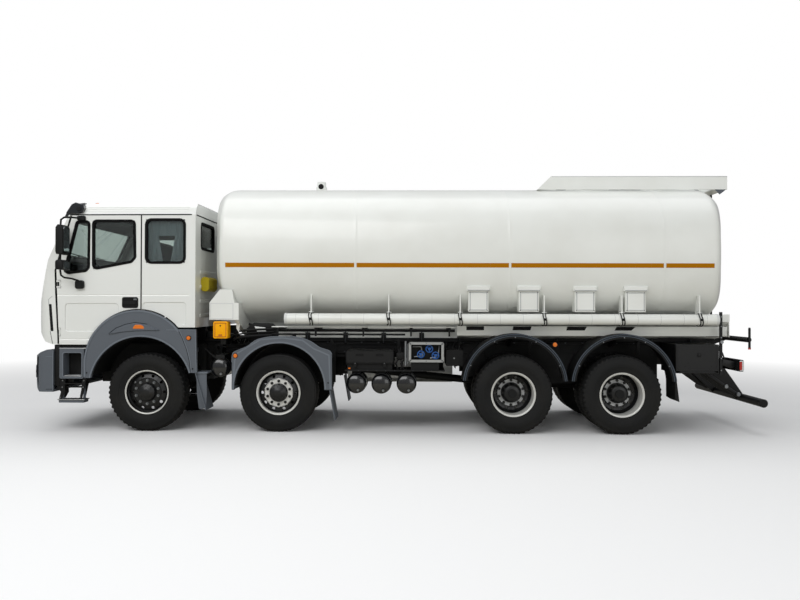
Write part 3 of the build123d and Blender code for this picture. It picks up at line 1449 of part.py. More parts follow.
rear_guard_shift = 20
rear_guard_z = 644
rear_guard_radius = 703
rear_guard_lip = 641
rear_guard_foot = 715
rear_guard_y = (800, 1240)
rear_guard_arm = [          # distance from the truck's middle, z of the arm from the rail to the guard's crown
    (rail_outer_y, 1120),
    (rail_outer_y, 1190),
    (800, 1335),
    (880, 1341),
    (880, 1310),
    (800, 1280),
]
rear_guard_arm_width = 50
with BuildPart() as mudguards_rear:
    for axle in (axle_3, axle_4):
        centre = (axle + rear_guard_shift, rear_guard_z)
        with BuildSketch(side(-rear_guard_y[0])):
            with Locations(centre):
                Circle(rear_guard_radius)
                Circle(rear_guard_radius - guard_skin, mode=Mode.SUBTRACT)
            with Locations((centre[0], 0)):
                Rectangle(3 * rear_guard_radius, 2 * rear_guard_foot, mode=Mode.SUBTRACT)
        extrude(amount=rear_guard_y[1] - rear_guard_y[0])
        with BuildSketch(side(-rear_guard_y[1] + 12)):
            with Locations(centre):
                Circle(rear_guard_radius)
                Circle(rear_guard_lip, mode=Mode.SUBTRACT)
            with Locations((centre[0], 0)):
                Rectangle(3 * rear_guard_radius, 2 * rear_guard_foot, mode=Mode.SUBTRACT)
        extrude(amount=12)
        with BuildSketch(cross(centre[0] - rear_guard_arm_width / 2)):
            with BuildLine():
                Polyline(*[(-y, z) for y, z in rear_guard_arm], close=True)
            make_face()
        extrude(amount=rear_guard_arm_width)
    with BuildSketch(side(-flap_y[0])):
        with BuildLine():
            Polyline(*rear_flap, close=True)
        make_face()
    extrude(amount=flap_y[1] - flap_y[0])
    mirror(about=Plane.XZ)
mudguards_rear.part.label = "mudguards_rear"
export_step(mudguards_rear.part, "parts/mudguards_rear.step")

# ================================================================ boxes and tanks on the chassis
tray_x = (axle_2 + 902, axle_3 - 915)
tray_z = (826, 841)
tray_y = 1100
tray_post_places = (tray_x[0] + 58, tray_x[0] + 628, tray_x[1] - 280, tray_x[1] - 30)
battery_x = (tray_x[0] + 28, tray_x[0] + 643)
battery_z = (841, 1106)
battery_y = (500, 1100)
battery_lid_z = 925
battery_lid_lip = 20
valve_box_x = (tray_x[1] - 494, tray_x[1] - 12)
valve_box_z = (948, 1225)
valve_box_y = (780, 1100)
valve_box_wall = 28
valve_plate_x = (tray_x[1] - 460, tray_x[1] - 79)
valve_plate_z = (841, 948)
dark_box_x = (tray_x[1] + 19, tray_x[1] + 252)
dark_box_z = (894, 1112)
dark_box_y = (480, 1000)
with BuildPart() as side_boxes:
    with BuildSketch(side(-battery_y[0])):
        with Locations((sum(tray_x) / 2, sum(tray_z) / 2)):
            Rectangle(tray_x[1] - tray_x[0], tray_z[1] - tray_z[0])
    extrude(amount=tray_y - battery_y[0])
    for place in tray_post_places:
        with BuildSketch(side(-rail_outer_y)):
            with Locations((place, (tray_z[0] + 1090) / 2)):
                Rectangle(60, 1090 - tray_z[0])
        extrude(amount=battery_y[0] - rail_outer_y)
    with BuildSketch(side(-battery_y[0])):
        with Locations((sum(battery_x) / 2, (battery_z[0] + battery_lid_z) / 2)):
            Rectangle(battery_x[1] - battery_x[0], battery_lid_z - battery_z[0])
    extrude(amount=battery_y[1] - battery_y[0] - battery_lid_lip)
    with BuildSketch(side(-battery_y[0])):
        with Locations((sum(battery_x) / 2, (battery_lid_z + battery_z[1]) / 2)):
            RectangleRounded(battery_x[1] - battery_x[0] + 2 * battery_lid_lip, battery_z[1] - battery_lid_z, 30)
    extrude(amount=battery_y[1] - battery_y[0])
    with BuildSketch(side(-valve_box_y[0])):
        with Locations((sum(valve_box_x) / 2, sum(valve_box_z) / 2)):
            Rectangle(valve_box_x[1] - valve_box_x[0], valve_box_z[1] - valve_box_z[0])
    extrude(amount=valve_box_y[1] - valve_box_y[0])
    with BuildSketch(side(-valve_box_y[0] - valve_box_wall)):
        with Locations((sum(valve_box_x) / 2, sum(valve_box_z) / 2)):
            Rectangle(valve_box_x[1] - valve_box_x[0] - 2 * valve_box_wall,
                      valve_box_z[1] - valve_box_z[0] - 2 * valve_box_wall)
    extrude(amount=valve_box_y[1], mode=Mode.SUBTRACT)
    with BuildSketch(side(-valve_box_y[0])):
        with Locations((sum(valve_plate_x) / 2, sum(valve_plate_z) / 2)):
            Rectangle(valve_plate_x[1] - valve_plate_x[0], valve_plate_z[1] - valve_plate_z[0])
    extrude(amount=valve_box_y[1] - valve_box_y[0] - 20)
    with BuildSketch(side(-dark_box_y[0])):
        with Locations((sum(dark_box_x) / 2, sum(dark_box_z) / 2)):
            RectangleRounded(dark_box_x[1] - dark_box_x[0], dark_box_z[1] - dark_box_z[0], 15)
    extrude(amount=dark_box_y[1] - dark_box_y[0])
    with BuildSketch(side(-rail_outer_y)):
        with Locations((sum(dark_box_x) / 2, sum(dark_box_z) / 2)):
            Rectangle(80, 80)
    extrude(amount=dark_box_y[0] - rail_outer_y)
side_boxes.part.label = "side_boxes"
export_step(side_boxes.part, "parts/side_boxes.step")

air_tank_y = (500, 1095)
air_tanks_left = [          # x, z, radius
    (tray_x[0] + 148, 651, 125),
    (tray_x[0] + 491, 648, 125),
    (tray_x[0] + 837, 650, 125),
]
# the pair behind the first wheels fills the room between the first flap and the second guard
air_tank_room = (front_flaps[0][2][0], axle_2 + guard_2_outline[0][0] - 49)
air_tank_front_gap = 29
air_tank_front_radius = (air_tank_room[1] - air_tank_room[0]) / 2 - air_tank_front_gap
air_tank_front = (sum(air_tank_room) / 2, 867, air_tank_front_radius)
air_tank_front_y = (560, 1150)
air_strap = 10
air_strap_width = 40
air_saddle_width = 90
air_saddle_height = 25
with BuildPart() as air_tanks:
    for x, z, radius in air_tanks_left:
        with BuildSketch(side(-air_tank_y[0])):
            with Locations((x, z)):
                Circle(radius)
        extrude(amount=air_tank_y[1] - air_tank_y[0])
        for strap_y in (air_tank_y[0] + 120, air_tank_y[1] - 160):
            with BuildSketch(side(-strap_y)):
                with Locations((x, z)):
                    Circle(radius + air_strap)
                with Locations((x, (z + tray_z[0]) / 2)):
                    Rectangle(radius, tray_z[0] - z)
            extrude(amount=air_strap_width)
with BuildPart() as front_air_tank:
    x, z, radius = air_tank_front
    with BuildSketch(side(-air_tank_front_y[0])):
        with Locations((x, z)):
            Circle(radius)
    extrude(amount=air_tank_front_y[1] - air_tank_front_y[0])
    for strap_y in (air_tank_front_y[0] + 100, air_tank_front_y[1] - 140):
        with BuildSketch(side(-strap_y)):
            with Locations((x, z)):
                Circle(radius + air_strap)
            with Locations((x, z + radius)):
                Rectangle(air_saddle_width, 2 * air_saddle_height)
        extrude(amount=air_strap_width)
    with BuildSketch(side(-rail_outer_y)):
        with Locations((x, z + radius + air_saddle_height)):
            Rectangle(radius, 2 * air_saddle_height + air_strap)
    extrude(amount=air_tank_front_y[1] - rail_outer_y - 60)
    mirror(about=Plane.XZ)
with BuildPart() as all_air_tanks:
    add(air_tanks.part)
    add(front_air_tank.part)
all_air_tanks.part.label = "air_tanks"
export_step(all_air_tanks.part, "parts/air_tanks.step")

chock_box_x = (saddle_front + 56, saddle_front + 245)
chock_box_z = (1272, 1495)
chock_box_y = (1040, 1200)
with BuildPart() as chock_boxes:
    with BuildSketch(side(-chock_box_y[0])):
        with Locations((sum(chock_box_x) / 2, sum(chock_box_z) / 2)):
            RectangleRounded(chock_box_x[1] - chock_box_x[0], chock_box_z[1] - chock_box_z[0], 15)
    extrude(amount=chock_box_y[1] - chock_box_y[0])
    with BuildSketch(side(-rail_outer_y)):
        with BuildLine():
            Polyline((chock_box_x[0] + 70, rail_top - 80), (chock_box_x[1] - 70, rail_top - 80),
                     (chock_box_x[1] - 70, chock_box_z[0] + 40), (chock_box_x[0] + 70, chock_box_z[0] + 40),
                     close=True)
        make_face()
    extrude(amount=chock_box_y[0] - rail_outer_y)
    mirror(about=Plane.XZ)
chock_boxes.part.label = "chock_boxes"
export_step(chock_boxes.part, "parts/chock_boxes.step")

fuel_tank_x = (axle_2 + 800, axle_3 - 735)
fuel_tank_z = (520, 1120)
fuel_tank_y = (500, 1150)
fuel_tank_corner = 90
fuel_strap_places = (fuel_tank_x[0] + 300, fuel_tank_x[1] - 300)
fuel_cap_radius = 55
with BuildPart() as fuel_tank:
    with BuildSketch(cross(fuel_tank_x[0])):
        with Locations((sum(fuel_tank_y) / 2, sum(fuel_tank_z) / 2)):
            RectangleRounded(fuel_tank_y[1] - fuel_tank_y[0], fuel_tank_z[1] - fuel_tank_z[0], fuel_tank_corner)
    extrude(amount=fuel_tank_x[1] - fuel_tank_x[0])
    for place in fuel_strap_places:
        with BuildSketch(side(fuel_tank_y[0])):
            with Locations((place, (fuel_tank_z[0] + rail_top) / 2 + 30)):
                Rectangle(90, rail_top - fuel_tank_z[0] - 90)
        extrude(amount=fuel_tank_y[0] - rail_outer_y)
    with BuildSketch(level(fuel_tank_z[1])):
        with Locations((fuel_tank_x[0] + 220, fuel_tank_y[1] - 160)):
            Circle(fuel_cap_radius)
    extrude(amount=45)
fuel_tank.part.label = "fuel_tank"
export_step(fuel_tank.part, "parts/fuel_tank.step")

# ================================================================ toolboxes with doors hinged along the bottom
toolbox_x = (axle_4 + 741, axle_4 + 1324)
toolbox_z = (816, 1205)
toolbox_y = (500, 1100)
toolbox_wall = 8
toolbox_door_gap = 7
toolbox_door_thickness = 12
toolbox_barrel = 12
toolbox_pin = 6
toolbox_hinge_y = toolbox_y[1] + toolbox_door_gap + toolbox_door_thickness
toolbox_hinge_z = toolbox_z[0] + 12
toolbox_ear = 14
toolbox_ear_inset = 60
with BuildPart() as toolboxes:
    with BuildSketch(side(-toolbox_y[0])):
        with Locations((sum(toolbox_x) / 2, sum(toolbox_z) / 2)):
            Rectangle(toolbox_x[1] - toolbox_x[0], toolbox_z[1] - toolbox_z[0])
    extrude(amount=toolbox_y[1] - toolbox_y[0])
    with BuildSketch(side(-toolbox_y[0] - toolbox_wall)):
        with Locations((sum(toolbox_x) / 2, sum(toolbox_z) / 2)):
            Rectangle(toolbox_x[1] - toolbox_x[0] - 2 * toolbox_wall, toolbox_z[1] - toolbox_z[0] - 2 * toolbox_wall)
    extrude(amount=toolbox_y[1], mode=Mode.SUBTRACT)
    for place in (toolbox_x[0] + 100, toolbox_x[1] - 100):
        with BuildSketch(side(-rail_outer_y)):
            with Locations((place, sum(toolbox_z) / 2 + 90)):
                Rectangle(60, 180)
        extrude(amount=toolbox_y[0] - rail_outer_y)
    for place in (toolbox_x[0] + toolbox_ear_inset - toolbox_ear, toolbox_x[1] - toolbox_ear_inset):
        with BuildSketch(cross(place)):
            with Locations((-(toolbox_y[1] + toolbox_hinge_y) / 2, toolbox_hinge_z)):
                Rectangle(toolbox_hinge_y - toolbox_y[1], 2 * toolbox_barrel)
            with Locations((-toolbox_hinge_y, toolbox_hinge_z)):
                Circle(toolbox_barrel)
        extrude(amount=toolbox_ear)
    with BuildSketch(cross(toolbox_x[0] + toolbox_ear_inset - toolbox_ear)):
        with Locations((-toolbox_hinge_y, toolbox_hinge_z)):
            Circle(toolbox_pin)
    extrude(amount=toolbox_x[1] - toolbox_x[0] - 2 * toolbox_ear_inset + 2 * toolbox_ear)
    mirror(about=Plane.XZ)
toolboxes.part.label = "toolboxes"
export_step(toolboxes.part, "parts/toolboxes.step")

for side_name, sign in (("left", -1), ("right", 1)):
    with BuildPart() as toolbox_door:
        hinge_y = sign * toolbox_hinge_y
        plate_y = sign * (toolbox_hinge_y - toolbox_door_thickness / 2)
        with BuildSketch(cross(toolbox_x[0] + 6)):
            with Locations((plate_y, (toolbox_hinge_z + 20 + toolbox_z[1] - 5) / 2)):
                Rectangle(toolbox_door_thickness, toolbox_z[1] - 5 - toolbox_hinge_z - 20)
        extrude(amount=toolbox_x[1] - toolbox_x[0] - 12)
        with BuildSketch(cross(toolbox_x[0] + toolbox_ear_inset + 3)):
            with Locations((plate_y, toolbox_hinge_z + 15)):
                Rectangle(toolbox_door_thickness, 30)
            with Locations((hinge_y, toolbox_hinge_z)):
                Circle(toolbox_barrel)
                Circle(toolbox_pin + running_gap, mode=Mode.SUBTRACT)
        extrude(amount=toolbox_x[1] - toolbox_x[0] - 2 * toolbox_ear_inset - 6)
        with BuildSketch(cross(toolbox_x[0] + toolbox_ear_inset)):
            with Locations((hinge_y, toolbox_hinge_z)):
                Circle(toolbox_pin + running_gap)
        extrude(amount=toolbox_x[1] - toolbox_x[0] - 2 * toolbox_ear_inset, mode=Mode.SUBTRACT)
    toolbox_door.part.label = f"toolbox_door_{side_name}"
    export_step(toolbox_door.part, f"parts/toolbox_door_{side_name}.step")

# ================================================================ rear end: underrun guard, beam, posts, ladder
underrun_radius = 55
underrun_x = axle_4 + rear_overhang - underrun_radius
underrun_z = 425
underrun_half_width = 1175
underrun_arm = [            # x, z of the arm from the rail down to the tube
    (rail_rear - 310, 1080),
    (rail_rear - 10, 1080),
    (rail_rear + 50, 960),
    (underrun_x + 25, underrun_z + 55),
    (underrun_x, underrun_z - 25),
    (underrun_x - 60, underrun_z - 25),
    (rail_rear - 310, 980),
]
underrun_arm_thickness = 25
rear_beam = (rail_rear + 150, 1275, 35, 1250)       # x, z, radius, half width
rear_beam_arm = [(rail_rear - 150, 1130), (rail_rear - 150, 1200), (rail_rear + 110, 1290), (rail_rear + 150, 1240)]
beam_post = (1169, 1427, 16)            # low end, high end, radius
lamp_bar = (rail_rear + 25, rail_rear + 55, 900, 960)       # x from, x to, z from, z to
rear_post_x = (toolbox_x[1] + 9, toolbox_x[1] + 42)
rear_post_z = (796, 1644)
ladder_y = (50, 450)
ladder_x = rail_rear + 135
ladder_top = tank_top - 45
ladder_tube = 16
ladder_rung = 11
ladder_pitch = 280
ladder_stay_z = (1900, 3000)
with BuildPart() as rear_guard:
    # arms down to the underrun tube and back to the rear beam
    for place in (rail_outer_y + underrun_arm_thickness, -rail_outer_y):
        with BuildSketch(side(place)):
            with BuildLine():
                Polyline(*underrun_arm, close=True)
            make_face()
            with BuildLine():
                Polyline(*rear_beam_arm, close=True)
            make_face()
        extrude(amount=underrun_arm_thickness)
    with BuildSketch(side(underrun_half_width)):
        with Locations((underrun_x, underrun_z)):
            Circle(underrun_radius + seat_gap)
        with Locations((rear_beam[0], rear_beam[1])):
            Circle(rear_beam[2] + seat_gap)
    extrude(amount=2 * underrun_half_width, mode=Mode.SUBTRACT)
    with BuildSketch(side(underrun_half_width)):
        with Locations((underrun_x, underrun_z)):
            Circle(underrun_radius)
    extrude(amount=2 * underrun_half_width)
    beam_end = rear_beam[3] - 2 * beam_post[2] - seat_gap
    with BuildSketch(side(beam_end)):
        with Locations((rear_beam[0], rear_beam[1])):
            Circle(rear_beam[2])
    extrude(amount=2 * beam_end)
    for place in (-1, 1):
        with BuildSketch(level(beam_post[0])):
            with Locations((rear_beam[0], place * (rear_beam[3] - beam_post[2]))):
                Circle(beam_post[2])
        extrude(amount=beam_post[1] - beam_post[0])
        lamp_bar_start = rail_outer_y + underrun_arm_thickness + seat_gap
        with BuildSketch(cross(lamp_bar[0])):
            with Locations((place * (lamp_bar_start + tail_lamp_y[0] - seat_gap) / 2, (lamp_bar[2] + lamp_bar[3]) / 2)):
                Rectangle(tail_lamp_y[0] - seat_gap - lamp_bar_start, lamp_bar[3] - lamp_bar[2])
        extrude(amount=lamp_bar[1] - lamp_bar[0])
        with BuildSketch(side(place * toolbox_y[1] + 16)):
            with Locations((sum(rear_post_x) / 2, sum(rear_post_z) / 2)):
                Rectangle(rear_post_x[1] - rear_post_x[0], rear_post_z[1] - rear_post_z[0])
            with Locations(((toolbox_x[1] + rear_post_x[0]) / 2, 1150)):
                Rectangle(rear_post_x[0] - toolbox_x[1] + 2, 60)
        extrude(amount=32)
    # ladder: two rails standing on the rear beam, rungs between them, stays to the tank's head
    for place in ladder_y:
        with BuildSketch(level(rear_beam[1] + rear_beam[2] + seat_gap)):
            with Locations((ladder_x, place)):
                Circle(ladder_tube)
        extrude(amount=ladder_top - rear_beam[1] - rear_beam[2])
        for stay_z in ladder_stay_z:
            with BuildSketch(cross(tank_rear + 60)):
                with Locations((place, stay_z)):
                    Circle(ladder_tube - 2)
            extrude(amount=ladder_x - ladder_tube - seat_gap - tank_rear - 60)
    rung_count = int((ladder_top - rear_beam[1]) / ladder_pitch)
    rung_half = (ladder_y[1] - ladder_y[0]) / 2 - ladder_tube - seat_gap
    for rung in range(rung_count):
        with BuildSketch(side(sum(ladder_y) / 2 + rung_half)):
            with Locations((ladder_x, rear_beam[1] + 200 + rung * ladder_pitch)):
                Circle(ladder_rung)
        extrude(amount=2 * rung_half)
    add(tank_shell.part, mode=Mode.SUBTRACT)
    add(toolboxes.part, mode=Mode.SUBTRACT)
rear_guard.part.label = "rear_guard"
export_step(rear_guard.part, "parts/rear_guard.step")
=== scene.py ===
"""Tanker truck: its looks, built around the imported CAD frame.  Metres, +Z up, the truck faces -X."""
import json
import math

import bmesh
import bpy
from mathutils import Matrix, Vector


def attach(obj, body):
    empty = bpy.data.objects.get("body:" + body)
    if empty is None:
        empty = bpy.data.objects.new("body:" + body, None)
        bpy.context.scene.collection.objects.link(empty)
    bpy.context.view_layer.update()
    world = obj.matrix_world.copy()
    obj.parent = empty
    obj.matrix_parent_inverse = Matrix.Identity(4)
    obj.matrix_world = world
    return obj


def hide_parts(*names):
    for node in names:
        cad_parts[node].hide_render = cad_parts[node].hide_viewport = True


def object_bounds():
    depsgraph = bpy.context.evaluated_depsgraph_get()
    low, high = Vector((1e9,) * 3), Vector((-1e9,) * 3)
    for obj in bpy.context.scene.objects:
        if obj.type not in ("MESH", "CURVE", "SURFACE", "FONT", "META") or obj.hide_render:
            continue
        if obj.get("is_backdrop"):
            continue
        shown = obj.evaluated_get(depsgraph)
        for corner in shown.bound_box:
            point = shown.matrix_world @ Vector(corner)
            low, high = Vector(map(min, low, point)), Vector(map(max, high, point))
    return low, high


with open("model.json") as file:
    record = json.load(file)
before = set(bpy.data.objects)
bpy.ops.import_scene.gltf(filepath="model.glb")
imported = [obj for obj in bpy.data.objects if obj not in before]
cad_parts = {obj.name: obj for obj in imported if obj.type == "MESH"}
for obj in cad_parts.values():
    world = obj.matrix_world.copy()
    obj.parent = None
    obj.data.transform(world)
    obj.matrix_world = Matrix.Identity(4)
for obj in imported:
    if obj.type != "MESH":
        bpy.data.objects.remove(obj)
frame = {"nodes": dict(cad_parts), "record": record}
low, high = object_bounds()
nodes = frame["nodes"]

AXLE_1 = -3.4175            # row X of the first axle; lengths along the truck are given from it
AXLES = (0.0, 1.8, 4.975, 6.425)
WHEEL_Z = 0.53
SINGLE_Y = 1.02             # centre plane of a front wheel
TWIN_Y = (0.75, 1.09)       # centre planes of a rear pair
CAB_BACK = 0.681
BUMPER_FACE = -1.53
GUARD_1, GUARD_1_R = (-0.05, 0.60), 0.69
GUARD_2, GUARD_2_R = (1.83, 0.60), 0.61
REAR_GUARDS = ((4.995, 0.644), (6.445, 0.644))
OUTRIGGERS = (4.507, 5.184, 5.935, 6.608)
FRAME_WEB = 0.43            # outer face of the rails
SUBFRAME_CLIPS = (1.55, 2.10, 2.65, 3.20, 3.75, 4.30, 5.70, 7.05, 7.60)
SIDES = (("left", -1), ("right", 1))


def X(x):
    """The scene's place along the truck, for one given from the first axle."""
    return AXLE_1 + x


# ---------------------------------------------------------------- finishes
def colour(text):
    """sRGB hex to linear RGBA."""
    out = []
    for i in (0, 2, 4):
        c = int(text[i:i + 2], 16) / 255
        out.append(c / 12.92 if c <= 0.04045 else ((c + 0.055) / 1.055) ** 2.4)
    return (*out, 1.0)


def add_node(tree, kind, **values):
    """A new node with its properties and input values set; links are given as sockets."""
    node = tree.nodes.new(kind)
    for name, value in values.items():
        if name.startswith("_") and not name[1:].isdigit():
            setattr(node, name[1:], value)
            continue
        socket = node.inputs[int(name[1:])] if name[1:].isdigit() else node.inputs[name]
        if isinstance(value, bpy.types.NodeSocket):
            tree.links.new(value, socket)
        else:
            socket.default_value = value
    return node


FINISH = {}
MM_PER_M = 1000
GRAIN_DEPTH = 0.002         # deeper than a real mould's grain, so that it shows at all
MOULD_GRAIN_MM = 5 / 3      # a real one is about 0.3 mm and too fine to show, so it is drawn coarser
TREAD_GRAIN_MM = 10 / 3     # a real tyre's crumb is under 0.5 mm and too fine to show, so it is drawn coarser


def finish(name, base, roughness=0.5, metallic=0.0, coat=0.0, specular=0.5, transmission=0.0,
           grain=0.0, grain_mm=5.0, dirt=None, dirt_mm=500.0, dirt_amount=0.0):
    """A surface, kept in FINISH.  Grain is a fine bump and dirt a second colour in patches, sized in mm."""
    mat = FINISH[name] = bpy.data.materials.new(name)
    mat.use_nodes = True
    tree = mat.node_tree
    shader = tree.nodes["Principled BSDF"]
    for label, value in (("Base Color", colour(base)), ("Roughness", roughness), ("Metallic", metallic),
                         ("Coat Weight", coat), ("Specular IOR Level", specular),
                         ("Transmission Weight", transmission)):
        shader.inputs[label].default_value = value
    if grain or dirt:
        where = add_node(tree, "ShaderNodeTexCoord")
    if dirt:
        patches = add_node(tree, "ShaderNodeTexNoise", Vector=where.outputs["Object"],
                           Scale=MM_PER_M / dirt_mm, Detail=6.0)
        share = add_node(tree, "ShaderNodeMapRange", Value=patches.outputs["Fac"],
                         **{"From Min": 0.4, "From Max": 0.8, "To Max": dirt_amount})
        mixed = add_node(tree, "ShaderNodeMix", _data_type="RGBA", Factor=share.outputs["Result"],
                         _6=colour(base), _7=colour(dirt))
        tree.links.new(mixed.outputs[2], shader.inputs["Base Color"])
    if grain:
        fine = add_node(tree, "ShaderNodeTexNoise", Vector=where.outputs["Object"], Scale=MM_PER_M / grain_mm,
                        Detail=3.0)
        bump = add_node(tree, "ShaderNodeBump", Height=fine.outputs["Fac"], Strength=grain,
                        Distance=GRAIN_DEPTH)
        tree.links.new(bump.outputs["Normal"], shader.inputs["Normal"])
    return mat


# Two-pack enamel, sprayed on rolled sheet: a wide soft gloss, road film in patches over half a metre wide.
finish("tank_enamel", "EEF0EC", 0.34, coat=0.25, dirt="BDBBAF", dirt_mm=625, dirt_amount=0.18)
# Stoved enamel on pressed steel: smoother and glossier than the tank, so that edges catch a sharp light.
finish("cab_enamel", "EDEFEC", 0.25, coat=0.8)
# Primer and one thin coat on the folded aluminium coaming: flat and a little greyer than the tank.
finish("coaming_primer", "CDD0CE", 0.45)
# ABS, injection moulded and unpainted: an even half gloss without depth.
finish("white_abs", "DADCDB", 0.5)
# PP, that is polypropylene, dyed slate and moulded with a leather grain: dull, its highlights broken up.
finish("slate_pp", "5A6068", 0.62, grain=0.25, grain_mm=MOULD_GRAIN_MM)
# The same polypropylene drawn lighter as a painted highlight along rolled edges: a thin lighter line.
finish("slate_pp_painted_highlight", "6C737C", 0.5)
# Painted highlight on the spun polypropylene rim of the rear guards: blue-grey against the black arch.
finish("guard_rim_painted_highlight", "3C4652", 0.45)
# Black polypropylene, moulded with the same grain: swallows light, with barely a sheen.
finish("black_pp", "0A0B0C", 0.6, specular=0.3, grain=0.2, grain_mm=MOULD_GRAIN_MM)
# PE, that is polyethylene, rotation moulded: waxy full yellow with little reflection; a darker copy is
# painted shade in its hollows.
finish("yellow_pe", "FFB200", 0.6, specular=0.2)
finish("yellow_pe_painted_shade", "C67410", 0.55)
# Polyethylene of the reservoir, yellowed to olive by the fluid behind it.
finish("olive_pe", "B4A010", 0.5, specular=0.3)
# Gloss enamel sprayed on the drawn steel drums: black with clear reflections.
finish("air_tank_enamel", "08090B", 0.25, coat=0.8)
# Chassis enamel, sprayed on rolled rails: black, half matt.
finish("chassis_enamel", "0B0C0E", 0.5, specular=0.35)
# Enamel on cast axles and shafts over a rough skin: black and flat.
finish("axle_enamel", "0A0B0C", 0.6, specular=0.3)
# Powder coat baked on folded steel boxes: black, even, a touch glossier than the frame.
finish("black_powder_coat", "0A0B0D", 0.45, specular=0.4)
# Heat-proof enamel on grey cast iron: dark grey and flat.
finish("cast_iron_enamel", "33373A", 0.6)
# Extruded EPDM rubber of the window and door seals: deep black, no sheen.
finish("epdm_rubber", "040405", 0.7, specular=0.15)
# Vulcanised tyre rubber: matt black with a fine crumb, dusted brown in patches a third of a metre wide.
finish("tyre_rubber", "101112", 0.68, specular=0.3, grain=0.25, grain_mm=TREAD_GRAIN_MM,
       dirt="35322C", dirt_mm=MM_PER_M / 3, dirt_amount=0.2)
# Painted shade in the seams between panels, under rims and in joints: a soft grey line.
finish("seam_painted_shade", "A9ACAE", 0.6)
# Clear lacquer over a forged aluminium disc: bright, with a soft metal glow.
finish("forged_wheel_lacquer", "E2E2DF", 0.38, metallic=0.3)
# Silver-white lacquer on the rolled steel rims: pale, half gloss, slightly metallic.
finish("pale_wheel_lacquer", "DADAD6", 0.4, metallic=0.3)
# Grey primer on the twin wheels' discs, deep in the rim, so its tone is light to stay visible in the shade.
finish("grey_wheel_primer", "D4D6D7", 0.5, metallic=0.1)
# Black enamel on hubs and discs: darker and smoother than the axle; on the pierced discs and the cones deep
# in the rims it is painted shade.
finish("black_wheel_enamel_and_shade", "0D0E0F", 0.38)
# Aluminium as rolled: a full metal with a broad soft highlight.
finish("mill_aluminium", "C2C4C5", 0.35, metallic=1.0)
# Zinc-plated steel of bolts, pipes and pivots: cooler and a little rougher than aluminium.
finish("zinc_plated_steel", "8C8F92", 0.4, metallic=1.0)
# Phosphated steel of the frame's bolts and the air tanks' bands: dark grey metal, mostly dull.
finish("phosphated_steel", "4B4E51", 0.45, metallic=0.8)
# Float glass tinted green and toughened: clear, flat and cool.
finish("tinted_safety_glass", "C6D0CC", 0.02, transmission=1.0)
# Acrylic sheet, smoked and thermoformed: nearly black, with long smooth highlights.
finish("smoked_acrylic", "15191D", 0.10, coat=0.5)
# Glass silvered on its back: a clean mirror.
finish("silvered_glass", "C9CFD2", 0.03, metallic=1.0)
# Moulded and flocked cab lining: dark grey and quite flat.
finish("grey_moulded_trim", "34383A", 0.8)
# Polyester curtain, woven: soft blue-grey.  Its weave is too fine to show, so only the folds are made.
finish("woven_curtain", "8C949C", 0.9)
# PC, that is polycarbonate, moulded as lenses with a polished face: small bright glints.
finish("amber_lens_pc", "E8781A", 0.35)
finish("red_lens_pc", "B3261E", 0.2, coat=0.5)
finish("clear_lens_pc", "D8DDDF", 0.08, coat=0.8)
# Vinyl film rolled on to the tank: ochre, flat, without the enamel's gloss.
finish("ochre_vinyl_film", "B07000", 0.7, specular=0.1)
# Brushed enamel on the valves' hand wheels and on the beam's end caps.
finish("blue_wheel_enamel", "2B5FA8", 0.4)
finish("red_marker_enamel", "B0332A", 0.45)
# Openings and joints too deep to be lit.
finish("shaded_gap", "050506", 0.9)

# which finish each material slot of the CAD record shows
CAD_FINISH = {
    "white_paint": "tank_enamel", "white_tube": "tank_enamel", "cab_white": "cab_enamel",
    "slate_plastic": "slate_pp", "dark_plastic": "black_pp", "frame_grey": "chassis_enamel",
    "axle_black": "axle_enamel", "engine_cast": "cast_iron_enamel", "lamp_lens": "red_lens_pc",
    "chock_yellow": "yellow_pe", "fuel_alloy": "mill_aluminium", "lid_alloy": "mill_aluminium",
    "box_black": "black_powder_coat", "cab_glass": "tinted_safety_glass", "visor_plastic": "smoked_acrylic",
    "olive_plastic": "olive_pe", "trim_grey": "grey_moulded_trim", "tyre_rubber": "tyre_rubber",
    "wheel_silver": "forged_wheel_lacquer", "wheel_black": "black_wheel_enamel_and_shade",
    "wheel_white": "pale_wheel_lacquer",
}
for part in frame["record"]["subparts"]:
    for place in nodes[part["node"]].material_slots:
        place.material = FINISH[CAD_FINISH[part["material_slot"]]]


# ---------------------------------------------------------------- building blocks
BEVEL_FROM = 0.6            # radians between two faces, from which their edge is rounded


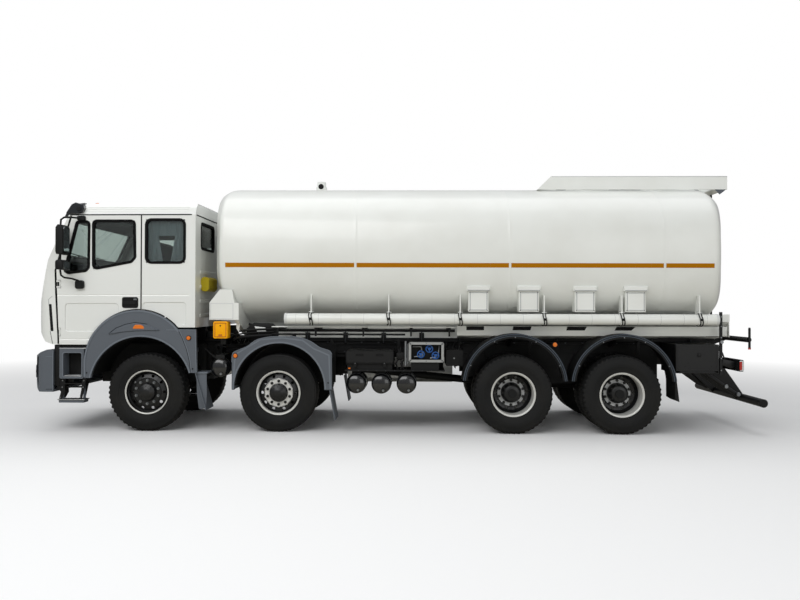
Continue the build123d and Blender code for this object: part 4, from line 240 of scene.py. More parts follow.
class Piece:
    """Solids collected into one mesh.  Lengths along the truck are given from the first axle."""

    def __init__(self, name, body, sharp=32):
        self.name, self.body, self.sharp = name, body, sharp
        self.bm = bmesh.new()
        self.mats = []

    def look(self, mat):
        """The place of a finish among the piece's own."""
        mat = FINISH[mat] if isinstance(mat, str) else mat
        if mat not in self.mats:
            self.mats.append(mat)
        return self.mats.index(mat)

    def shape(self, points, faces, mat, closed=True):
        """Adds points and faces; a closed solid gets its normals turned outward."""
        index = self.look(mat)
        verts = [self.bm.verts.new(p) for p in points]
        made = []
        for face in faces:
            made.append(self.bm.faces.new([verts[i] for i in face]))
            made[-1].material_index = index
        if closed:
            bmesh.ops.recalc_face_normals(self.bm, faces=made)
        return verts, made

    def bevel(self, faces, width, segments=2):
        """Rounds the sharp edges of the given faces."""
        edges = list({e for f in faces for e in f.edges if e.calc_face_angle(0) > BEVEL_FROM})
        index = faces[0].material_index
        new = bmesh.ops.bevel(self.bm, geom=edges, offset=width, segments=segments, affect="EDGES",
                              profile=0.5, clamp_overlap=True)
        for face in new["faces"]:
            face.material_index = index

    def box(self, start, end, mat, bevel=0.0):
        """A block between two opposite corners, in any order."""
        a, b = [min(p) for p in zip(start, end)], [max(p) for p in zip(start, end)]
        points = [(x, y, z) for x in (a[0], b[0]) for y in (a[1], b[1]) for z in (a[2], b[2])]
        faces = [(0, 1, 3, 2), (4, 6, 7, 5), (0, 4, 5, 1), (2, 3, 7, 6), (0, 2, 6, 4), (1, 5, 7, 3)]
        made = self.shape(points, faces, mat)[1]
        if bevel:
            self.bevel(made, bevel)

    def prism(self, outline, start, end, mat, axis="y", bevel=0.0):
        """An outline (in the two other axes, in order) carried from start to end along an axis."""
        place = {"x": lambda a, b, c: (c, a, b),
                 "y": lambda a, b, c: (a, c, b),
                 "z": lambda a, b, c: (a, b, c)}[axis]
        n = len(outline)
        points = [place(a, b, start) for a, b in outline] + [place(a, b, end) for a, b in outline]
        faces = [tuple(range(n)), tuple(range(n, 2 * n))]
        faces += [(i, (i + 1) % n, n + (i + 1) % n, n + i) for i in range(n)]
        made = self.shape(points, faces, mat)[1]
        if bevel:
            self.bevel(made, bevel)

    def lathe(self, profile, centre, mat, axis="y", steps=64, sign=1, turn=0.0, ripple=None):
        """A closed profile of (along, radius) turned about an axis through centre.

        Points on the axis are shared.  ripple(point number, step) gives a radius to add there."""
        rings = []
        points = []
        for number, (along, radius) in enumerate(profile):
            if radius < 1e-6:
                rings.append([len(points)] * steps)
                points.append(self.about(centre, axis, sign * along, 0, 0))
                continue
            ring = []
            for step in range(steps):
                r = radius + (ripple(number, step) if ripple else 0)
                ring.append(len(points))
                points.append(self.about(centre, axis, sign * along, r, turn + 2 * math.pi * step / steps))
            rings.append(ring)
        faces = []
        n = len(rings)
        for i in range(n):
            a, b = rings[i], rings[(i + 1) % n]
            if a[0] == a[-1] and b[0] == b[-1]:
                continue
            for s in range(steps):
                t = (s + 1) % steps
                face = []
                for v in (a[s], a[t], b[t], b[s]):
                    if v not in face:
                        face.append(v)
                faces.append(tuple(face))
        return self.shape(points, faces, mat)

    @staticmethod
    def about(centre, axis, along, radius, angle):
        """A point at an angle round an axis through centre."""
        a, b = radius * math.cos(angle), radius * math.sin(angle)
        x, y, z = centre
        if axis == "y":
            return (x + a, y + along, z + b)
        if axis == "x":
            return (x + along, y + a, z + b)
        return (x + a, y + b, z + along)

    def tube(self, path, radius, mat, steps=10, closed=False):
        """A round bar along a path of points."""
        path = [Vector(p) for p in path]
        points, faces = [], []
        last = None
        n = len(path)
        for i, here in enumerate(path):
            before = path[i - 1] if (i or closed) else here
            after = path[(i + 1) % n] if (i < n - 1 or closed) else here
            way = (after - before).normalized()
            side = last - way * last.dot(way) if last else way.orthogonal()
            side.normalize()
            last = side
            other = way.cross(side)
            first, second = (here - before), (after - here)
            stretch = 1.0
            if first.length > 1e-9 and second.length > 1e-9:
                stretch = 1 / max(0.5, math.cos(first.angle(second) / 2))
            for s in range(steps):
                angle = 2 * math.pi * s / steps
                points.append(here + (side * math.cos(angle) + other * math.sin(angle)) * radius * stretch)
        rounds = n if closed else n - 1
        for i in range(rounds):
            j = (i + 1) % n
            for s in range(steps):
                t = (s + 1) % steps
                faces.append((i * steps + s, i * steps + t, j * steps + t, j * steps + s))
        if not closed:
            faces.append(tuple(range(steps)))
            faces.append(tuple(range((n - 1) * steps, n * steps)))
        self.shape(points, faces, mat)

    def bolt(self, place, radius, height, mat, axis="y", sign=1, sides=6):
        """A six-sided head, or a round one with more sides."""
        self.lathe([(0, 0), (0, radius), (height, radius), (height, 0)], place, mat, axis, sides, sign)

    def done(self, replaces=()):
        """Makes the mesh, smooth but for edges sharper than the piece's limit, and hands it to its body."""
        for vert in self.bm.verts:
            vert.co.x += AXLE_1
        self.bm.normal_update()
        limit = math.radians(self.sharp)
        for face in self.bm.faces:
            face.smooth = True
        for edge in self.bm.edges:
            edge.smooth = len(edge.link_faces) == 2 and edge.calc_face_angle(4) < limit
        mesh = bpy.data.meshes.new(self.name)
        self.bm.to_mesh(mesh)
        self.bm.free()
        for mat in self.mats:
            mesh.materials.append(mat)
        obj = bpy.data.objects.new(self.name, mesh)
        bpy.context.collection.objects.link(obj)
        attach(obj, self.body)
        if replaces:
            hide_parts(*replaces)
        return obj


def angles(count, start=0.0):
    """Even steps round a full turn, in radians."""
    return [start + 2 * math.pi * i / count for i in range(count)]


def arc(centre, radius, start, end, steps):
    """Points on a circle from start to end, in degrees."""
    return [(centre[0] + radius * math.cos(math.radians(start + (end - start) * i / steps)),
             centre[1] + radius * math.sin(math.radians(start + (end - start) * i / steps)))
            for i in range(steps + 1)]


def rounded(x0, z0, x1, z1, radius, steps=5):
    """A rectangle's outline with round corners."""
    out = []
    for cx, cz, start in ((x1 - radius, z1 - radius, 0), (x0 + radius, z1 - radius, 90),
                          (x0 + radius, z0 + radius, 180), (x1 - radius, z0 + radius, 270)):
        out += arc((cx, cz), radius, start, start + 90, steps)
    return out


# ---------------------------------------------------------------- tyres
TYRE_RADIUS = 0.53
TREAD_STEPS = 192           # points round the tread, so that lugs are cut every 3 or 4 of them
TREAD_HALF_W, TYRE_HALF_W = 0.118, 0.15
GROOVE_DEPTH = 0.013


def tyre(piece, x, y, sign, lugs):
    """One tyre with four grooves round it; lugs of a traction tyre are cut deep into its shoulders."""
    half, tread = TYRE_HALF_W, TREAD_HALF_W
    outer = []
    for middle in (-0.066, -0.024, 0.024, 0.066):
        outer += [(middle - 0.006, TYRE_RADIUS), (middle - 0.004, TYRE_RADIUS - GROOVE_DEPTH),
                  (middle + 0.004, TYRE_RADIUS - GROOVE_DEPTH), (middle + 0.006, TYRE_RADIUS)]
    flank = [(tread - 0.012, TYRE_RADIUS), (tread + 0.006, TYRE_RADIUS - 0.010),
             (tread + 0.014, TYRE_RADIUS - 0.030), (tread + 0.019, TYRE_RADIUS - 0.034),
             (half - 0.012, TYRE_RADIUS - 0.052), (half - 0.006, TYRE_RADIUS - 0.075),
             (half - 0.001, TYRE_RADIUS - 0.105), (half, TYRE_RADIUS - 0.125),
             (half - 0.003, TYRE_RADIUS - 0.150), (half - 0.006, TYRE_RADIUS - 0.152),
             (half - 0.012, TYRE_RADIUS - 0.182), (half - 0.022, 0.318), (half - 0.024, 0.306),
             (half - 0.030, 0.303), (half - 0.036, 0.292)]
    profile = [(-a, r) for a, r in reversed(flank)] + outer + flank
    count = len(flank)
    shoulder = {count - 1, count - 2, count - 3, count + len(outer), count + len(outer) + 1,
                count + len(outer) + 2}
    deep = 0.014 if lugs else 0.004
    period = 4 if lugs else 3

    def ripple(number, step):
        return -deep if number in shoulder and step % period >= 2 else 0.0

    piece.lathe(profile, (x, y, WHEEL_Z), "tyre_rubber", steps=TREAD_STEPS, sign=sign, ripple=ripple)


for number, x in enumerate(AXLES):
    for side, sign in SIDES:
        rear = number > 1
        name = f"{'tyres' if rear else 'tyre'}_{number + 1}_{side}"
        piece = Piece(name + "_tread", f"wheel_{number + 1}_{side}", sharp=28)
        for y in (TWIN_Y if rear else (SINGLE_Y,)):
            tyre(piece, x, sign * y, sign, lugs=number != 1)
        piece.done(replaces=[name])


# ---------------------------------------------------------------- rims
def ring(piece, x, y, sign, profile, mat, steps=96):
    """A turned ring of a wheel, from its profile of (outward, radius)."""
    piece.lathe(profile, (x, y, WHEEL_Z), mat, steps=steps, sign=sign)


NUT_TURN = 0.31             # radians by which the nuts stand off the first vent hole


def pierced_disc(piece, x, y, sign, inner, outer, holes, hole_radius, hole_at, thick, mat, dish):
    """A disc ring with round holes: each sector is a patch between the hole and the sector's border."""
    sector = 2 * math.pi / holes
    for h in range(holes):
        middle = h * sector
        border = []
        n = 6
        for i in range(n):
            a = middle - sector / 2 + sector * i / n
            border.append((outer, a))
        for i in range(4):
            border.append((outer - (outer - inner) * i / 4, middle + sector / 2))
        for i in range(n):
            a = middle + sector / 2 - sector * i / n
            border.append((inner, a))
        for i in range(4):
            border.append((inner + (outer - inner) * i / 4, middle - sector / 2))
        flat = [(r * math.cos(a), r * math.sin(a)) for r, a in border]
        cx, cz = hole_at * math.cos(middle), hole_at * math.sin(middle)
        round_hole = []
        for px, pz in flat:
            a = math.atan2(pz - cz, px - cx)
            round_hole.append((cx + hole_radius * math.cos(a), cz + hole_radius * math.sin(a)))
        m = len(flat)
        points = []
        for depth in (0, -thick):
            for px, pz in flat + round_hole:
                r = math.hypot(px, pz)
                lean = dish * (r - inner) / (outer - inner)
                points.append((x + px, y + sign * (depth + lean), WHEEL_Z + pz))
        faces = []
        for i in range(m):
            j = (i + 1) % m
            faces.append((i, j, m + j, m + i))
            faces.append((2 * m + i, 2 * m + j, 3 * m + j, 3 * m + i))
            faces.append((m + i, m + j, 3 * m + j, 3 * m + i))
            faces.append((i, j, 2 * m + j, 2 * m + i))
        piece.shape(points, faces, mat)


def barrel(piece, x, y, sign, edge_mat, inside_mat):
    """The rim's trough under one tyre, with a rolled lip on each side.  y is the tyre's centre plane."""
    trough = [(-0.120, 0.284), (-0.120, 0.299), (-0.112, 0.300), (-0.112, 0.2915), (-0.06, 0.288),
              (0.112, 0.2915), (0.112, 0.276), (0.02, 0.270), (-0.10, 0.274)]
    ring(piece, x, y, sign, trough, inside_mat)
    lip = [(0.112, 0.2918), (0.112, 0.300), (0.116, 0.3025), (0.1215, 0.300), (0.1215, 0.291), (0.116, 0.283),
           (0.112, 0.281)]
    ring(piece, x, y, sign, lip, edge_mat)


def nuts(piece, x, y, sign, count, radius, mat, height):
    """A ring of wheel nuts on their collars."""
    size = 0.0145
    for a in angles(count, NUT_TURN):
        place = (x + radius * math.cos(a), y, WHEEL_Z + radius * math.sin(a))
        piece.bolt(place, size * 1.35, height * 0.3, mat, sign=sign, sides=16)
        piece.bolt(place, size, height, mat, sign=sign)


def front_rim(piece, x, sign, disc_mat, shaded_web_mat, cap_mat, edge_mat, inside_mat, nut_mat):
    """A single wheel: rim, pierced disc bulging outward, ten nuts on scalloped bosses, hub cap."""
    barrel(piece, x, sign * SINGLE_Y, sign, edge_mat, inside_mat)
    face = sign * (SINGLE_Y + 0.092)
    # painted shade: the black cone deep in the rim, and the pierced disc below
    ring(piece, x, 0, sign, [(1.085, 0.268), (1.093, 0.271), (1.072, 0.247), (1.066, 0.245)],
         "black_wheel_enamel_and_shade")
    pierced_disc(piece, x, face, sign, 0.182, 0.250, 10, 0.021, 0.226, 0.012, shaded_web_mat, -0.03)
    ring(piece, x, face, sign, [(0, 0.105), (0, 0.184), (-0.014, 0.184), (-0.014, 0.105)], disc_mat)
    ring(piece, x, face, sign, [(0, 0.186), (0.006, 0.190), (0.0, 0.194), (-0.006, 0.190)], disc_mat)
    nuts(piece, x, face, sign, 10, 0.158, nut_mat, height=0.03)
    for a in angles(10, NUT_TURN):
        piece.bolt((x + 0.176 * math.cos(a), face, WHEEL_Z + 0.176 * math.sin(a)), 0.024, 0.004, disc_mat,
                   sign=sign)
    hub = [(-0.05, 0.0), (-0.05, 0.128), (0.012, 0.126), (0.020, 0.120), (0.050, 0.112), (0.060, 0.098),
           (0.070, 0.070), (0.078, 0.060), (0.086, 0.034), (0.086, 0.0)]
    ring(piece, x, face, sign, hub, cap_mat, steps=64)
    for a in angles(8):
        piece.bolt((x + 0.088 * math.cos(a), face + sign * 0.060, WHEEL_Z + 0.088 * math.sin(a)), 0.006,
                   0.008, cap_mat, sign=sign)


def rear_rim(piece, x, sign, edge_mat, inside_mat, disc_mat, cap_mat):
    """A twin pair: two rims, the outer disc sunk deep, the hub standing out of it."""
    for y in TWIN_Y:
        barrel(piece, x, sign * y, sign if y > 1 else -sign, edge_mat, inside_mat)
    face = sign * 0.937
    # painted shade: the black cone deep in the rim, and the pierced disc below
    ring(piece, x, 0, sign, [(0.99, 0.270), (1.0, 0.272), (0.957, 0.236), (0.945, 0.232)],
         "black_wheel_enamel_and_shade")
    pierced_disc(piece, x, face, sign, 0.185, 0.238, 10, 0.020, 0.216, 0.016, "black_wheel_enamel_and_shade", 0.018)
    ring(piece, x, face, sign, [(0, 0.12), (0, 0.187), (-0.020, 0.187), (-0.020, 0.12)], disc_mat)
    ring(piece, x, 0, sign, [(0.85, 0.270), (0.86, 0.272), (0.917, 0.190), (0.905, 0.188)], inside_mat)
    nuts(piece, x, face, sign, 10, 0.1705, "black_wheel_enamel_and_shade", height=0.034)
    hub = [(-0.06, 0.0), (-0.06, 0.142), (0.03, 0.140), (0.05, 0.134), (0.095, 0.128), (0.110, 0.118),
           (0.128, 0.108), (0.136, 0.092), (0.140, 0.045), (0.146, 0.040), (0.146, 0.0)]
    ring(piece, x, face, sign, hub, cap_mat, steps=64)
    for a in angles(10):
        piece.bolt((x + 0.122 * math.cos(a), face + sign * 0.10, WHEEL_Z + 0.122 * math.sin(a)), 0.008, 0.012,
                   cap_mat, sign=sign)


for number, x in enumerate(AXLES):
    for side, sign in SIDES:
        rear = number > 1
        name = f"{'rims' if rear else 'rim'}_{number + 1}_{side}"
        piece = Piece(name + "_wheel", f"wheel_{number + 1}_{side}", sharp=35)
        if rear:
            rear_rim(piece, x, sign, "pale_wheel_lacquer", "pale_wheel_lacquer", "grey_wheel_primer",
                     "black_wheel_enamel_and_shade")
        elif number:
            front_rim(piece, x, sign, "forged_wheel_lacquer", "black_wheel_enamel_and_shade", "black_wheel_enamel_and_shade",
                      "pale_wheel_lacquer", "pale_wheel_lacquer", "black_wheel_enamel_and_shade")
        else:
            front_rim(piece, x, sign, "black_wheel_enamel_and_shade", "black_wheel_enamel_and_shade", "black_wheel_enamel_and_shade",
                      "pale_wheel_lacquer", "black_wheel_enamel_and_shade", "zinc_plated_steel")
        piece.done(replaces=[name])


# ---------------------------------------------------------------- tank
TANK_FRONT, TANK_REAR = 1.083, 7.660
TANK_HALF_W, TANK_HALF_H, TANK_Z = 1.25, 1.005, 2.43
ROOF_R, FLANK_R, CORNER_R = 1.9, 1.7, 0.65
# Each end from the barrel outwards.  Columns: how far out, narrower at mid height,
# narrower at top and bottom, lower at the top, higher at the bottom.
FRONT_END = [(-0.20, 0, 0, 0, 0), (-0.12, 0, 0, 0, 0.010), (-0.05, 0, 0, 0, 0.034),
             (0.02, 0.008, 0, 0, 0.075), (0.055, 0.020, 0.004, 0.003, 0.13),
             (0.080, 0.048, 0.012, 0.006, 0.19), (0.098, 0.092, 0.03, 0.012, 0.25),
             (0.124, 0.16, 0.05, 0.022, 0.31), (0.154, 0.24, 0.08, 0.035, 0.36),
             (0.188, 0.33, 0.12, 0.055, 0.42), (0.214, 0.43, 0.20, 0.09, 0.50),
             (0.232, 0.52, 0.30, 0.16, 0.57), (0.244, 0.62, 0.45, 0.30, 0.66),
             (0.250, 0.75, 0.65, 0.50, 0.77), (0.252, 0.90, 0.85, 0.80, 0.90)]
REAR_END = [(0.0, 0, 0, 0, 0), (0.028, 0.006, 0.003, 0.002, 0.004), (0.055, 0.020, 0.008, 0.005, 0.010),
            (0.080, 0.048, 0.016, 0.010, 0.020), (0.098, 0.092, 0.03, 0.016, 0.035),
            (0.124, 0.16, 0.05, 0.026, 0.055), (0.154, 0.24, 0.08, 0.04, 0.08),
            (0.188, 0.33, 0.12, 0.06, 0.11), (0.214, 0.43, 0.20, 0.09, 0.16), (0.232, 0.52, 0.30, 0.16, 0.25),
            (0.244, 0.62, 0.45, 0.30, 0.40), (0.250, 0.75, 0.65, 0.50, 0.58), (0.252, 0.90, 0.85, 0.80, 0.85)]


def oval(grow, steps=14):
    """The tank's outline as (y, z) points: roof, flank and corner arcs, tangent to each other."""
    roof, flank, corner = ROOF_R + grow, FLANK_R + grow, CORNER_R + grow
    roof_c, flank_c = Vector((0, TANK_HALF_H - ROOF_R)), Vector((TANK_HALF_W - FLANK_R, 0))
    apart = (roof_c - flank_c).length
    along = (flank_c - roof_c).normalized()
    across = Vector((along.y, -along.x))
    reach = ((roof - corner) ** 2 - (flank - corner) ** 2 + apart ** 2) / (2 * apart)
    corner_c = roof_c + along * reach + across * math.sqrt(max((roof - corner) ** 2 - reach ** 2, 0))
    if corner_c.x < 0 or corner_c.y < 0:
        corner_c = roof_c + along * reach - across * math.sqrt(max((roof - corner) ** 2 - reach ** 2, 0))
    a = math.degrees(math.atan2(corner_c.y - roof_c.y, corner_c.x - roof_c.x))
    c = math.degrees(math.atan2(corner_c.y - flank_c.y, corner_c.x - flank_c.x))
    quarter = arc(flank_c, flank, 0, c, steps)[:-1] + arc(corner_c, corner, c, a, steps)[:-1]
    quarter += arc(roof_c, roof, a, 90, steps)
    out = quarter + [(-y, z) for y, z in reversed(quarter[:-1])]
    out += [(y, -z) for y, z in reversed(out[1:-1])]
    return [(y, z + TANK_Z) for y, z in out]


def end_oval(shrink, edge_shrink, top_drop, low_drop):
    """The tank's outline at an end: drawn in on each side by the shrinks, above and below by the drops."""
    out = []
    for y, z in oval(0):
        rise = z - TANK_Z
        drop = top_drop if rise > 0 else low_drop
        here = shrink + (edge_shrink - shrink) * (rise / TANK_HALF_H) ** 2
        out.append((y * (1 - here / TANK_HALF_W), TANK_Z + rise * (1 - drop / TANK_HALF_H)))
    return out


def skin_of_rings(piece, rings, mat):
    """Rings of points (x, outline), closed with a face at both ends."""
    points, faces = [], []
    for x, outline in rings:
        points += [(x, y, z) for y, z in outline]
    n = len(rings[0][1])
    for i in range(len(rings) - 1):
        for j in range(n):
            k = (j + 1) % n
            faces.append((i * n + j, i * n + k, (i + 1) * n + k, (i + 1) * n + j))
    faces.append(tuple(range(n)))
    faces.append(tuple(range((len(rings) - 1) * n, len(rings) * n)))
    piece.shape(points, faces, mat)


SEAMS = (2.85, 4.924, 6.984)
# one weld: along the tank, and how proud it stands
WELD = ((-0.04, 0), (-0.011, 0), (-0.006, 0.0014), (0.006, 0.0014), (0.011, 0), (0.04, 0))
rings = [(TANK_FRONT - out, end_oval(*sizes)) for out, *sizes in FRONT_END[::-1]]
for seam in SEAMS:
    rings += [(seam + along, oval(proud)) for along, proud in WELD]
rings += [(TANK_REAR - 0.04, oval(0))] + [(TANK_REAR + out, end_oval(*sizes)) for out, *sizes in REAR_END]
tank = Piece("tank_skin", "chassis", sharp=50)
skin_of_rings(tank, rings, "tank_enamel")


def flank_y(z, grow=0.0):
    """Half width of the tank at height z."""
    best = 0.0
    points = oval(grow, 60)
    for (y0, z0), (y1, z1) in zip(points, points[1:]):
        if y0 > 0 and min(z0, z1) <= z <= max(z0, z1) and abs(z1 - z0) > 1e-9:
            best = max(best, y0 + (y1 - y0) * (z - z0) / (z1 - z0))
    return best


STRIPE_Z, STRIPE_H = 2.262, 0.060
STRIPE_START, STRIPE_END = 1.092, 7.638
FILM_LIFT, FILM_SINK = 0.0016, 0.001
SEAM_GAP = 0.016            # the film stops this far before a weld


def film(piece, sign, start, end, rows=5):
    """A length of the stripe laid on the tank's curved flank."""
    heights = [STRIPE_Z - STRIPE_H / 2 + STRIPE_H * i / (rows - 1) for i in range(rows)]
    points, faces = [], []
    for lift in (FILM_LIFT, -FILM_SINK):
        for z in heights:
            y = sign * (flank_y(z) + lift)
            points += [(start, y, z), (end, y, z)]
    n = 2 * rows
    for i in range(0, n - 2, 2):
        faces += [(i, i + 1, i + 3, i + 2), (n + i, n + i + 1, n + i + 3, n + i + 2),
                  (i, i + 2, n + i + 2, n + i), (i + 1, i + 3, n + i + 3, n + i + 1)]
    faces += [(0, 1, n + 1, n), (n - 2, n - 1, 2 * n - 1, 2 * n - 2)]
    piece.shape(points, faces, "ochre_vinyl_film")


edges = [STRIPE_START] + [v for seam in SEAMS for v in (seam - SEAM_GAP, seam + SEAM_GAP)] + [STRIPE_END]
for sign in (-1, 1):
    for start, end in zip(edges[::2], edges[1::2]):
        film(tank, sign, start, end)
tank.done(replaces=["tank_shell"])


# ---------------------------------------------------------------- outlines laid on a surface
def softened(points, radius, steps=4):
    """A polygon with its corners rounded."""
    out = []
    n = len(points)
    for i in range(n):
        here, before, after = Vector(points[i]), Vector(points[i - 1]), Vector(points[(i + 1) % n])
        back, on = before - here, after - here
        angle = back.angle(on)
        cut = min(radius / math.tan(angle / 2), 0.45 * min(back.length, on.length))
        r = cut * math.tan(angle / 2)
        middle = here + (back.normalized() + on.normalized()).normalized() * (r / math.sin(angle / 2))
        start, end = here + back.normalized() * cut - middle, here + on.normalized() * cut - middle
        first, last = math.atan2(start.y, start.x), math.atan2(end.y, end.x)
        turn = (last - first + math.pi) % (2 * math.pi) - math.pi
        for s in range(steps + 1):
            a = first + turn * s / steps
            out.append((middle.x + r * math.cos(a), middle.y + r * math.sin(a)))
    return out


def grown(points, amount):
    """A closed outline moved outward (inward for a negative amount)."""
    n = len(points)
    area = sum(points[i - 1][0] * points[i][1] - points[i][0] * points[i - 1][1] for i in range(n))
    way = 1 if area > 0 else -1
    out = []
    for i in range(n):
        a, b, c = Vector(points[i - 1]), Vector(points[i]), Vector(points[(i + 1) % n])
        first, second = (b - a), (c - b)
        first = first.normalized() if first.length > 1e-9 else second.normalized()
        second = second.normalized() if second.length > 1e-9 else first
        along = (first + second).normalized()
        normal = Vector((along.y, -along.x)) * way
        stretch = 1 / max(0.5, first.dot(along))
        out.append((b.x + normal.x * amount * stretch, b.y + normal.y * amount * stretch))
    return out


def flank(sign, y):
    """A flat upright surface facing sideways: takes (x, z)."""
    return lambda a, b: (Vector((a, sign * y, b)), Vector((0, sign, 0)))


def end_face(x, way):
    """A flat upright surface that faces back, or forward for way -1: takes (y, z)."""
    return lambda a, b: (Vector((x, a, b)), Vector((way, 0, 0)))


def band(piece, inner, outer, surface, lift, sink, mat):
    """A closed band between two outlines of as many points, standing on a surface."""
    points = []
    for depth in (lift, -sink):
        for line in (inner, outer):
            for a, b in line:
                place, normal = surface(a, b)
                points.append(place + normal * depth)
    n = len(inner)
    faces = []
    for i in range(n):
        j = (i + 1) % n
        faces += [(i, j, n + j, n + i), (2 * n + i, 2 * n + j, 3 * n + j, 3 * n + i),
                  (i, j, 2 * n + j, 2 * n + i), (n + i, n + j, 3 * n + j, 3 * n + i)]
    piece.shape(points, faces, mat)


def rubber_frame(piece, outline, inward, outward, surface, lift, sink, radius):
    """A window's rubber round an outline with softened corners."""
    line = softened(outline, radius, 5)
    band(piece, grown(line, -inward), grown(line, outward), surface, lift, sink, "epdm_rubber")


def plate(piece, outline, surface, lift, sink, mat, bevel=0.0):
    """A plate of an outline standing on a surface; its face is drawn in by the bevel."""
    n = len(outline)
    points = []
    layers = [(0.0, -sink), (0.0, lift - bevel), (-bevel, lift)] if bevel else [(0.0, -sink), (0.0, lift)]
    for grow, depth in layers:
        line = grown(outline, grow) if grow else outline
        for a, b in line:
            place, normal = surface(a, b)
            points.append(place + normal * depth)
    faces = [tuple(range(n)), tuple(range((len(layers) - 1) * n, len(layers) * n))]
    for k in range(len(layers) - 1):
        faces += [(k * n + i, k * n + (i + 1) % n, (k + 1) * n + (i + 1) % n, (k + 1) * n + i)
                  for i in range(n)]
    piece.shape(points, faces, mat)


def ribbon(piece, path, width, surface, lift, sink, mat):
    """A strip along an open path on a surface."""
    left, right = [], []
    n = len(path)
    for i in range(n):
        a, b, c = Vector(path[max(i - 1, 0)]), Vector(path[i]), Vector(path[min(i + 1, n - 1)])
        first = (b - a) if i else (c - b)
        second = (c - b) if i < n - 1 else first
        along = (first.normalized() + second.normalized()).normalized()
        normal = Vector((-along.y, along.x)) * (width / 2 / max(0.5, first.normalized().dot(along)))
        left.append((b.x + normal.x, b.y + normal.y))
        right.append((b.x - normal.x, b.y - normal.y))
    points = []
    for depth in (lift, -sink):
        for line in (left, right):
            for a, b in line:
                place, way = surface(a, b)
                points.append(place + way * depth)
    faces = [(0, n, 3 * n, 2 * n), (n - 1, 2 * n - 1, 4 * n - 1, 3 * n - 1)]
    for i in range(n - 1):
        faces += [(i, i + 1, n + i + 1, n + i), (2 * n + i, 2 * n + i + 1, 3 * n + i + 1, 3 * n + i),
                  (i, i + 1, 2 * n + i + 1, 2 * n + i), (n + i, n + i + 1, 3 * n + i + 1, 3 * n + i)]
    piece.shape(points, faces, mat)


# ---------------------------------------------------------------- cab
CAB_Y = 1.22
SEAM_Z = 2.945
SIDE_WINDOW = [(0.006, 2.29), (0.538, 2.29), (0.538, 2.88), (0.006, 2.88)]
MAIN_WINDOW = [(-0.714, 2.200), (-0.190, 2.300), (-0.137, 2.361), (-0.146, 2.863), (-0.718, 2.863)]
QUARTER_WINDOW = [(-1.053, 2.146), (-0.810, 2.177), (-0.770, 2.225), (-0.766, 2.852), (-0.940, 2.852),
                  (-1.107, 2.176)]


def nose(a, b):
    """The cab's sloping front: takes (y, z)."""
    x = -1.335 + (b - 2.33) * (0.28 / 0.6)
    x += 0.22 - math.sqrt(max(0.22 ** 2 - max(abs(a) - 1.0, 0) ** 2, 0))
    return Vector((x, a, b)), Vector((-0.906, 0, 0.423))


back_wall = end_face(CAB_BACK, 1)


CURTAIN_Y, CLOTH = 1.158, 0.004
WAVE_DEPTH, WAVE_TURN = 0.007, 110    # of the folds: half depth, and radians to a metre


def hung_curtain(piece, outline, sign, folds=24):
    """A waved curtain between four corners: low front, low rear, high rear, high front."""
    sides = ((outline[0], outline[1]), (outline[3], outline[2]))
    width = outline[2][0] - outline[3][0]
    points, faces = [], []
    for depth in (0.0, CLOTH):
        for left, right in sides:
            for i in range(folds + 1):
                t = i / folds
                wave = WAVE_DEPTH * math.sin(t * width * WAVE_TURN)
                points.append((left[0] + (right[0] - left[0]) * t, sign * (CURTAIN_Y + wave - depth),
                               left[1]))
    m = folds + 1
    for i in range(folds):
        faces += [(i, i + 1, m + i + 1, m + i), (2 * m + i, 2 * m + i + 1, 3 * m + i + 1, 3 * m + i),
                  (i, i + 1, 2 * m + i + 1, 2 * m + i), (m + i, m + i + 1, 3 * m + i + 1, 3 * m + i)]
    faces += [(0, m, 3 * m, 2 * m), (folds, m + folds, 3 * m + folds, 2 * m + folds)]
    piece.shape(points, faces, "woven_curtain")


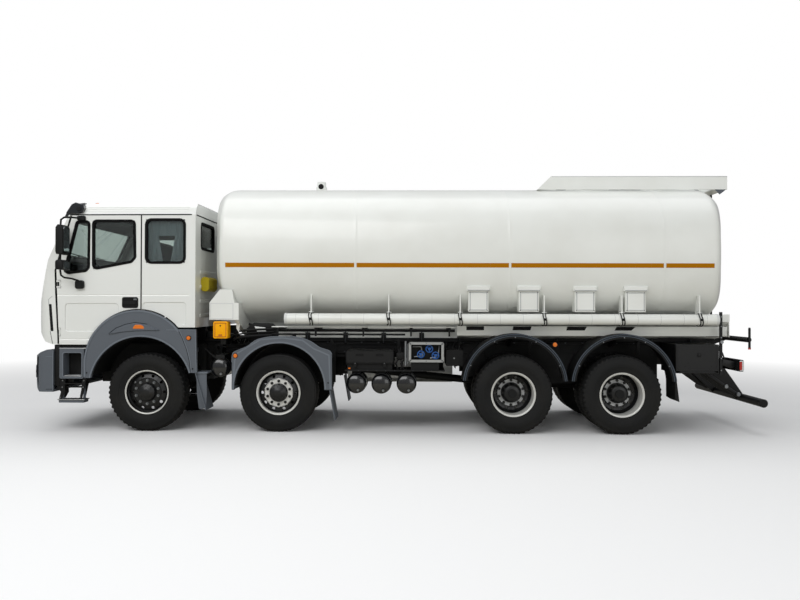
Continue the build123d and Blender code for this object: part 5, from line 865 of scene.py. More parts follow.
cab = Piece("cab_trim", "cab", sharp=40)
for sign in (-1, 1):
    skin = flank(sign, CAB_Y)
    rubber_frame(cab, SIDE_WINDOW, 0.022, 0.014, skin, 0.006, 0.03, 0.075)
    rear_pane = [(sign * 0.61 + a, 2.68 + b)
                 for a, b in ((-0.34, -0.18), (0.34, -0.18), (0.34, 0.18), (-0.34, 0.18))]
    rubber_frame(cab, rear_pane, 0.022, 0.014, back_wall, 0.006, 0.03, 0.06)
    # seals beside the door
    ribbon(cab, [(-0.056, 1.66), (-0.056, SEAM_Z)], 0.016, skin, 0.0015, 0.012, "epdm_rubber")
    ribbon(cab, [(-1.183, 1.19), (-1.186, 1.29), (-1.194, 1.41), (-1.2225, 1.918), (-1.2265, 2.06),
                 (-1.2305, 2.19), (-1.0175, 2.93)], 0.022, skin, 0.0015, 0.012, "epdm_rubber")
    # air slot in the front corner, and the edge of the nose panel as a painted shade line
    slot_line = softened([(-1.290, 1.360), (-1.250, 1.360), (-1.280, 1.728), (-1.318, 1.728)], 0.010, 3)
    plate(cab, slot_line, flank(sign, 1.2195), 0.001, 0.02, "shaded_gap")
    ribbon(cab, [(-1.262, 1.19), (-1.296, 1.36)], 0.007, skin, 0.0008, 0.012, "shaded_gap")
    ribbon(cab, [(-1.318, 1.725), (-1.322, 1.79), (-1.27, 1.835)], 0.006, skin, 0.0006, 0.012, "seam_painted_shade")
    # inner curtains of the rear side windows: a valance and two tied halves
    for outline in ([(0.0, 2.66), (0.55, 2.66), (0.55, 2.90), (0.0, 2.90)],
                    [(0.0, 2.28), (0.225, 2.28), (0.155, 2.66), (0.0, 2.66)],
                    [(0.318, 2.28), (0.55, 2.28), (0.55, 2.66), (0.385, 2.66)]):
        hung_curtain(cab, outline, sign)
    # end caps of the sun visor with their brackets
    cap = softened([(-1.025, 2.985), (-1.018, 3.050), (-0.973, 3.100), (-0.910, 3.090), (-0.889, 3.046),
                    (-0.927, 2.972)], 0.015, 3)
    cab.prism(cap, sign * 1.072, sign * 1.108, "smoked_acrylic", "y", 0.008)
    cab.box((-0.99, sign * 1.085, 2.955), (-0.955, sign * 1.10, 3.06), "black_pp", 0.003)
    # pressed steps along the roof's side
    for z in (2.984, 3.018, 3.052):
        y = CAB_Y - 0.05 * (z - SEAM_Z) / 0.10 if z < 3.045 else CAB_Y - 0.055
        cab.tube([(-0.80, sign * (y - 0.002), z), (0.585, sign * (y - 0.002), z)], 0.0055, "cab_enamel", 6)
    # marker lamps at the roof's front corners
    cab.lathe([(0, 0), (0, 0.035), (0.02, 0.03), (0.028, 0.012), (0.028, 0)], (-0.80, sign * 0.88, 3.118),
              "amber_lens_pc", "z", 20)
# roof lining, seen through the side windows
cab.box((-0.86, -1.08, 2.79), (0.60, 1.08, 2.90), "grey_moulded_trim", 0.02)
# drip rail round the roof, interrupted at the windscreen
rail = [(-1.03, -CAB_Y - 0.001, SEAM_Z - 0.004)]
rail += [(x, y, SEAM_Z) for x, y in arc((0.591, -1.13), 0.0925, -90, 0, 8)]
rail += [(x, y, SEAM_Z) for x, y in arc((0.591, 1.13), 0.0925, 0, 90, 8)]
rail += [(-1.03, CAB_Y + 0.001, SEAM_Z - 0.004)]
cab.tube(rail, 0.0075, "epdm_rubber", steps=8)
# painted shade behind the grille's slats, on the two faces of the nose
for low, high, x_low, x_high in ((1.362, 1.678, -1.463, -1.5047), (1.682, 1.778, -1.5043, -1.4694)):
    slope = (x_high - x_low) / (high - low)
    face = lambda a, b: (Vector((x_low + (b - low) * slope, a, b)), Vector((-1, 0, slope)).normalized())
    plate(cab, [(-0.625, low), (0.625, low), (0.625, high), (-0.625, high)], face, 0.0025, 0.004,
          "shaded_gap")
# windscreen rubber, wipers and their spindles
rubber_frame(cab, [(-1.06, 2.395), (1.06, 2.395), (1.06, 2.89), (-1.06, 2.89)], 0.03, 0.02, nose, 0.006, 0.02,
             0.08)
for y in (-0.62, 0.05, 0.72):
    foot, way = nose(y, 2.31)
    tip, _ = nose(y - 0.42, 2.44)
    cab.lathe([(0, 0), (0, 0.022), (0.03, 0.018), (0.03, 0)], foot - way * 0.004, "black_pp", "x", 16, -1)
    cab.tube([foot + way * 0.018, foot + way * 0.03 + Vector((0, -0.12, 0.03)), tip + way * 0.018], 0.007,
             "black_pp", 8)
    start, end = nose(y - 0.14, 2.425), nose(y - 0.72 if y > -0.5 else y - 0.42, 2.455)
    cab.tube([start[0] + start[1] * 0.012, end[0] + end[1] * 0.012], 0.008, "black_pp", 6)
# grab handles under the windscreen
for sign in (-1, 1):
    a, b = nose(sign * 0.45, 2.25), nose(sign * 0.85, 2.25)
    cab.tube([a[0], a[0] + a[1] * 0.045 + Vector((0, sign * 0.02, 0)),
              b[0] + b[1] * 0.045 - Vector((0, sign * 0.02, 0)), b[0]], 0.011, "black_pp", 10)
# ribs across the back wall
for z in (2.15, 1.95, 1.75, 1.55):
    plate(cab, rounded(-1.0, z, 1.0, z + 0.05, 0.02, 3), back_wall, 0.008, 0.01, "cab_enamel", 0.005)
cab.done()

for side, sign in SIDES:
    skin = flank(sign, CAB_Y)
    door = Piece(f"door_trim_{side}", f"door_{side}", sharp=40)
    rubber_frame(door, MAIN_WINDOW, 0.022, 0.014, skin, 0.006, 0.03, 0.055)
    rubber_frame(door, QUARTER_WINDOW, 0.022, 0.014, skin, 0.006, 0.03, 0.045)
    # handle: a sunk bowl with its grip and a lock
    bowl = rounded(-0.314, 1.677, -0.094, 1.825, 0.03)
    band(door, grown(bowl, -0.012), bowl, skin, 0.007, 0.006, "black_pp")
    plate(door, grown(bowl, -0.010), skin, 0.002, 0.006, "shaded_gap")
    plate(door, rounded(-0.292, 1.722, -0.125, 1.768, 0.012), skin, 0.014, 0.002, "black_pp", 0.004)
    plate(door, rounded(-0.158, 1.783, -0.114, 1.806, 0.006), skin, 0.006, 0.002, "zinc_plated_steel", 0.002)
    # mirror feet
    plate(door, rounded(-0.945, 1.935, -0.830, 2.050, 0.03), skin, 0.055, 0.004, "black_pp", 0.015)
    plate(door, rounded(-0.925, 2.862, -0.815, 2.925, 0.02), skin, 0.04, 0.004, "black_pp", 0.01)
    # mirrors: two housings with rolled edges on one bent tube
    mirror = Piece(f"mirror_set_{side}", f"door_{side}", sharp=40)
    big = softened([(-1.096, 2.425), (-1.086, 2.388), (-0.995, 2.383), (-0.993, 2.722), (-1.006, 2.777),
                    (-1.068, 2.783), (-1.096, 2.742)], 0.015, 3)
    small = softened([(-1.100, 2.185), (-0.993, 2.180), (-0.993, 2.316), (-1.100, 2.312)], 0.03, 3)
    for outline in (big, small):
        mirror.prism(outline, sign * 1.30, sign * 1.522, "black_pp", "y", 0.018)
    upper = [(-0.868, 1.238, 2.890), (-0.965, 1.320, 2.894), (-1.035, 1.392, 2.886), (-1.070, 1.408, 2.855),
             (-1.075, 1.41, 2.76)]
    lower = [(-1.074, 1.41, 2.42), (-1.074, 1.41, 2.17), (-1.066, 1.405, 2.112), (-1.030, 1.388, 2.082),
             (-0.955, 1.330, 2.070), (-0.893, 1.275, 2.045), (-0.872, 1.238, 2.005)]
    for line in (upper, lower):
        mirror.tube([(x, sign * y, z) for x, y, z in line], 0.0125, "black_pp", 10)
    mirror.done(replaces=[f"mirrors_{side}"])
    # mirror glasses on the rear faces of the housings
    for z0, z1 in ((2.42, 2.755), (2.195, 2.295)):
        face = [(sign * y, z) for y, z in rounded(1.325, z0, 1.495, z1, 0.03)]
        plate(door, face, end_face(-0.9895, 1), 0.002, 0.003, "silvered_glass")
    door.done()


# ---------------------------------------------------------------- sun visor
outer = [(-1.178, 2.936), (-1.150, 3.000), (-1.105, 3.052), (-1.045, 3.092), (-0.975, 3.116), (-0.903, 3.124)]
inner = [(-0.905, 3.112), (-0.972, 3.104), (-1.038, 3.081), (-1.096, 3.043), (-1.139, 2.993), (-1.166, 2.936)]
visor = Piece("visor_shield", "cab", sharp=40)
visor.prism(outer + inner, -1.0, 1.0, "smoked_acrylic")
cheek = outer + [(-0.878, 3.10), (-0.90, 3.055), (-0.965, 3.022), (-1.03, 2.985), (-1.10, 2.932)]
for sign in (-1, 1):
    plate(visor, cheek, flank(sign, 1.0), 0.075, 0.03, "smoked_acrylic", 0.012)
    plate(visor, rounded(-0.985, 3.02, -0.925, 3.075, 0.02), flank(sign, 1.075), 0.022, 0.004, "black_pp",
          0.008)
# cheeks that wrap the roof's front corners
corner = softened([(-1.085, 2.955), (-1.063, 2.991), (-1.004, 3.080), (-0.949, 3.107), (-0.853, 3.080),
                   (-0.831, 3.031), (-0.848, 2.972), (-0.901, 2.955)], 0.012, 3)
for sign in (-1, 1):
    plate(visor, corner, flank(sign, 1.222), 0.026, 0.13, "smoked_acrylic", 0.008)
    plate(visor, rounded(-0.93, 2.985, -0.868, 3.05, 0.028), flank(sign, 1.247), 0.012, 0.002, "black_pp",
          0.005)
for y in (-0.85, 0.0, 0.85):
    for sign in (-1, 1):
        visor.tube([(-1.05, y + sign * 0.03, 3.085), (-0.93, y + sign * 0.09, 3.05)], 0.01, "black_pp", 8)
visor.done(replaces=["sun_visor"])


# ---------------------------------------------------------------- guards of the front wheels
def curved(points, steps=4):
    """A smooth line through the points."""
    ends = [Vector(points[0]) * 2 - Vector(points[1]), *map(Vector, points),
            Vector(points[-1]) * 2 - Vector(points[-2])]
    out = []
    for a, b, c, d in zip(ends, ends[1:], ends[2:], ends[3:]):
        for i in range(steps):
            t = i / steps
            place = b * 2 + (c - a) * t
            place = place + (a * 2 - b * 5 + c * 4 - d) * t * t
            place = place + (b * 3 - a - c * 3 + d) * t ** 3
            out.append(tuple(place / 2))
    return out + [tuple(points[-1])]


GUARD_Y, REAR_GUARD_Y = 1.25, 1.24
GUARD_2_LINE = [(1.189, 0.588)] + curved([(1.192, 0.95), (1.205, 1.070), (1.28, 1.115), (1.40, 1.165),
                                          (1.515, 1.248), (1.68, 1.291), (1.87, 1.298), (2.08, 1.292),
                                          (2.245, 1.238), (2.375, 1.155), (2.50, 1.113), (2.538, 1.07)])
GUARD_2_LINE.append((2.542, 0.588))
guard = Piece("guard_trim", "chassis", sharp=40)
for sign in (-1, 1):
    face = flank(sign, GUARD_Y)
    # rolled inner lips, and the second guard's plate; painted highlights run along the lips and the plate's
    # edge
    ribbon(guard, arc(GUARD_1, GUARD_1_R + 0.011, 17, 169, 40), 0.022, face, 0.008, 0.006, "slate_pp_painted_highlight")
    ribbon(guard, arc(GUARD_2, GUARD_2_R + 0.011, -1, 181, 40), 0.022, face, 0.008, 0.006, "slate_pp_painted_highlight")
    plate(guard, GUARD_2_LINE + arc(GUARD_2, GUARD_2_R + 0.002, 0, 180, 40), face, 0.005, 0.02, "slate_pp")
    ribbon(guard, GUARD_2_LINE[1:-1], 0.010, face, 0.010, 0.004, "slate_pp_painted_highlight")
    # outer rolled edges, drawn as painted highlight lines
    ribbon(guard, arc((-0.10, 0.93), 0.708, 37, 180, 40) + [(-0.806, 0.745)], 0.022, face, 0.006, 0.006,
           "slate_pp_painted_highlight")
    crown = [(1.205, 0.60), (1.230, 0.975), (1.272, 1.078), (1.405, 1.158), (1.575, 1.257), (1.870, 1.281),
             (2.145, 1.248), (2.292, 1.139), (2.500, 1.050), (2.520, 0.60)]
    ribbon(guard, crown, 0.020, face, 0.006, 0.006, "slate_pp_painted_highlight")
    # joint between the arch and the corner panel behind it: a painted shade line, and painted highlight lines
    # beside it
    ribbon(guard, [(0.462, 1.385), (0.520, 1.265), (0.575, 1.12), (0.612, 0.97), (0.632, 0.81)], 0.008, face,
           0.0012, 0.004, "shaded_gap")
    ribbon(guard, [(0.474, 1.385), (0.531, 1.265), (0.586, 1.12), (0.623, 0.97), (0.643, 0.81)], 0.012, face,
           0.005, 0.004, "slate_pp_painted_highlight")
    ribbon(guard, [(0.30, 1.383), (0.693, 1.383), (0.709, 0.81)], 0.012, face, 0.004, 0.004, "slate_pp_painted_highlight")
    ribbon(guard, [(2.168, 1.235), (2.142, 1.165)], 0.007, face, 0.0015, 0.004, "shaded_gap")
    # brow over the arch lamp
    brow = [(-0.482, 1.318), (-0.430, 1.362), (-0.381, 1.397), (-0.262, 1.445), (-0.126, 1.472),
            (0.044, 1.448), (0.146, 1.403), (0.214, 1.379), (0.06, 1.370), (-0.091, 1.368), (-0.295, 1.350)]
    plate(guard, brow[::-1], face, 0.016, 0.004, "slate_pp", 0.010)
    ribbon(guard, [(-0.482, 1.330), (-0.430, 1.372), (-0.381, 1.408), (-0.262, 1.456), (-0.126, 1.484),
                   (0.044, 1.460)], 0.006, face, 0.002, 0.004, "shaded_gap")
    for x, z in ((-0.78, 0.80), (0.56, 0.86), (1.24, 0.68), (2.49, 0.68), (0.66, 0.86)):
        guard.bolt((x, sign * GUARD_Y, z), 0.011, 0.006, "black_pp", sign=sign)
    # rear wheel guards: rolled rim, its two outer lines a painted highlight
    for centre in REAR_GUARDS:
        edge = flank(sign, REAR_GUARD_Y)
        ribbon(guard, arc(centre, 0.695, 6, 174, 48), 0.012, edge, 0.007, 0.004, "guard_rim_painted_highlight")
        ribbon(guard, arc(centre, 0.672, 6, 174, 48), 0.010, edge, 0.004, 0.004, "guard_rim_painted_highlight")
        ribbon(guard, arc(centre, 0.652, 7, 173, 48), 0.012, edge, 0.004, 0.004, "black_pp")
        for a in (25, 65, 90, 115, 155):
            x, z = arc(centre, 0.655, a, a, 1)[0]
            guard.bolt((x, sign * REAR_GUARD_Y, z), 0.008, 0.005, "zinc_plated_steel", sign=sign)
    # hanging flap behind the front wheel, seen from its side edge
    flap = softened([(0.698, 0.800), (0.838, 0.800), (0.842, 0.522), (0.834, 0.330), (0.736, 0.306),
                     (0.707, 0.521)], 0.02, 3)
    guard.prism(flap, sign * 1.196, sign * 1.210, "slate_pp", "y", 0.003)
    # the rail over the flap, in the painted highlight colour
    guard.box((0.686, sign * 0.90, 0.792), (0.850, sign * 1.222, 0.812), "slate_pp_painted_highlight", 0.004)
    # black liners in the arches and aprons beside the frame
    for centre, radius, start, end in ((GUARD_1, GUARD_1_R - 0.004, 18, 165),
                                       (GUARD_2, GUARD_2_R - 0.004, 3, 177)):
        guard.prism(arc(centre, radius, start, end, 30) + arc(centre, radius - 0.008, end, start, 30),
                    sign * 0.62, sign * 1.222, "black_pp", "y")
    for x0, x1, z0, y in ((-0.84, 0.66, 0.62, 0.560), (1.22, 2.52, 0.62, 0.560), (4.34, 7.12, 0.70, 0.455)):
        guard.box((x0, sign * y, z0), (x1, sign * (y + 0.012), 1.165), "black_pp")
    # marker lamp between the rear guards, on its arm
    guard.box((5.516, sign * 0.46, 1.185), (5.546, sign * 1.19, 1.215), "black_pp")
    guard.lathe([(0, 0), (0, 0.036), (0.010, 0.036), (0.012, 0.030), (0.012, 0)], (5.531, sign * 1.19, 1.20),
                "black_pp", "y", 28, sign)
    guard.lathe([(0.012, 0), (0.012, 0.030), (0.020, 0.026), (0.024, 0.012), (0.024, 0)],
                (5.531, sign * 1.19, 1.20), "amber_lens_pc", "y", 28, sign)
guard.done()


# ---------------------------------------------------------------- lamps
lamp = Piece("lamp_set", "chassis", sharp=35)
for sign in (-1, 1):
    # head lamps behind a clear cover
    outline = [(sign * 1.0 + a, 0.81 + b) for a, b in rounded(-0.139, -0.089, 0.139, 0.089, 0.02)]
    plate(lamp, outline, end_face(BUMPER_FACE, -1), -0.004, 0.0795, "black_pp")
    r = 0.058
    for y in (-0.068, 0.068):
        centre = (-1.5255, sign * 1.0 + y, 0.81)
        lamp.lathe([(0, 0), (0, r), (0.005, r), (0.009, r * 0.6), (0.011, 0)], centre, "clear_lens_pc", "x",
                   28, -1)
        lamp.lathe([(0, r), (0, r + 0.007), (0.007, r + 0.007), (0.007, r)], centre, "zinc_plated_steel", "x",
                   28, -1)
    # orange lamps on the guards
    body = softened([(-0.172, 1.394), (0.010, 1.394), (-0.006, 1.432), (-0.040, 1.452), (-0.118, 1.452)],
                    0.02, 3)
    plate(lamp, body, flank(sign, GUARD_Y), 0.022, 0.0, "amber_lens_pc", 0.008)
    for x, z in ((0.604, 1.275), (1.239, 1.039)):
        lamp.lathe([(0, 0), (0, 0.034), (0.010, 0.034), (0.012, 0.027), (0.012, 0)], (x, sign * GUARD_Y, z),
                   "black_pp", "y", 28, sign)
        lamp.lathe([(0.012, 0), (0.012, 0.027), (0.019, 0.024), (0.022, 0.012), (0.022, 0)],
                   (x, sign * GUARD_Y, z), "amber_lens_pc", "y", 28, sign)
    # tail lamps: black housing, red and white lenses facing back, a red one on the outer end
    lamp.prism([(sign * 0.65, 0.852), (sign * 1.2295, 0.852), (sign * 1.2295, 1.008), (sign * 0.65, 1.008)],
               7.966, 8.030, "black_pp", "x", 0.012)
    for y0, y1, look in ((0.67, 0.80, "clear_lens_pc"), (0.81, 0.94, "amber_lens_pc"),
                         (0.95, 1.21, "red_lens_pc")):
        cell = rounded(min(sign * y0, sign * y1), 0.866, max(sign * y0, sign * y1), 0.994, 0.012, 3)
        plate(lamp, cell, end_face(8.030, 1), 0.009, 0.004, look, 0.004)
    end = flank(sign, 1.2295)
    plate(lamp, rounded(7.975, 0.862, 8.026, 0.998, 0.008, 3), end, 0.006, 0.004, "clear_lens_pc", 0.003)
    plate(lamp, rounded(7.972, 0.872, 8.004, 0.985, 0.006, 3), end, 0.0095, 0.004, "red_lens_pc", 0.003)
lamp.done(replaces=["lamps"])


# ---------------------------------------------------------------- steps and bumper
step = Piece("step_trim", "chassis", sharp=35)
for sign in (-1, 1):
    face = flank(sign, 1.235)
    back = flank(sign, 1.06)
    recess = rounded(-1.105, 0.748, -0.860, 1.065, 0.02, 3)
    # a painted highlight round the step's recess
    band(step, grown(recess, 0.004), grown(recess, 0.016), face, 0.006, 0.003, "slate_pp_painted_highlight")
    # painted shade: a black plate on the recess's back wall
    plate(step, rounded(-1.103, 0.750, -0.862, 1.063, 0.018, 3), back, 0.004, 0.002, "black_pp")
    step.box((-1.10, sign * 1.07, 0.7485), (-0.865, sign * 1.234, 0.760), "mill_aluminium", 0.003)
    for k in range(5):
        step.box((-1.095, sign * (1.09 + k * 0.03), 0.760), (-0.870, sign * (1.098 + k * 0.03), 0.764),
                 "mill_aluminium")
    step.box((-1.165, sign * 1.10, 1.126), (-0.80, sign * 1.2365, 1.133), "white_abs", 0.003)
    # painted shade: black blocks filling the gap under the cab and between the bumper and the step box
    step.box((-1.235, sign * 0.80, 1.137), (-0.70, sign * 1.195, 1.176), "black_pp", 0.003)
    step.box((-1.238, sign * 0.80, 0.62), (-1.163, sign * 1.215, 1.176), "black_pp", 0.003)
    # folding lower step: tread with holes, two links with their bolts
    step.box((-1.185, sign * 1.065, 0.4285), (-0.815, sign * 1.238, 0.440), "mill_aluminium", 0.004)
    for i in range(7):
        for k in range(3):
            step.lathe([(0, 0), (0, 0.013), (0.003, 0.010), (0.003, 0)],
                       (-1.155 + i * 0.052, sign * (1.10 + k * 0.05), 0.440), "shaded_gap", "z", 12)
    front_link = [(-1.175, 0.445), (-1.140, 0.445), (-1.095, 0.525), (-1.100, 0.715), (-1.150, 0.715),
                  (-1.205, 0.590), (-1.150, 0.540)]
    rear_link = [(-0.895, 0.445), (-0.862, 0.445), (-0.820, 0.640), (-0.800, 0.715), (-0.860, 0.715),
                 (-0.872, 0.560)]
    for link in (front_link, rear_link):
        for y in (1.085, 1.195):
            step.prism(link, sign * y, sign * (y + 0.012), "black_pp", "y")
    for x, z in ((-1.155, 0.465), (-1.13, 0.60), (-1.125, 0.69), (-0.878, 0.465), (-0.845, 0.60),
                 (-0.835, 0.69)):
        step.bolt((x, sign * 1.207, z), 0.010, 0.007, "zinc_plated_steel", sign=sign)
    step.tube([(-1.13, sign * 1.15, 0.60), (-0.845, sign * 1.15, 0.60)], 0.012, "black_pp", 8)
    step.box((-1.17, sign * 1.06, 0.640), (-0.83, sign * 1.21, 0.656), "black_pp", 0.004)
    # bumper: fog lamp in its ring, and the lines on its side: one painted shade, two painted highlights
    step.lathe([(0, 0), (0, 0.045), (0.006, 0.042), (0.012, 0.02), (0.012, 0)], (-1.50, sign * 0.80, 0.655),
               "clear_lens_pc", "x", 28, -1)
    step.lathe([(-0.01, 0.045), (-0.01, 0.055), (0.010, 0.055), (0.010, 0.045)], (-1.50, sign * 0.80, 0.655),
               "black_pp", "x", 28, -1)
    side_face = flank(sign, 1.24)
    ribbon(step, [(-1.250, 0.575), (-1.340, 0.575)], 0.006, side_face, 0.001, 0.004, "shaded_gap")
    ribbon(step, [(-1.248, 0.56), (-1.248, 1.10)], 0.010, side_face, 0.004, 0.004, "slate_pp_painted_highlight")
    ribbon(step, [(-1.250, 1.018), (-1.345, 1.018)], 0.008, side_face, 0.003, 0.004, "slate_pp_painted_highlight")
# blank plate
plate(step, rounded(-0.262, 0.795, 0.262, 0.910, 0.012, 3), end_face(BUMPER_FACE, -1), 0.005, 0.003,
      "white_abs", 0.002)
step.done()


# ---------------------------------------------------------------- tank's fittings on the flanks
fit = Piece("tank_trim", "chassis", sharp=40)
TUBE_Y, TUBE_Z = 1.185, 1.54
STRAPS = (2.25, 3.30, 4.262, 5.388, 6.425, 7.458)
for sign in (-1, 1):
    # pipe carriers: end cap, joint rings as painted shade lines, straps with their buckles
    for x in (1.897, 7.700):
        fit.lathe([(-0.03, 0.0735), (-0.03, 0.0765), (0.004, 0.0765), (0.007, 0.070), (0.007, 0), (-0.03, 0)],
                  (x, sign * TUBE_Y, TUBE_Z), "white_abs", "x", 40, 1 if x > 5 else -1)
    for k in range(19):
        x = 2.05 + k * 0.305
        if min(abs(x - s) for s in STRAPS) > 0.06:
            fit.lathe([(-0.0012, 0.072), (-0.0012, 0.0737), (0.0012, 0.0737), (0.0012, 0.072)],
                      (x, sign * TUBE_Y, TUBE_Z), "seam_painted_shade", "x", 40)
    for x in STRAPS:
        for dx in (-0.016, 0.016):
            loop = [(x + dx + 0.010 * math.sin(2 * a), sign * TUBE_Y + 0.0865 * math.cos(a),
                     TUBE_Z + 0.0865 * math.sin(a)) for a in angles(28)]
            fit.tube(loop, 0.0070, "black_pp", 6, closed=True)
        fit.box((x - 0.022, sign * (TUBE_Y + 0.078), TUBE_Z - 0.016),
                (x + 0.022, sign * (TUBE_Y + 0.094), TUBE_Z + 0.016), "black_pp", 0.004)
        fit.box((x - 0.03, sign * (TUBE_Y - 0.02), TUBE_Z + 0.083),
                (x + 0.03, sign * (TUBE_Y + 0.025), TUBE_Z + 0.098), "tank_enamel", 0.003)
        fit.bolt((x + 0.018, sign * (TUBE_Y + 0.025), TUBE_Z + 0.09), 0.007, 0.006, "zinc_plated_steel",
                 sign=sign)
    # plates over the outriggers with folded rims and a painted shade line inside, gutters above them with a
    # painted shade line low along them
    for x in OUTRIGGERS:
        face = flank(sign, 1.185)
        outline = rounded(x - 0.128, 1.648, x + 0.128, 1.912, 0.012, 3)
        plate(fit, outline, face, 0.009, 0.004, "tank_enamel", 0.006)
        band(fit, grown(outline, -0.020), grown(outline, -0.012), face, 0.013, 0.002, "seam_painted_shade")
        outline = rounded(x - 0.155, 1.922, x + 0.155, 1.988, 0.03, 5)
        plate(fit, outline, flank(sign, 1.205), 0.012, 0.004, "tank_enamel", 0.008)
        ribbon(fit, [(x - 0.145, 1.928), (x + 0.145, 1.928)], 0.010, flank(sign, 1.205), 0.016, 0.002,
               "seam_painted_shade")
    # upright face of the skirt and the openings in it
    fit.box((4.228, sign * 0.985, 1.312), (7.900, sign * 0.993, 1.442), "tank_enamel", 0.002)
    for x0, x1, slant in ((4.358, 4.599, 0.0), (4.998, 5.250, 0.018), (5.737, 6.002, 0.03),
                          (6.407, 6.665, 0.06)):
        plate(fit, [(x0 - slant * 0.5, 1.386), (x1 - slant, 1.386), (x1, 1.438), (x0, 1.438)],
              flank(sign, 0.993), 0.0015, 0.002, "shaded_gap")
    # valance strip between the saddle and the skirt, rods and clips below it
    fit.box((1.70, sign * 1.085, 1.420), (4.20, sign * 1.115, 1.434), "tank_enamel", 0.003)
    for x in (1.78, 2.30, 2.95, 3.60, 4.12):
        fit.box((x - 0.02, sign * 0.44, 1.385), (x + 0.02, sign * 1.10, 1.420), "black_pp", 0.003)
        fit.box((x - 0.012, sign * 1.075, 1.30), (x + 0.012, sign * 1.105, 1.39), "black_pp", 0.003)
    fit.tube([(1.62, sign * 1.02, 1.378), (4.20, sign * 1.02, 1.378)], 0.020, "black_pp", 10)
    fit.tube([(1.70, sign * 1.09, 1.325), (3.52, sign * 1.09, 1.325)], 0.013, "black_pp", 8)
    fit.tube([(1.36, sign * 0.98, 1.46), (1.62, sign * 1.0, 1.40), (1.75, sign * 1.02, 1.378)], 0.018,
             "black_pp", 8)
    # saddle: folded edges and the gusset behind it
    face = flank(sign, 1.20)
    ribbon(fit, [(0.885, 1.535), (0.885, 1.742), (1.190, 1.742), (1.190, 1.535), (0.885, 1.535)], 0.010, face,
           0.004, 0.003, "white_abs")
    fit.prism([(1.173, 1.749), (1.264, 1.509), (1.240, 1.350), (1.206, 1.400), (1.206, 1.500), (1.173, 1.53)],
              sign * 1.05, sign * 1.066, "tank_enamel", "y")
    # black cross pipes, a hose bundle and a white fitting in front of the subframe's toe
    fit.box((1.34, sign * 0.96, 1.27), (1.76, sign * 1.045, 1.405), "black_pp", 0.01)
    fit.prism([(1.340, 1.400), (1.760, 1.400), (1.700, 1.470), (1.440, 1.480)], sign * 0.98, sign * 1.035,
              "black_pp", "y", 0.004)
    fit.prism([(1.451, 1.430), (1.600, 1.415), (1.612, 1.345), (1.500, 1.335)], sign * 1.035, sign * 1.060,
              "white_abs", "y", 0.006)
    fit.lathe([(0, 0), (0, 0.024), (0.01, 0.024), (0.01, 0)], (0.955, sign * 1.0, 1.50), "zinc_plated_steel",
              "z", 16)
# vent on the roof: a low hat, and the eye in its stem
fit.lathe([(0, 0), (0, 0.105), (0.012, 0.105), (0.018, 0.085), (0.018, 0)], (2.239, 0, 3.432), "tank_enamel",
          "z", 32)
fit.lathe([(0, 0.018), (0, 0.040), (0.004, 0.040), (0.004, 0.018)], (2.239, -0.0802, 3.50), "black_pp", "y",
          24, -1)
fit.lathe([(0, 0), (0, 0.030), (0.003, 0.026), (0.003, 0)], (2.239, -0.080, 3.50), "shaded_gap", "y", 24, -1)
fit.done()

# walkway, rail and small gussets of the coaming
top = Piece("coaming_trim", "chassis", sharp=35)
for sign in (-1, 1):
    top.box((5.61, sign * 0.497, 3.571), (8.104, sign * 0.503, 3.582), "coaming_primer", 0.002)
    top.prism([(7.93, 3.392), (8.075, 3.392), (8.075, 3.378), (8.0, 3.320)], sign * 0.49, sign * 0.498,
              "slate_pp", "y")
for k in range(12):
    x = 5.80 + k * 0.155
    if min(abs(x - 6.25), abs(x - 7.25)) > 0.30:
        for y in (-0.18, 0.18):
            top.box((x - 0.055, y - 0.10, 3.415), (x + 0.055, y + 0.10, 3.448), "mill_aluminium", 0.003)
top.done()


# ---------------------------------------------------------------- boxes and air tanks
box = Piece("side_box_trim", "chassis", sharp=38)
face = flank(-1, 1.10)
# battery box lid: bead, two clips, handle hollows
plate(box, rounded(2.712, 0.935, 3.363, 1.104, 0.028, 4), face, 0.010, 0.004, "black_powder_coat", 0.008)
ribbon(box, [(2.712, 0.926), (3.363, 0.926)], 0.006, face, 0.002, 0.004, "shaded_gap")
for x in (2.90, 3.175):
    plate(box, rounded(x - 0.055, 1.030, x + 0.055, 1.062, 0.008, 3), face, 0.013, 0.002, "shaded_gap", 0.002)
for x in (2.84, 3.24):
    plate(box, rounded(x - 0.022, 0.880, x + 0.022, 0.952, 0.006, 3), face, 0.016, 0.020, "black_pp", 0.004)
    box.bolt((x, -1.116, 0.935), 0.006, 0.005, "zinc_plated_steel", sign=-1)
plate(box, rounded(2.745, 0.853, 2.775, 0.872, 0.004, 3), flank(-1, 1.08), 0.012, 0.002, "amber_lens_pc",
      0.003)
box.prism([(2.70, 0.826), (4.06, 0.826), (4.06, 0.841), (2.70, 0.841)], -1.104, -1.098, "black_powder_coat",
          "y")
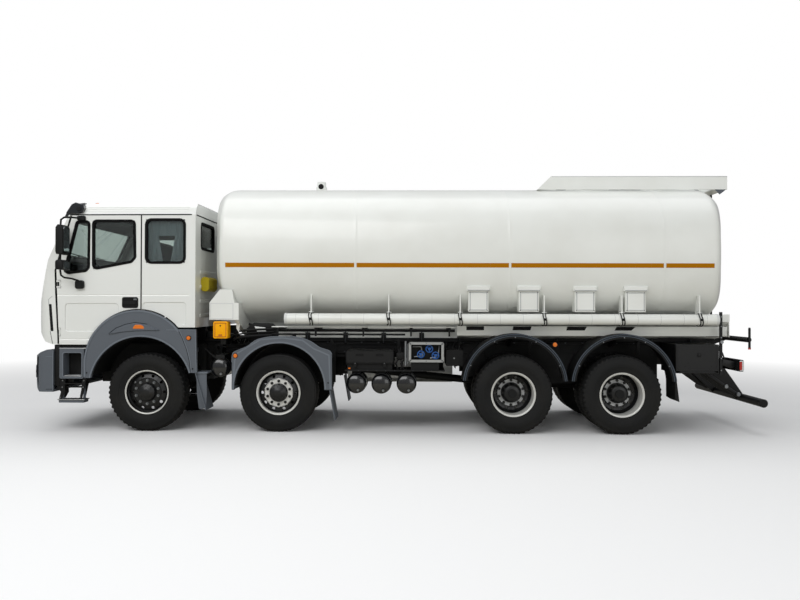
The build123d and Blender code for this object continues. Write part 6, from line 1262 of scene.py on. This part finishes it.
# valve cabinet: silver frame, pipes and blue hand wheels
frame_line = rounded(3.568, 0.950, 4.046, 1.223, 0.012, 3)
band(box, grown(frame_line, -0.034), frame_line, face, 0.006, 0.004, "mill_aluminium")
for x, z in ((3.585, 1.205), (4.028, 1.205), (3.585, 0.968), (4.028, 0.968), (3.807, 1.207), (3.807, 0.966)):
    box.bolt((x, -1.106, z), 0.008, 0.006, "zinc_plated_steel", sign=-1)
box.box((3.598, -0.985, 0.980), (4.016, -0.975, 1.195), "black_pp")
for x, z in ((3.735, 1.055), (3.850, 1.130), (3.935, 1.040)):
    box.tube([(x, -0.975, z), (x, -1.035, z)], 0.017, "zinc_plated_steel", 10)
    box.lathe([(0, 0), (0, 0.020), (0.020, 0.020), (0.020, 0)], (x, -1.035, z), "blue_wheel_enamel", "y", 16,
              -1)
    wheel = [(x + 0.046 * math.cos(a), -1.052, z + 0.046 * math.sin(a)) for a in angles(20)]
    box.tube(wheel, 0.007, "blue_wheel_enamel", 8, closed=True)
    for a in angles(3, 0.5):
        box.tube([(x, -1.052, z), (x + 0.046 * math.cos(a), -1.052, z + 0.046 * math.sin(a))], 0.006,
                 "blue_wheel_enamel", 6)
box.tube([(3.62, -1.03, 1.16), (3.74, -1.03, 1.16), (3.76, -1.03, 1.03), (3.64, -1.03, 1.02)], 0.011,
         "zinc_plated_steel", 8)
box.tube([(3.86, -1.02, 1.00), (3.97, -1.02, 1.02), (3.99, -1.02, 1.17)], 0.011, "zinc_plated_steel", 8)
# loose hoses round the cabinet
for start, dx in ((3.42, 0.03), (3.46, -0.02), (3.50, 0.04)):
    box.tube([(start, -1.00, 1.15), (start + dx, -1.03, 1.02), (start - dx, -1.05, 0.93),
              (start, -1.04, 0.845)], 0.011, "black_pp", 8)
box.box((3.40, -1.06, 0.985), (3.53, -0.96, 1.075), "black_pp", 0.01)
box.tube([(3.525, -1.08, 0.90), (3.525, -1.08, 1.235)], 0.014, "zinc_plated_steel", 8)
box.tube([(3.555, -1.075, 0.93), (3.555, -1.075, 1.20)], 0.009, "zinc_plated_steel", 8)
box.bolt((4.19, -1.0, 1.00), 0.012, 0.01, "zinc_plated_steel", sign=-1)
box.done()


def air_tank(piece, x, z, radius, start, end, sign):
    """A drum with domed ends, its axis across the truck."""
    dome = radius * 0.42
    middle = (start + end) / 2
    half = (end - start) / 2
    profile = [(-half, 0)]
    for i in range(1, 9):
        a = math.pi / 2 * i / 8
        profile.append((-half + dome * (1 - math.cos(a)), radius * math.sin(a)))
    profile += [(-a, r) for a, r in reversed(profile)]
    piece.lathe(profile, (x, sign * middle, z), "air_tank_enamel", "y", 40)
    for y in (start + 0.14, end - 0.14):
        piece.lathe([(-0.018, radius - 0.004), (-0.018, radius + 0.005), (0.018, radius + 0.005),
                     (0.018, radius - 0.004)], (x, sign * y, z), "phosphated_steel", "y", 40)
    piece.lathe([(0, 0), (0, 0.018), (0.022, 0.016), (0.022, 0)],
                (x + 0.03, sign * (end - 0.003), z - radius * 0.62), "zinc_plated_steel", "y", 12, sign)


air = Piece("air_tank_set", "chassis", sharp=50)
for x, z in ((2.850, 0.651), (3.193, 0.648), (3.539, 0.650)):
    air_tank(air, x, z, 0.133, 0.50, 1.104, -1)
    for y in (0.64, 0.955):
        air.box((x - 0.062, -y - 0.02, z + 0.10), (x + 0.062, -y + 0.02, 0.826), "black_pp")
for sign in (-1, 1):
    air_tank(air, 0.992, 0.867, 0.129, 0.56, 1.158, sign)
    air.box((0.932, sign * 0.43, 0.984), (1.052, sign * 1.09, 1.04), "black_powder_coat")
    ring_line = [(0.992 + 0.135 * math.cos(a), sign * 1.06, 0.867 + 0.135 * math.sin(a)) for a in angles(32)]
    air.tube(ring_line, 0.006, "black_pp", 6, closed=True)
air.done(replaces=["air_tanks"])

chest = Piece("chest_trim", "chassis", sharp=38)
for sign in (-1, 1):
    outline = rounded(0.922, 1.268, 1.119, 1.499, 0.020, 4)
    chest.prism(outline, sign * 1.036, sign * 1.204, "yellow_pe", "y", 0.006)
    face = flank(sign, 1.204)
    # painted shade in the groove round the lid and in the handle hollow
    band(chest, grown(outline, -0.028), grown(outline, -0.018), face, 0.004, 0.002, "yellow_pe_painted_shade")
    plate(chest, rounded(0.995, 1.300, 1.046, 1.325, 0.006, 3), face, 0.006, 0.002, "yellow_pe_painted_shade", 0.002)
    chest.lathe([(0, 0), (0, 0.010), (0.004, 0.010), (0.004, 0)], (1.02, sign * 1.204, 1.440), "shaded_gap",
                "y", 12, sign)
    chest.box((0.985, sign * 0.43, 1.18), (1.055, sign * 1.04, 1.312), "black_powder_coat")
chest.done(replaces=["chock_boxes"])

for side, sign in SIDES:
    lid = Piece(f"chest_door_trim_{side}", f"toolbox_door_{side}", sharp=38)
    face = flank(sign, 1.119)
    outline = rounded(7.190, 0.862, 7.725, 1.185, 0.012, 3)
    band(lid, grown(outline, -0.008), outline, face, 0.003, 0.003, "black_powder_coat")
    lid.lathe([(0, 0), (0, 0.030), (0.004, 0.030), (0.006, 0.024), (0.006, 0)], (7.478, sign * 1.119, 1.065),
              "black_pp", "y", 24, sign)
    lid.box((7.466, sign * 1.125, 1.045), (7.490, sign * 1.131, 1.085), "black_powder_coat", 0.002)
    for x, z in ((7.29, 0.91), (7.33, 0.955), (7.45, 0.905), (7.64, 0.915)):
        lid.bolt((x, sign * 1.119, z), 0.006, 0.003, "shaded_gap", sign=sign)
    lid.done()


# ---------------------------------------------------------------- rear end
tail = Piece("rear_trim", "chassis", sharp=38)
for sign in (-1, 1):
    tail.lathe([(0, 0), (0, 0.057), (0.012, 0.057), (0.018, 0.050), (0.018, 0)], (8.310, sign * 1.172, 0.425),
               "black_pp", "y", 28, sign)
    # struts of the underrun guard with their pivots
    tail.tube([(7.66, sign * 0.62, 0.86), (7.80, sign * 0.62, 0.74), (8.22, sign * 0.60, 0.46)], 0.028,
              "black_powder_coat", 10)
    tail.prism([(7.62, 0.88), (7.70, 0.90), (8.06, 0.62), (8.28, 0.47), (8.24, 0.43), (8.02, 0.52),
                (7.74, 0.72)], sign * 0.468, sign * 0.48, "black_powder_coat", "y", 0.002)
    for x, z in ((7.68, 0.86), (8.03, 0.595), (8.20, 0.485)):
        tail.lathe([(0, 0), (0, 0.030), (0.010, 0.026), (0.010, 0)], (x, sign * 0.648, z),
                   "zinc_plated_steel", "y", 16, sign)
    # red ends of the beam's posts, lamp brackets and cables
    tail.lathe([(0, 0), (0, 0.0175), (0.02, 0.0175), (0.02, 0)], (8.10, sign * 1.234, 1.168),
               "red_marker_enamel", "z", 16, -1)
    tail.lathe([(0, 0), (0, 0.0165), (0.012, 0.010), (0.012, 0)], (8.10, sign * 1.234, 1.427), "black_pp",
               "z", 16)
    tail.prism([(7.80, 1.02), (7.96, 0.985), (7.975, 0.93), (7.84, 0.90), (7.79, 0.86), (7.79, 1.0)],
               sign * 0.60, sign * 0.66, "black_powder_coat", "y", 0.004)
    tail.prism([(7.80, 1.01), (7.97, 0.975), (7.97, 0.90), (7.90, 0.89), (7.79, 0.93)], sign * 1.10,
               sign * 1.115, "black_powder_coat", "y", 0.003)
    tail.tube([(7.80, sign * 1.08, 1.10), (7.84, sign * 1.09, 0.98), (7.90, sign * 1.08, 0.88),
               (7.97, sign * 1.05, 0.90)], 0.010, "black_pp", 8)
    tail.lathe([(0, 0.0), (0, 0.022), (0.030, 0.022), (0.030, 0)], (7.775, sign * 1.116, 1.240),
               "zinc_plated_steel", "y", 16, sign)
    for z in (0.86, 1.02, 1.30, 1.45, 1.58):
        tail.bolt((7.775, sign * 1.116, z), 0.009, 0.006, "zinc_plated_steel", sign=sign)
    tail.box((7.745, sign * 0.60, 1.29), (8.06, sign * 0.655, 1.325), "black_powder_coat", 0.004)
    # end plate of the skirt
    tail.box((7.941, sign * 0.62, 1.30), (7.950, sign * 0.955, 1.53), "tank_enamel", 0.002)
# ladder grips
for y in (0.05, 0.45):
    tail.tube([(8.085, y, 3.38), (8.085, y, 3.46), (8.03, y, 3.52), (7.96, y, 3.56)], 0.015, "mill_aluminium",
              10)
tail.done()


# ---------------------------------------------------------------- under the tank
low_parts = Piece("driveline_trim", "chassis", sharp=40)
low_parts.tube([(0.70, 0, 0.88), (2.55, 0, 0.80)], 0.055, "axle_enamel", 14)
low_parts.tube([(2.55, 0, 0.80), (4.77, 0, 0.585)], 0.055, "axle_enamel", 14)
low_parts.tube([(5.18, 0, 0.56), (6.22, 0, 0.545)], 0.05, "axle_enamel", 14)
low_parts.box((2.47, -0.10, 0.70), (2.63, 0.10, 0.98), "axle_enamel", 0.01)
for sign in (-1, 1):
    for x in (1.15, 2.45, 3.42, 4.30, 4.62, 5.30, 5.70, 6.10, 6.85, 7.05):
        low_parts.box((x - 0.02, sign * FRAME_WEB, 1.02), (x + 0.02, sign * (FRAME_WEB + 0.045), 1.225),
                      "chassis_enamel", 0.004)
    # dampers of the front axles
    for x in (-0.25, 1.55):
        low_parts.tube([(x, sign * 0.50, 0.62), (x + 0.04, sign * 0.48, 0.86)], 0.034, "axle_enamel", 12)
        low_parts.tube([(x + 0.04, sign * 0.48, 0.86), (x + 0.06, sign * 0.47, 1.02)], 0.042, "black_pp", 12)
    # valve block on the rail behind the cab
    low_parts.box((0.78, sign * 0.44, 1.02), (0.90, sign * 0.60, 1.16), "black_pp", 0.01)
    # clips of the subframe
    for x in SUBFRAME_CLIPS:
        low_parts.box((x - 0.035, sign * 0.432, 1.17), (x + 0.035, sign * 0.452, 1.33), "chassis_enamel",
                      0.004)
        low_parts.tube([(x, sign * 0.46, 1.18), (x, sign * 0.46, 1.34)], 0.009, "phosphated_steel", 6)
low_parts.done()


# ---------------------------------------------------------------- bolts and hoses, by Geometry Nodes
def geometry_tree(name, sizes):
    """A tree with a mesh in and a mesh out; sizes are (name, socket kind, value)."""
    tree = bpy.data.node_groups.new(name, "GeometryNodeTree")
    tree.interface.new_socket("Geometry", in_out="INPUT", socket_type="NodeSocketGeometry")
    for label, kind, value in sizes:
        socket = tree.interface.new_socket(label, in_out="INPUT", socket_type=kind)
        if value is not None:
            socket.default_value = value
    tree.interface.new_socket("Geometry", in_out="OUTPUT", socket_type="NodeSocketGeometry")
    return tree, add_node(tree, "NodeGroupInput"), add_node(tree, "NodeGroupOutput")


def baked(name, body, tree, points, edges, settings, columns):
    """Runs a tree on points and edges and leaves a plain mesh that rides on a body."""
    guide = bpy.data.meshes.new(name + "_guide")
    guide.from_pydata([(x + AXLE_1, y, z) for x, y, z in points], edges, [])
    for label, kind, values in columns:
        layer = guide.attributes.new(label, kind, "POINT")
        field = "vector" if kind == "FLOAT_VECTOR" else "value"
        for item, value in zip(layer.data, values):
            setattr(item, field, value)
    obj = bpy.data.objects.new(name, guide)
    bpy.context.collection.objects.link(obj)
    modifier = obj.modifiers.new("shape", "NODES")
    modifier.node_group = tree
    for item in tree.interface.items_tree:
        if item.in_out == "INPUT" and item.name in settings:
            modifier[item.identifier] = settings[item.name]
    result = bpy.data.meshes.new_from_object(obj.evaluated_get(bpy.context.evaluated_depsgraph_get()))
    obj.modifiers.clear()
    obj.data = result
    work = bmesh.new()
    work.from_mesh(result)
    bmesh.ops.recalc_face_normals(work, faces=work.faces)
    for edge in work.edges:
        edge.smooth = len(edge.link_faces) == 2 and edge.calc_face_angle(4) < math.radians(40)
    for face in work.faces:
        face.smooth = True
    work.to_mesh(result)
    work.free()
    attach(obj, body)
    return obj


# a hexagon head on a round washer, standing on each point along its facing direction
bolt_tree, given, result = geometry_tree("bolt_heads",
                                         [("Head Radius", "NodeSocketFloat", 0.011),
                                          ("Head Height", "NodeSocketFloat", 0.010),
                                          ("Washer Radius", "NodeSocketFloat", 0.016),
                                          ("Washer Height", "NodeSocketFloat", 0.003),
                                          ("Material", "NodeSocketMaterial", None)])
head = add_node(bolt_tree, "GeometryNodeMeshCylinder", Vertices=6, Radius=given.outputs["Head Radius"],
                Depth=given.outputs["Head Height"])
lift = add_node(bolt_tree, "ShaderNodeMath", _operation="MULTIPLY", _0=given.outputs["Head Height"], _1=0.5)
raised = add_node(bolt_tree, "ShaderNodeCombineXYZ", Z=lift.outputs[0])
head_up = add_node(bolt_tree, "GeometryNodeTransform", Geometry=head.outputs["Mesh"],
                   Translation=raised.outputs[0])
washer = add_node(bolt_tree, "GeometryNodeMeshCylinder", Vertices=14, Radius=given.outputs["Washer Radius"],
                  Depth=given.outputs["Washer Height"])
both = add_node(bolt_tree, "GeometryNodeJoinGeometry")
bolt_tree.links.new(head_up.outputs[0], both.inputs[0])
bolt_tree.links.new(washer.outputs["Mesh"], both.inputs[0])
facing = add_node(bolt_tree, "GeometryNodeInputNamedAttribute", _data_type="FLOAT_VECTOR", Name="facing")
size = add_node(bolt_tree, "GeometryNodeInputNamedAttribute", _data_type="FLOAT", Name="size")
turned = add_node(bolt_tree, "FunctionNodeAlignRotationToVector", _axis="Z", Vector=facing.outputs[0])
spread = add_node(bolt_tree, "GeometryNodeInstanceOnPoints", Points=given.outputs["Geometry"],
                  Instance=both.outputs[0], Rotation=turned.outputs[0], Scale=size.outputs[0])
real = add_node(bolt_tree, "GeometryNodeRealizeInstances", Geometry=spread.outputs[0])
painted = add_node(bolt_tree, "GeometryNodeSetMaterial", Geometry=real.outputs[0],
                   Material=given.outputs["Material"])
bolt_tree.links.new(painted.outputs[0], result.inputs[0])

bolts = []                      # place, facing direction, size against an M16 head
for sign in (-1, 1):
    out = (0, sign, 0)
    for k in range(28):
        x = 0.92 + k * 0.245
        bolts += [((x, sign * 0.431, z), out, 0.9) for z in (1.050, 1.190)]
    for x in SUBFRAME_CLIPS:
        bolts += [((x, sign * 0.453, z), out, 0.8) for z in (1.205, 1.295)]
    for x in STRAPS:
        bolts += [((x + dx, sign * 1.16, 1.642), (0, 0, 1), 0.6) for dx in (-0.02, 0.02)]
    for x in OUTRIGGERS:
        bolts += [((x + dx, sign * 1.198, z), out, 0.4) for dx in (-0.117, 0.117) for z in (1.66, 1.90)]
    for x in (7.20, 7.30, 7.62, 7.72):
        bolts.append(((x, sign * 1.02, 1.206), (0, 0, 1), 0.8))
for k in range(11):
    bolts.append(((2.76 + k * 0.124, -1.105, 0.8335), (0, -1, 0), 0.4))
baked("frame_bolts", "chassis", bolt_tree, [b[0] for b in bolts], [],
      {"Material": FINISH["phosphated_steel"]},
      [("facing", "FLOAT_VECTOR", [b[1] for b in bolts]), ("size", "FLOAT", [b[2] for b in bolts])])

# a round hose drawn smoothly through each row of points
hose_tree, given, result = geometry_tree("hoses", [
    ("Step Length", "NodeSocketFloat", 0.05),
    ("Sides", "NodeSocketInt", 8),
    ("Material", "NodeSocketMaterial", None)])
line = add_node(hose_tree, "GeometryNodeMeshToCurve", Mesh=given.outputs["Geometry"])
bent = add_node(hose_tree, "GeometryNodeCurveSplineType", _spline_type="CATMULL_ROM", Curve=line.outputs[0])
even = add_node(hose_tree, "GeometryNodeResampleCurve", _mode="LENGTH", Curve=bent.outputs[0],
                Length=given.outputs["Step Length"])
thick = add_node(hose_tree, "GeometryNodeInputNamedAttribute", _data_type="FLOAT", Name="radius_here")
sized = add_node(hose_tree, "GeometryNodeSetCurveRadius", Curve=even.outputs[0], Radius=thick.outputs[0])
profile = add_node(hose_tree, "GeometryNodeCurvePrimitiveCircle", Resolution=given.outputs["Sides"],
                   Radius=1.0)
skin = add_node(hose_tree, "GeometryNodeCurveToMesh", Curve=sized.outputs[0],
                **{"Profile Curve": profile.outputs[0], "Fill Caps": True, "Scale": thick.outputs[0]})
real = add_node(hose_tree, "GeometryNodeRealizeInstances", Geometry=skin.outputs[0])
painted = add_node(hose_tree, "GeometryNodeSetMaterial", Geometry=real.outputs[0],
                   Material=given.outputs["Material"])
hose_tree.links.new(painted.outputs[0], result.inputs[0])

hoses = []                      # radius, points
for sign in (-1, 1):
    web = 0.455
    hose_ties = [-0.9 + k * 0.5 for k in range(18)]
    for z, radius in ((1.205, 0.010), (1.165, 0.007), (1.04, 0.012)):
        hoses.append((radius, [(x, sign * (web + 0.006 * math.sin(x * 3 + z * 50)),
                                z + 0.006 * math.sin(x * 2.3 + z * 90)) for x in hose_ties]))
    for z, radius in ((1.300, 0.016), (1.345, 0.011), (1.385, 0.014)):
        hoses.append((radius, [(1.16, sign * 1.00, z - 0.05), (1.26, sign * 1.05, z - 0.02),
                               (1.45, sign * 1.065, z), (1.72, sign * 1.06, z + 0.01)]))
    hoses.append((0.012, [(0.84, sign * 0.60, 1.10), (0.90, sign * 0.80, 1.14), (1.10, sign * 0.86, 1.12),
                          (1.30, sign * 0.80, 1.10)]))
    hoses.append((0.013, [(0.74, sign * 0.95, 1.12), (0.86, sign * 0.98, 1.02), (0.92, sign * 1.0, 0.99)]))
    hoses.append((0.016, [(1.22, sign * 0.9, 1.18), (1.45, sign * 0.95, 1.20), (1.70, sign * 0.92, 1.22),
                          (2.0, sign * 0.9, 1.30)]))
    for x in AXLES[2:]:
        hoses.append((0.011, [(x - 0.30, sign * 0.46, 1.02), (x - 0.26, sign * 0.52, 0.90),
                              (x - 0.10, sign * 0.54, 0.78), (x - 0.06, sign * 0.52, 0.66)]))
        hoses.append((0.009, [(x + 0.28, sign * 0.46, 1.04), (x + 0.25, sign * 0.51, 0.88),
                              (x + 0.12, sign * 0.54, 0.80), (x + 0.06, sign * 0.52, 0.66)]))
for x in (1.05, 1.16, 1.24):
    hoses.append((0.012, [(x, -0.44, 1.24), (x + 0.02, -0.60, 1.20), (x + 0.03, -0.82, 1.24),
                          (x + 0.06, -0.98, 1.18)]))
for x in (4.10, 4.20, 4.28):
    hoses.append((0.010, [(x, -0.60, 1.11), (x + 0.02, -0.80, 1.20), (x - 0.02, -0.95, 1.16),
                          (x - 0.01, -0.99, 1.08)]))
points, edges, radii = [], [], []
for radius, path in hoses:
    edges += [(len(points) + i, len(points) + i + 1) for i in range(len(path) - 1)]
    points += path
    radii += [radius] * len(path)
baked("frame_hoses", "chassis", hose_tree, points, edges, {"Material": FINISH["black_pp"]},
      [("radius_here", "FLOAT", radii)])


# ---------------------------------------------------------------- camera, light, floor
SENSOR = 36
CAM_FOCAL = 764.33 / 800     # focal length over the render's width
CAM_PLACE = (X(3.6659), -11.4947, 1.7082)
CAM_YAW, CAM_PITCH, CAM_ROLL = 0.0209, 0.0084, 0.0027
forward = Vector((-math.sin(CAM_YAW) * math.cos(CAM_PITCH), math.cos(CAM_YAW) * math.cos(CAM_PITCH),
                  math.sin(CAM_PITCH)))
level_right = Vector((math.cos(CAM_YAW), math.sin(CAM_YAW), 0))
level_up = level_right.cross(forward)
right = level_right * math.cos(CAM_ROLL) + level_up * math.sin(CAM_ROLL)
up = level_up * math.cos(CAM_ROLL) - level_right * math.sin(CAM_ROLL)
cam_data = bpy.data.cameras.new("camera")
cam_data.sensor_width = SENSOR
cam_data.lens = CAM_FOCAL * SENSOR
cam_data.clip_end = 200
cam = bpy.data.objects.new("camera", cam_data)
cam.matrix_world = Matrix((
    (right.x, up.x, -forward.x, CAM_PLACE[0]),
    (right.y, up.y, -forward.y, CAM_PLACE[1]),
    (right.z, up.z, -forward.z, CAM_PLACE[2]),
    (0, 0, 0, 1)))
bpy.context.collection.objects.link(cam)
bpy.context.scene.camera = cam


def area_light(name, place, target, width, height, power):
    """A rectangular lamp aimed at a target."""
    data = bpy.data.lights.new(name, "AREA")
    data.shape = "RECTANGLE"
    data.size, data.size_y = width, height
    data.energy = power
    obj = bpy.data.objects.new(name, data)
    obj.location = place
    obj.rotation_euler = (Vector(target) - Vector(place)).to_track_quat("-Z", "Y").to_euler()
    bpy.context.collection.objects.link(obj)


area_light("key", (-5, -10, 9), (0, 0, 1.5), 12, 6, 770)
area_light("fill", (8, -12, 4), (0, 0, 1.5), 8, 6, 210)
area_light("top", (0, 1, 11), (0, 0, 0), 18, 8, 500)
world = bpy.data.worlds.new("world")
bpy.context.scene.world = world
world.use_nodes = True
sky = world.node_tree
path = add_node(sky, "ShaderNodeLightPath")
seen = add_node(sky, "ShaderNodeMath", _operation="MAXIMUM", _0=path.outputs["Is Camera Ray"],
                _1=path.outputs["Is Transmission Ray"])
ambient = sky.nodes["Background"]
ambient.inputs["Color"].default_value = colour("F2F4F6")
ambient.inputs["Strength"].default_value = 0.40
backdrop = add_node(sky, "ShaderNodeBackground", Color=colour("FFFFFF"), Strength=1.0)
either = add_node(sky, "ShaderNodeMixShader", _0=seen.outputs[0], _1=ambient.outputs[0],
                  _2=backdrop.outputs[0])
sky.links.new(either.outputs[0], sky.nodes["World Output"].inputs["Surface"])
bpy.context.scene.view_settings.view_transform = "Standard"

floor_mesh = bpy.data.meshes.new("floor")
half = 40                   # of the floor's width
floor_mesh.from_pydata([(-half, -half, 0), (half, -half, 0), (half, half, 0), (-half, half, 0)], [],
                       [(0, 1, 2, 3)])
floor = bpy.data.objects.new("floor", floor_mesh)
# Matt studio vinyl: pale for the camera, a little warmer for what it throws back on the truck.
floor_look = finish("studio_vinyl", "F0F0F0", 0.85)
tree = floor_look.node_tree
place = add_node(tree, "ShaderNodeTexCoord")
distance = add_node(tree, "ShaderNodeVectorMath", _operation="LENGTH", _0=place.outputs["Object"])
fade = add_node(tree, "ShaderNodeMapRange", Value=distance.outputs["Value"],
                **{"From Min": 7.0, "From Max": 17.0})
path = add_node(tree, "ShaderNodeLightPath")
shown = add_node(tree, "ShaderNodeMath", _operation="MULTIPLY", _0=fade.outputs["Result"],
                 _1=path.outputs["Is Camera Ray"])
white = add_node(tree, "ShaderNodeEmission", Color=colour("FFFFFF"), Strength=1.0)
tint = add_node(tree, "ShaderNodeMix", _data_type="RGBA", Factor=path.outputs["Is Camera Ray"],
                _6=colour("C4C0B4"), _7=colour("FAFAFA"))
tree.links.new(tint.outputs[2], tree.nodes["Principled BSDF"].inputs["Base Color"])
ground = add_node(tree, "ShaderNodeMixShader", _0=shown.outputs[0],
                  _1=tree.nodes["Principled BSDF"].outputs[0], _2=white.outputs[0])
tree.links.new(ground.outputs[0], tree.nodes["Material Output"].inputs["Surface"])
floor_mesh.materials.append(floor_look)
bpy.context.collection.objects.link(floor)
floor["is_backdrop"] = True

low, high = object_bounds()
